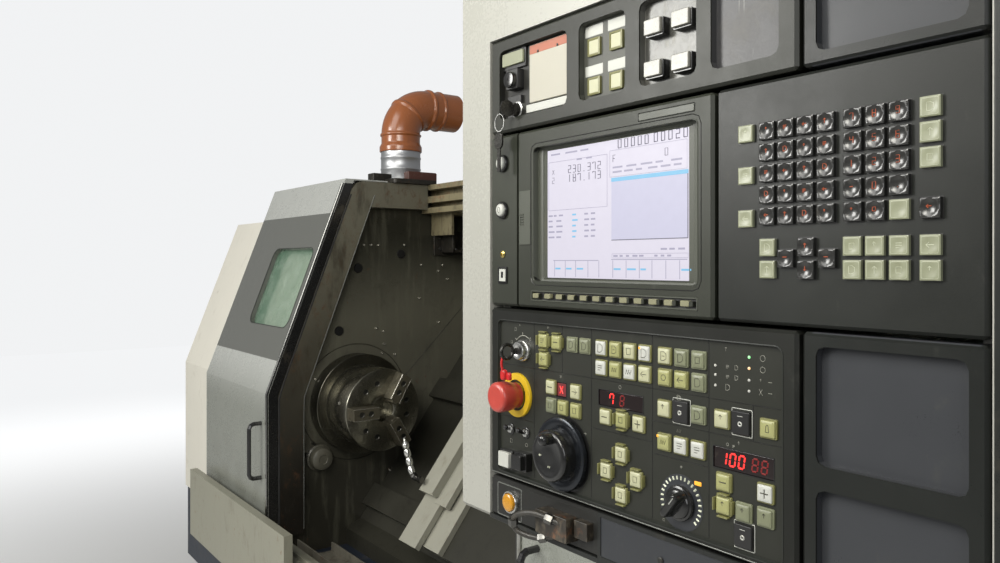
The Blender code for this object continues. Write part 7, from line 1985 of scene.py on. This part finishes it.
    def strip(self) -> None:
        """The strip at the left: rims of the round buttons, a brass screw and the white square switch."""
        u = 0.157 * DISPLAY / 2
        rims = [disc(u, z, mm(11.2, -0.2, 11.2, 3, 10.4, 4.2, 9.2, 4.2, 8.8, 1), 40)
            for z in (1.7271, 1.6669)]
        rims.append(hoop(0.0195, 0.0385, 1.572, 1.594, mm(0, -0.2, 0.4, 1.8, 1.8, 2, 2.4, -0.2), 0.001))
        rims.append(boss(0.029, 1.5836, 0.005, 0.0085, 0.0021, 0.0024, 0.0006))
        Grade.GLOSS_BLACK.part("strip_rims", joined(rims))
        Grade.WHITE.part("strip_switch", boss(0.029, 1.583, 0.013, 0.016, -0.0002, 0.0022, 0.0008), 50)
        screw = disc(0.0286, 1.61, mm(4.8, -0.2, 4.8, 1.2, 3.6, 2.4, 2, 2.6, 1.6, 1), 24)
        Grade.BRASS.part("strip_screw", screw)
        for name, z in (("power_on_button", 1.7271), ("power_off_button", 1.6669)):
            cap = disc(u, z, mm(8.2, -3, 8.2, 4.6, 7.8, 6, 6.6, 7, 4, 7.4, 1, 7.5), 40)
            made = Grade.WHITE.part(f"{name}_cap", cap, body=name)
            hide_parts(name)
            mark = [line([(u, z - 0.0028), (u, z + 0.0028)], 0.0007,
                0.00745)] if name == "power_on_button" else [swept([face(u + 0.0026 * math.cos(a),
                z + 0.0034 * math.sin(a), 0.00738) for a in np.linspace(0, 2 * math.pi, 17)], 0.0004, 4)]
            Grade.INK.part(f"{name}_mark", joined(mark), 60, body=name)

    def build(self) -> None:
        """Dress the module and add the picture, bezel and strip."""
        dress("display_module", PanelPaint(((0.09, 0.348, 1.576, 1.741, (0.01, 0.01, 0.01)),),
            (0.022, 0.024, 0.018), 0.36).build("display_paint"))
        dress("screen", Paint((0.02, 0.02, 0.022), 0.12, dirt=0.1, coat=0.5).build("bezel_glass"))
        for part in (self.picture, self.bezel, self.strip):
            part()


@dataclass
class SwitchRow:
    """The top row: selector, plates, small keys, switches and the lock with its hanging keys."""

    def at(self, share: Tuple[float, float]) -> Tuple[float, float]:
        """A place on the row from shares of its width and height."""
        return share_place((0.0, COLUMN), (ROWS[3], ROWS[4]), share)

    def first_recess(self) -> None:
        """The pale box in its holder, the selector's body, the cream plate and the white strip."""
        black = [stretch_box(0.0145, 0.068, 1.8474, 1.8722, -RECESS, -0.006),
            stretch_box(0.0375, 0.0608, 1.8196, 1.8444, -RECESS, 0.002, 0.0012),
            stretch_box(0.033, 0.06, 1.785, 1.812, -RECESS, -0.004)]
        Grade.BLACK.part("recess_black_parts", joined(black), 50)
        Grade.KEY_PALE.part("recess_pale_box",
            stretch_box(0.0225, 0.065, 1.8523, 1.8686, -0.008, -0.003, 0.001), 50)
        Grade.CARD.part("recess_plate", stretch_box(0.0757, 0.148, 1.7985, 1.87, -RECESS, -0.006), 50)
        Grade.TERRACOTTA.part("recess_plate_band",
            stretch_box(0.0762, 0.1475, 1.8582, 1.8696, -0.007, -0.0058), 50)
        Grade.WHITE.part("recess_strip", stretch_box(0.071, 0.15, 1.7862, 1.7963, -RECESS, -0.0045), 50)
        rivets = [disc(u, 1.86, mm(1.6, -6.2, 1.6, -5.2, 0.8, -4.8), 12) for u in (0.093, 0.13)]
        Grade.BLACK.part("recess_rivets", joined(rivets))

    def second_recess(self) -> None:
        """White blank labels and the framed buttons below them."""
        labels = [stretch_box(u0, u1, z0, z1, -RECESS, -RECESS + 0.0004, 0.0005)
            for u0, u1 in ((0.176, 0.205), (0.213, 0.241))
            for z0, z1 in ((1.857, 1.8695), (1.812, 1.824))]
        Grade.WHITE.part("switch_labels", joined(labels), 50)
        frames, caps = [], []
        for u, z in mm(192.5, 1844.1, 228, 1844.1, 192.5, 1799.7, 228, 1799.7):
            frames.append(hoop(u - 0.0102, u + 0.0102, z - 0.0102, z + 0.0102,
                ((0.0, -RECESS), (0.0002, -0.0062), (0.0024, -0.0058), (0.0028, -0.0066)), 0.0012))
            caps.append(boss(u, z, 0.0196, 0.0196, -RECESS, -0.0064, 0.001))
        Grade.KEY_OLIVE.part("switch_key_frames", joined(frames))
        Grade.KEY_CREAM.part("switch_key_caps", joined(caps))

    def third_recess(self) -> None:
        """Four pale caps on tall black bodies over a dusty glossy plate."""
        bodies, caps = [], []
        for share_u, share_z in mm(634, 619, 715, 619, 634, 273, 715, 273):
            u, z = self.at((share_u, share_z))
            bodies.append(boss(u + 0.0008, z - 0.0008, 0.024, 0.0185, -RECESS, 0.0012, 0.0012))
            caps.append(boss(u, z, 0.0222, 0.0158, 0.0008, 0.0046, 0.001, 0.0006))
        Grade.GLOSS_BLACK.part("switch_bodies", joined(bodies), 50)
        Grade.CAP_GREY.part("switch_caps", joined(caps), 50)
        Grade.DUSTY.part("switch_floor", stretch_box(0.27, 0.345, 1.785, 1.8718, -RECESS - 0.0002,
            -RECESS + 0.0003, 0.004), 50)
        Grade.BLANK.part("blank_floor", stretch_box(0.3648, 0.4372, 1.785, 1.8718, -RECESS - 0.0002,
            -RECESS + 0.0003, 0.004), 50)

    def hanging_keys(self) -> None:
        """The ring and two keys that hang from the upper lock."""
        u, z = self.at((0.1135, 0.228))
        ring = disc(u, z, [(0.0112, -RECESS), (0.0112, -0.004), (0.01, -0.003), (0.009, -0.003),
            (0.0088, -0.006)], 40)
        Grade.BRIGHT.part("upper_lock_ring", ring)
        loop = [face(u - 0.011 + 0.0095 * math.cos(a), z - 0.017 + 0.011 * math.sin(a), 0.015)
            for a in np.linspace(0, 2 * math.pi, 33)]
        ring = swept(loop, 0.0007, 6)
        bows = [slab(face(u - 0.0115, z - 0.04, 0.0145), 0.0165, 0.021, mm(0, 0, 2.2, 0, 2.6, 0.6),
            0.0075, steps=6), slab(face(u - 0.011, z - 0.064, 0.015), 0.006, 0.03,
            [(0.0, 0.0), (0.0016, 0.0)], 0.001, steps=2)]
        Grade.BRIGHT.part("hanging_ring", ring, 60, body="upper_key_switch")
        Grade.KEY_IRON.part("hanging_keys", joined(bows), body="upper_key_switch")

    def build(self) -> None:
        """Dress the top row's nodes and add its parts."""
        fields = ((0.02, 0.154, 1.784, 1.873, (0.02, 0.02, 0.018)),
            (0.173, 0.2495, 1.784, 1.873, (0.06, 0.062, 0.052)),
            (0.268, 0.347, 1.784, 1.873, (0.1, 0.1, 0.09)),
            (0.362, 0.439, 1.784, 1.873, (0.05, 0.05, 0.052)))
        dress("switch_module", PanelPaint(fields, (0.018, 0.019, 0.015), 0.34).build("switch_paint"))
        for node in ("upper_blank_module", "lower_blank_module"):
            dress(node, PanelPaint(((0.47, 0.605, 1.27, 1.89, (0.034, 0.036, 0.04)),),
                (0.009, 0.01, 0.009), 0.32).build(f"{node}_paint"))
        dress("connector_module", PanelPaint(((0.0, 0.0, 1.2, 1.3, (0.02, 0.02, 0.02)),),
            (0.014, 0.014, 0.013), 0.34).build("connector_paint"))
        body = disc(0.0495, 1.8308, [(0.0102, -RECESS + 0.0005), (0.0102, 0.0064), (0.0096, 0.0078),
            (0.006, 0.0084), (0.0012, 0.0084), (0.001, 0.006)], 40)
        made = Grade.GLOSS_BLACK.part("selector_face", body, body="selector_knob")
        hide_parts("selector_knob")
        for node in ("upper_key_switch", "lower_key_switch"):
            dress(node, Grade.KEY_IRON.made())
        for part in (self.first_recess, self.second_recess, self.third_recess, self.hanging_keys):
            part()


@dataclass
class Housing:
    """The console's housing, its dark trim, the amber button and the open connector bay."""

    def trims(self) -> None:
        """The dark border right of the modules and the shadow gap round them."""
        trim = [stretch_box(0.6145, 0.6848, 1.264, 2.048, -0.008, 0.0006, 0.003),
            stretch_box(0.652, 0.6848, 1.264, 2.048, 0.0002, 0.0014, 0.003)]
        Grade.TRIM.part("console_right_trim", joined(trim))

    def bay(self) -> None:
        """The bay under the sheet: blue-grey plate, worn connector block and its formed pipe."""
        Grade.BLUE_PLATE.part("bay_plate", stretch_box(0.211, 0.453, 1.273, 1.317, -0.0004, 0.0003,
            0.001), 50)
        frames = [hoop(0.206, 0.458, 1.268, 1.322, mm(0, -0.3, 0.6, 1.2, 5, 1.2, 5.8, -0.2), 0.004),
            stretch_box(0.0, 0.46, 1.264, 1.27, -0.008, 0.001, 0.0012)]
        frames.append(slab(face(0.3, 1.295), 0.007, 0.007, mm(0, 0, 1.6, 0, 2.2, 0.8), 0.003))
        Grade.TRIM.part("bay_plate_frame", joined(frames))
        block = [boss(0.145, 1.293, 0.056, 0.028, -0.0004, 0.018, 0.002),
            boss(0.188, 1.297, 0.022, 0.02, -0.0004, 0.01, 0.001)]
        pipe = curve_through([face(0.16, 1.298, 0.014), face(0.128, 1.306, 0.03),
            face(0.098, 1.295, 0.034), face(0.096, 1.278, 0.03), face(0.118, 1.272, 0.018),
            face(0.14, 1.278, 0.01)], 10)
        Grade.HOSE.part("bay_formed_pipe", swept(pipe, 0.0034, 12), 60)
        nuts = [turned(mm(6.2, -4, 6.2, 4, 4.8, 6), pipe[index], pipe[index + 1] - pipe[index], 6)
            for index in (4, 24, 44)]
        Grade.DARK_STEEL.part("bay_pipe_nuts", joined(nuts))
        Grade.WORN_BLOCK.part("bay_block", joined(block))

    def build(self) -> None:
        """Dress the housing and add its parts."""
        dress("console_housing", Grade.HOUSING.made())
        self.trims()
        self.bay()
        u, z = share_place((0.0, COLUMN), (ROWS[0], ROWS[1]), (0.1015, 0.49))
        lens = disc(u, z, mm(11.2, 3.4, 11.2, 5, 10.8, 6.6, 9.6, 7.4, 6, 7.8, 1, 7.9), 48)
        made = Grade.AMBER.part("amber_lens", lens, body="amber_button")
        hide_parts("amber_button")
        ring = disc(u, z, mm(14.2, -0.3, 14.2, 3.6, 13.6, 4.4, 12.4, 4.4, 11.9, 3.6, 11.9, 0.2, 10, 0.1),
            48)
        Grade.BRIGHT.part("amber_ring", ring)
        recess = hoop(0.0165, 0.068, 1.2725, 1.315, mm(0, -0.3, 0.4, 0.4, 1.4, 0.4, 2, -0.3), 0.003)
        Grade.LIP.part("amber_frame", recess, slot="panel_plastic")


# Floor, light and camera

@dataclass
class Studio:
    """The floor, the light and the camera at the photograph's angle."""

    lens: float = 29.2
    place: Point = (2.05, -1.52, 1.6)
    heading: Point = (-0.8063, 0.5915, 0.0)
    shift: float = -0.0195

    def build(self) -> None:
        """Make the floor, lamps, world and camera."""
        floor_mesh = bpy.data.meshes.new("floor")
        floor_mesh.from_pydata([(-14, -14, 0), (14, -14, 0), (14, 14, 0), (-14, 14, 0)], [],
            [(0, 1, 2, 3)])
        floor = bpy.data.objects.new("floor", floor_mesh)
        bpy.context.scene.collection.objects.link(floor)
        tree = Tree("floor_pale")
        across, depth, _ = tree.axes(tree.place())
        distance = (across * across + depth * depth) ** 0.5
        path = tree.node("ShaderNodeLightPath", {}, {}, "Is Camera Ray")
        shade = tree.blend(distance.span(5.0, 9.0) * path, (0.62, 0.62, 0.61), (0.0, 0.0, 0.0))
        glow = tree.blend(distance.span(1.6, 7.0) * path, (0.0, 0.0, 0.0), (0.86, 0.87, 0.88))
        floor_mesh.materials.append(tree.finish({"Base Color": shade, "Roughness": 0.6,
            "Emission Color": glow, "Emission Strength": 1.0}))
        self.world()
        self.lamp("key_light", (0.4, -4.2, 4.6), (0.6, 0.0, 1.2), 3.0, 115.0, (1.0, 0.985, 0.95))
        self.lamp("side_light", (5.2, -3.2, 3.0), (0.6, -0.5, 1.3), 2.4, 60.0, (0.98, 0.985, 1.0))
        self.lamp("glare_light", (-1.5, -4.7, 2.9), (0.9, -0.9, 1.7), 1.5, 125.0, (1.0, 0.99, 0.95))
        self.lamp("room_light", (1.6, -2.2, 2.6), (-0.86, 0.0, 1.2), 0.9, 32.0, (1.0, 0.97, 0.88))
        camera = bpy.data.cameras.new("camera")
        camera.lens = self.lens
        camera.sensor_width = 36.0
        camera.shift_y = self.shift
        camera.clip_start = 0.01
        made = bpy.data.objects.new("camera", camera)
        made.location = self.place
        made.rotation_euler = Vector(self.heading).to_track_quat("-Z", "Y").to_euler()
        bpy.context.scene.collection.objects.link(made)
        bpy.context.scene.camera = made
        bpy.context.scene.view_settings.view_transform = "Standard"

    def world(self) -> None:
        """A pale even sky, brighter where the camera, a mirror or glass sees it."""
        world = bpy.data.worlds.new("studio")
        world.use_nodes = True
        nodes, links = world.node_tree.nodes, world.node_tree.links
        nodes.clear()
        path = nodes.new("ShaderNodeLightPath")
        most = nodes.new("ShaderNodeMath")
        most.operation = "MAXIMUM"
        links.new(path.outputs["Is Camera Ray"], most.inputs[0])
        links.new(path.outputs["Is Transmission Ray"], most.inputs[1])
        strength = nodes.new("ShaderNodeMapRange")
        strength.inputs["To Min"].default_value = 0.3
        strength.inputs["To Max"].default_value = 0.95
        links.new(most.outputs[0], strength.inputs["Value"])
        background = nodes.new("ShaderNodeBackground")
        background.inputs["Color"].default_value = (0.93, 0.94, 0.95, 1.0)
        links.new(strength.outputs[0], background.inputs["Strength"])
        out = nodes.new("ShaderNodeOutputWorld")
        links.new(background.outputs[0], out.inputs["Surface"])
        bpy.context.scene.world = world

    def lamp(self, name: str, place: Point, target: Point, size: float, power: float,
            colour: Colour) -> None:
        """One soft square lamp aimed at a point.

        Args:
            name: the lamp's name.
            place: where it stands.
            target: the point it is aimed at.
            size: the side of its square.
            power: its power in watts.
            colour: its colour.
        """
        light = bpy.data.lights.new(name, "AREA")
        light.size = size
        light.energy = power
        light.color = colour
        made = bpy.data.objects.new(name, light)
        made.location = place
        made.rotation_euler = (Vector(target) - Vector(place)).to_track_quat("-Z", "Y").to_euler()
        bpy.context.scene.collection.objects.link(made)


def main() -> None:
    """Build every sub-assembly in order."""
    logging.basicConfig(level=logging.INFO, format="%(name)s: %(message)s")
    assemblies = (Studio(), Door("left", -0.81, -1), Door("right", 0.67, 1), WorkRoom(), Covers(),
        Drive(), Slides(), Keyboard(), Operation(), Display(), SwitchRow(), Housing())
    for assembly in assemblies:
        assembly.build()
        LOG.info("built %s", type(assembly).__name__)


if __name__ == "__main__":
    main()
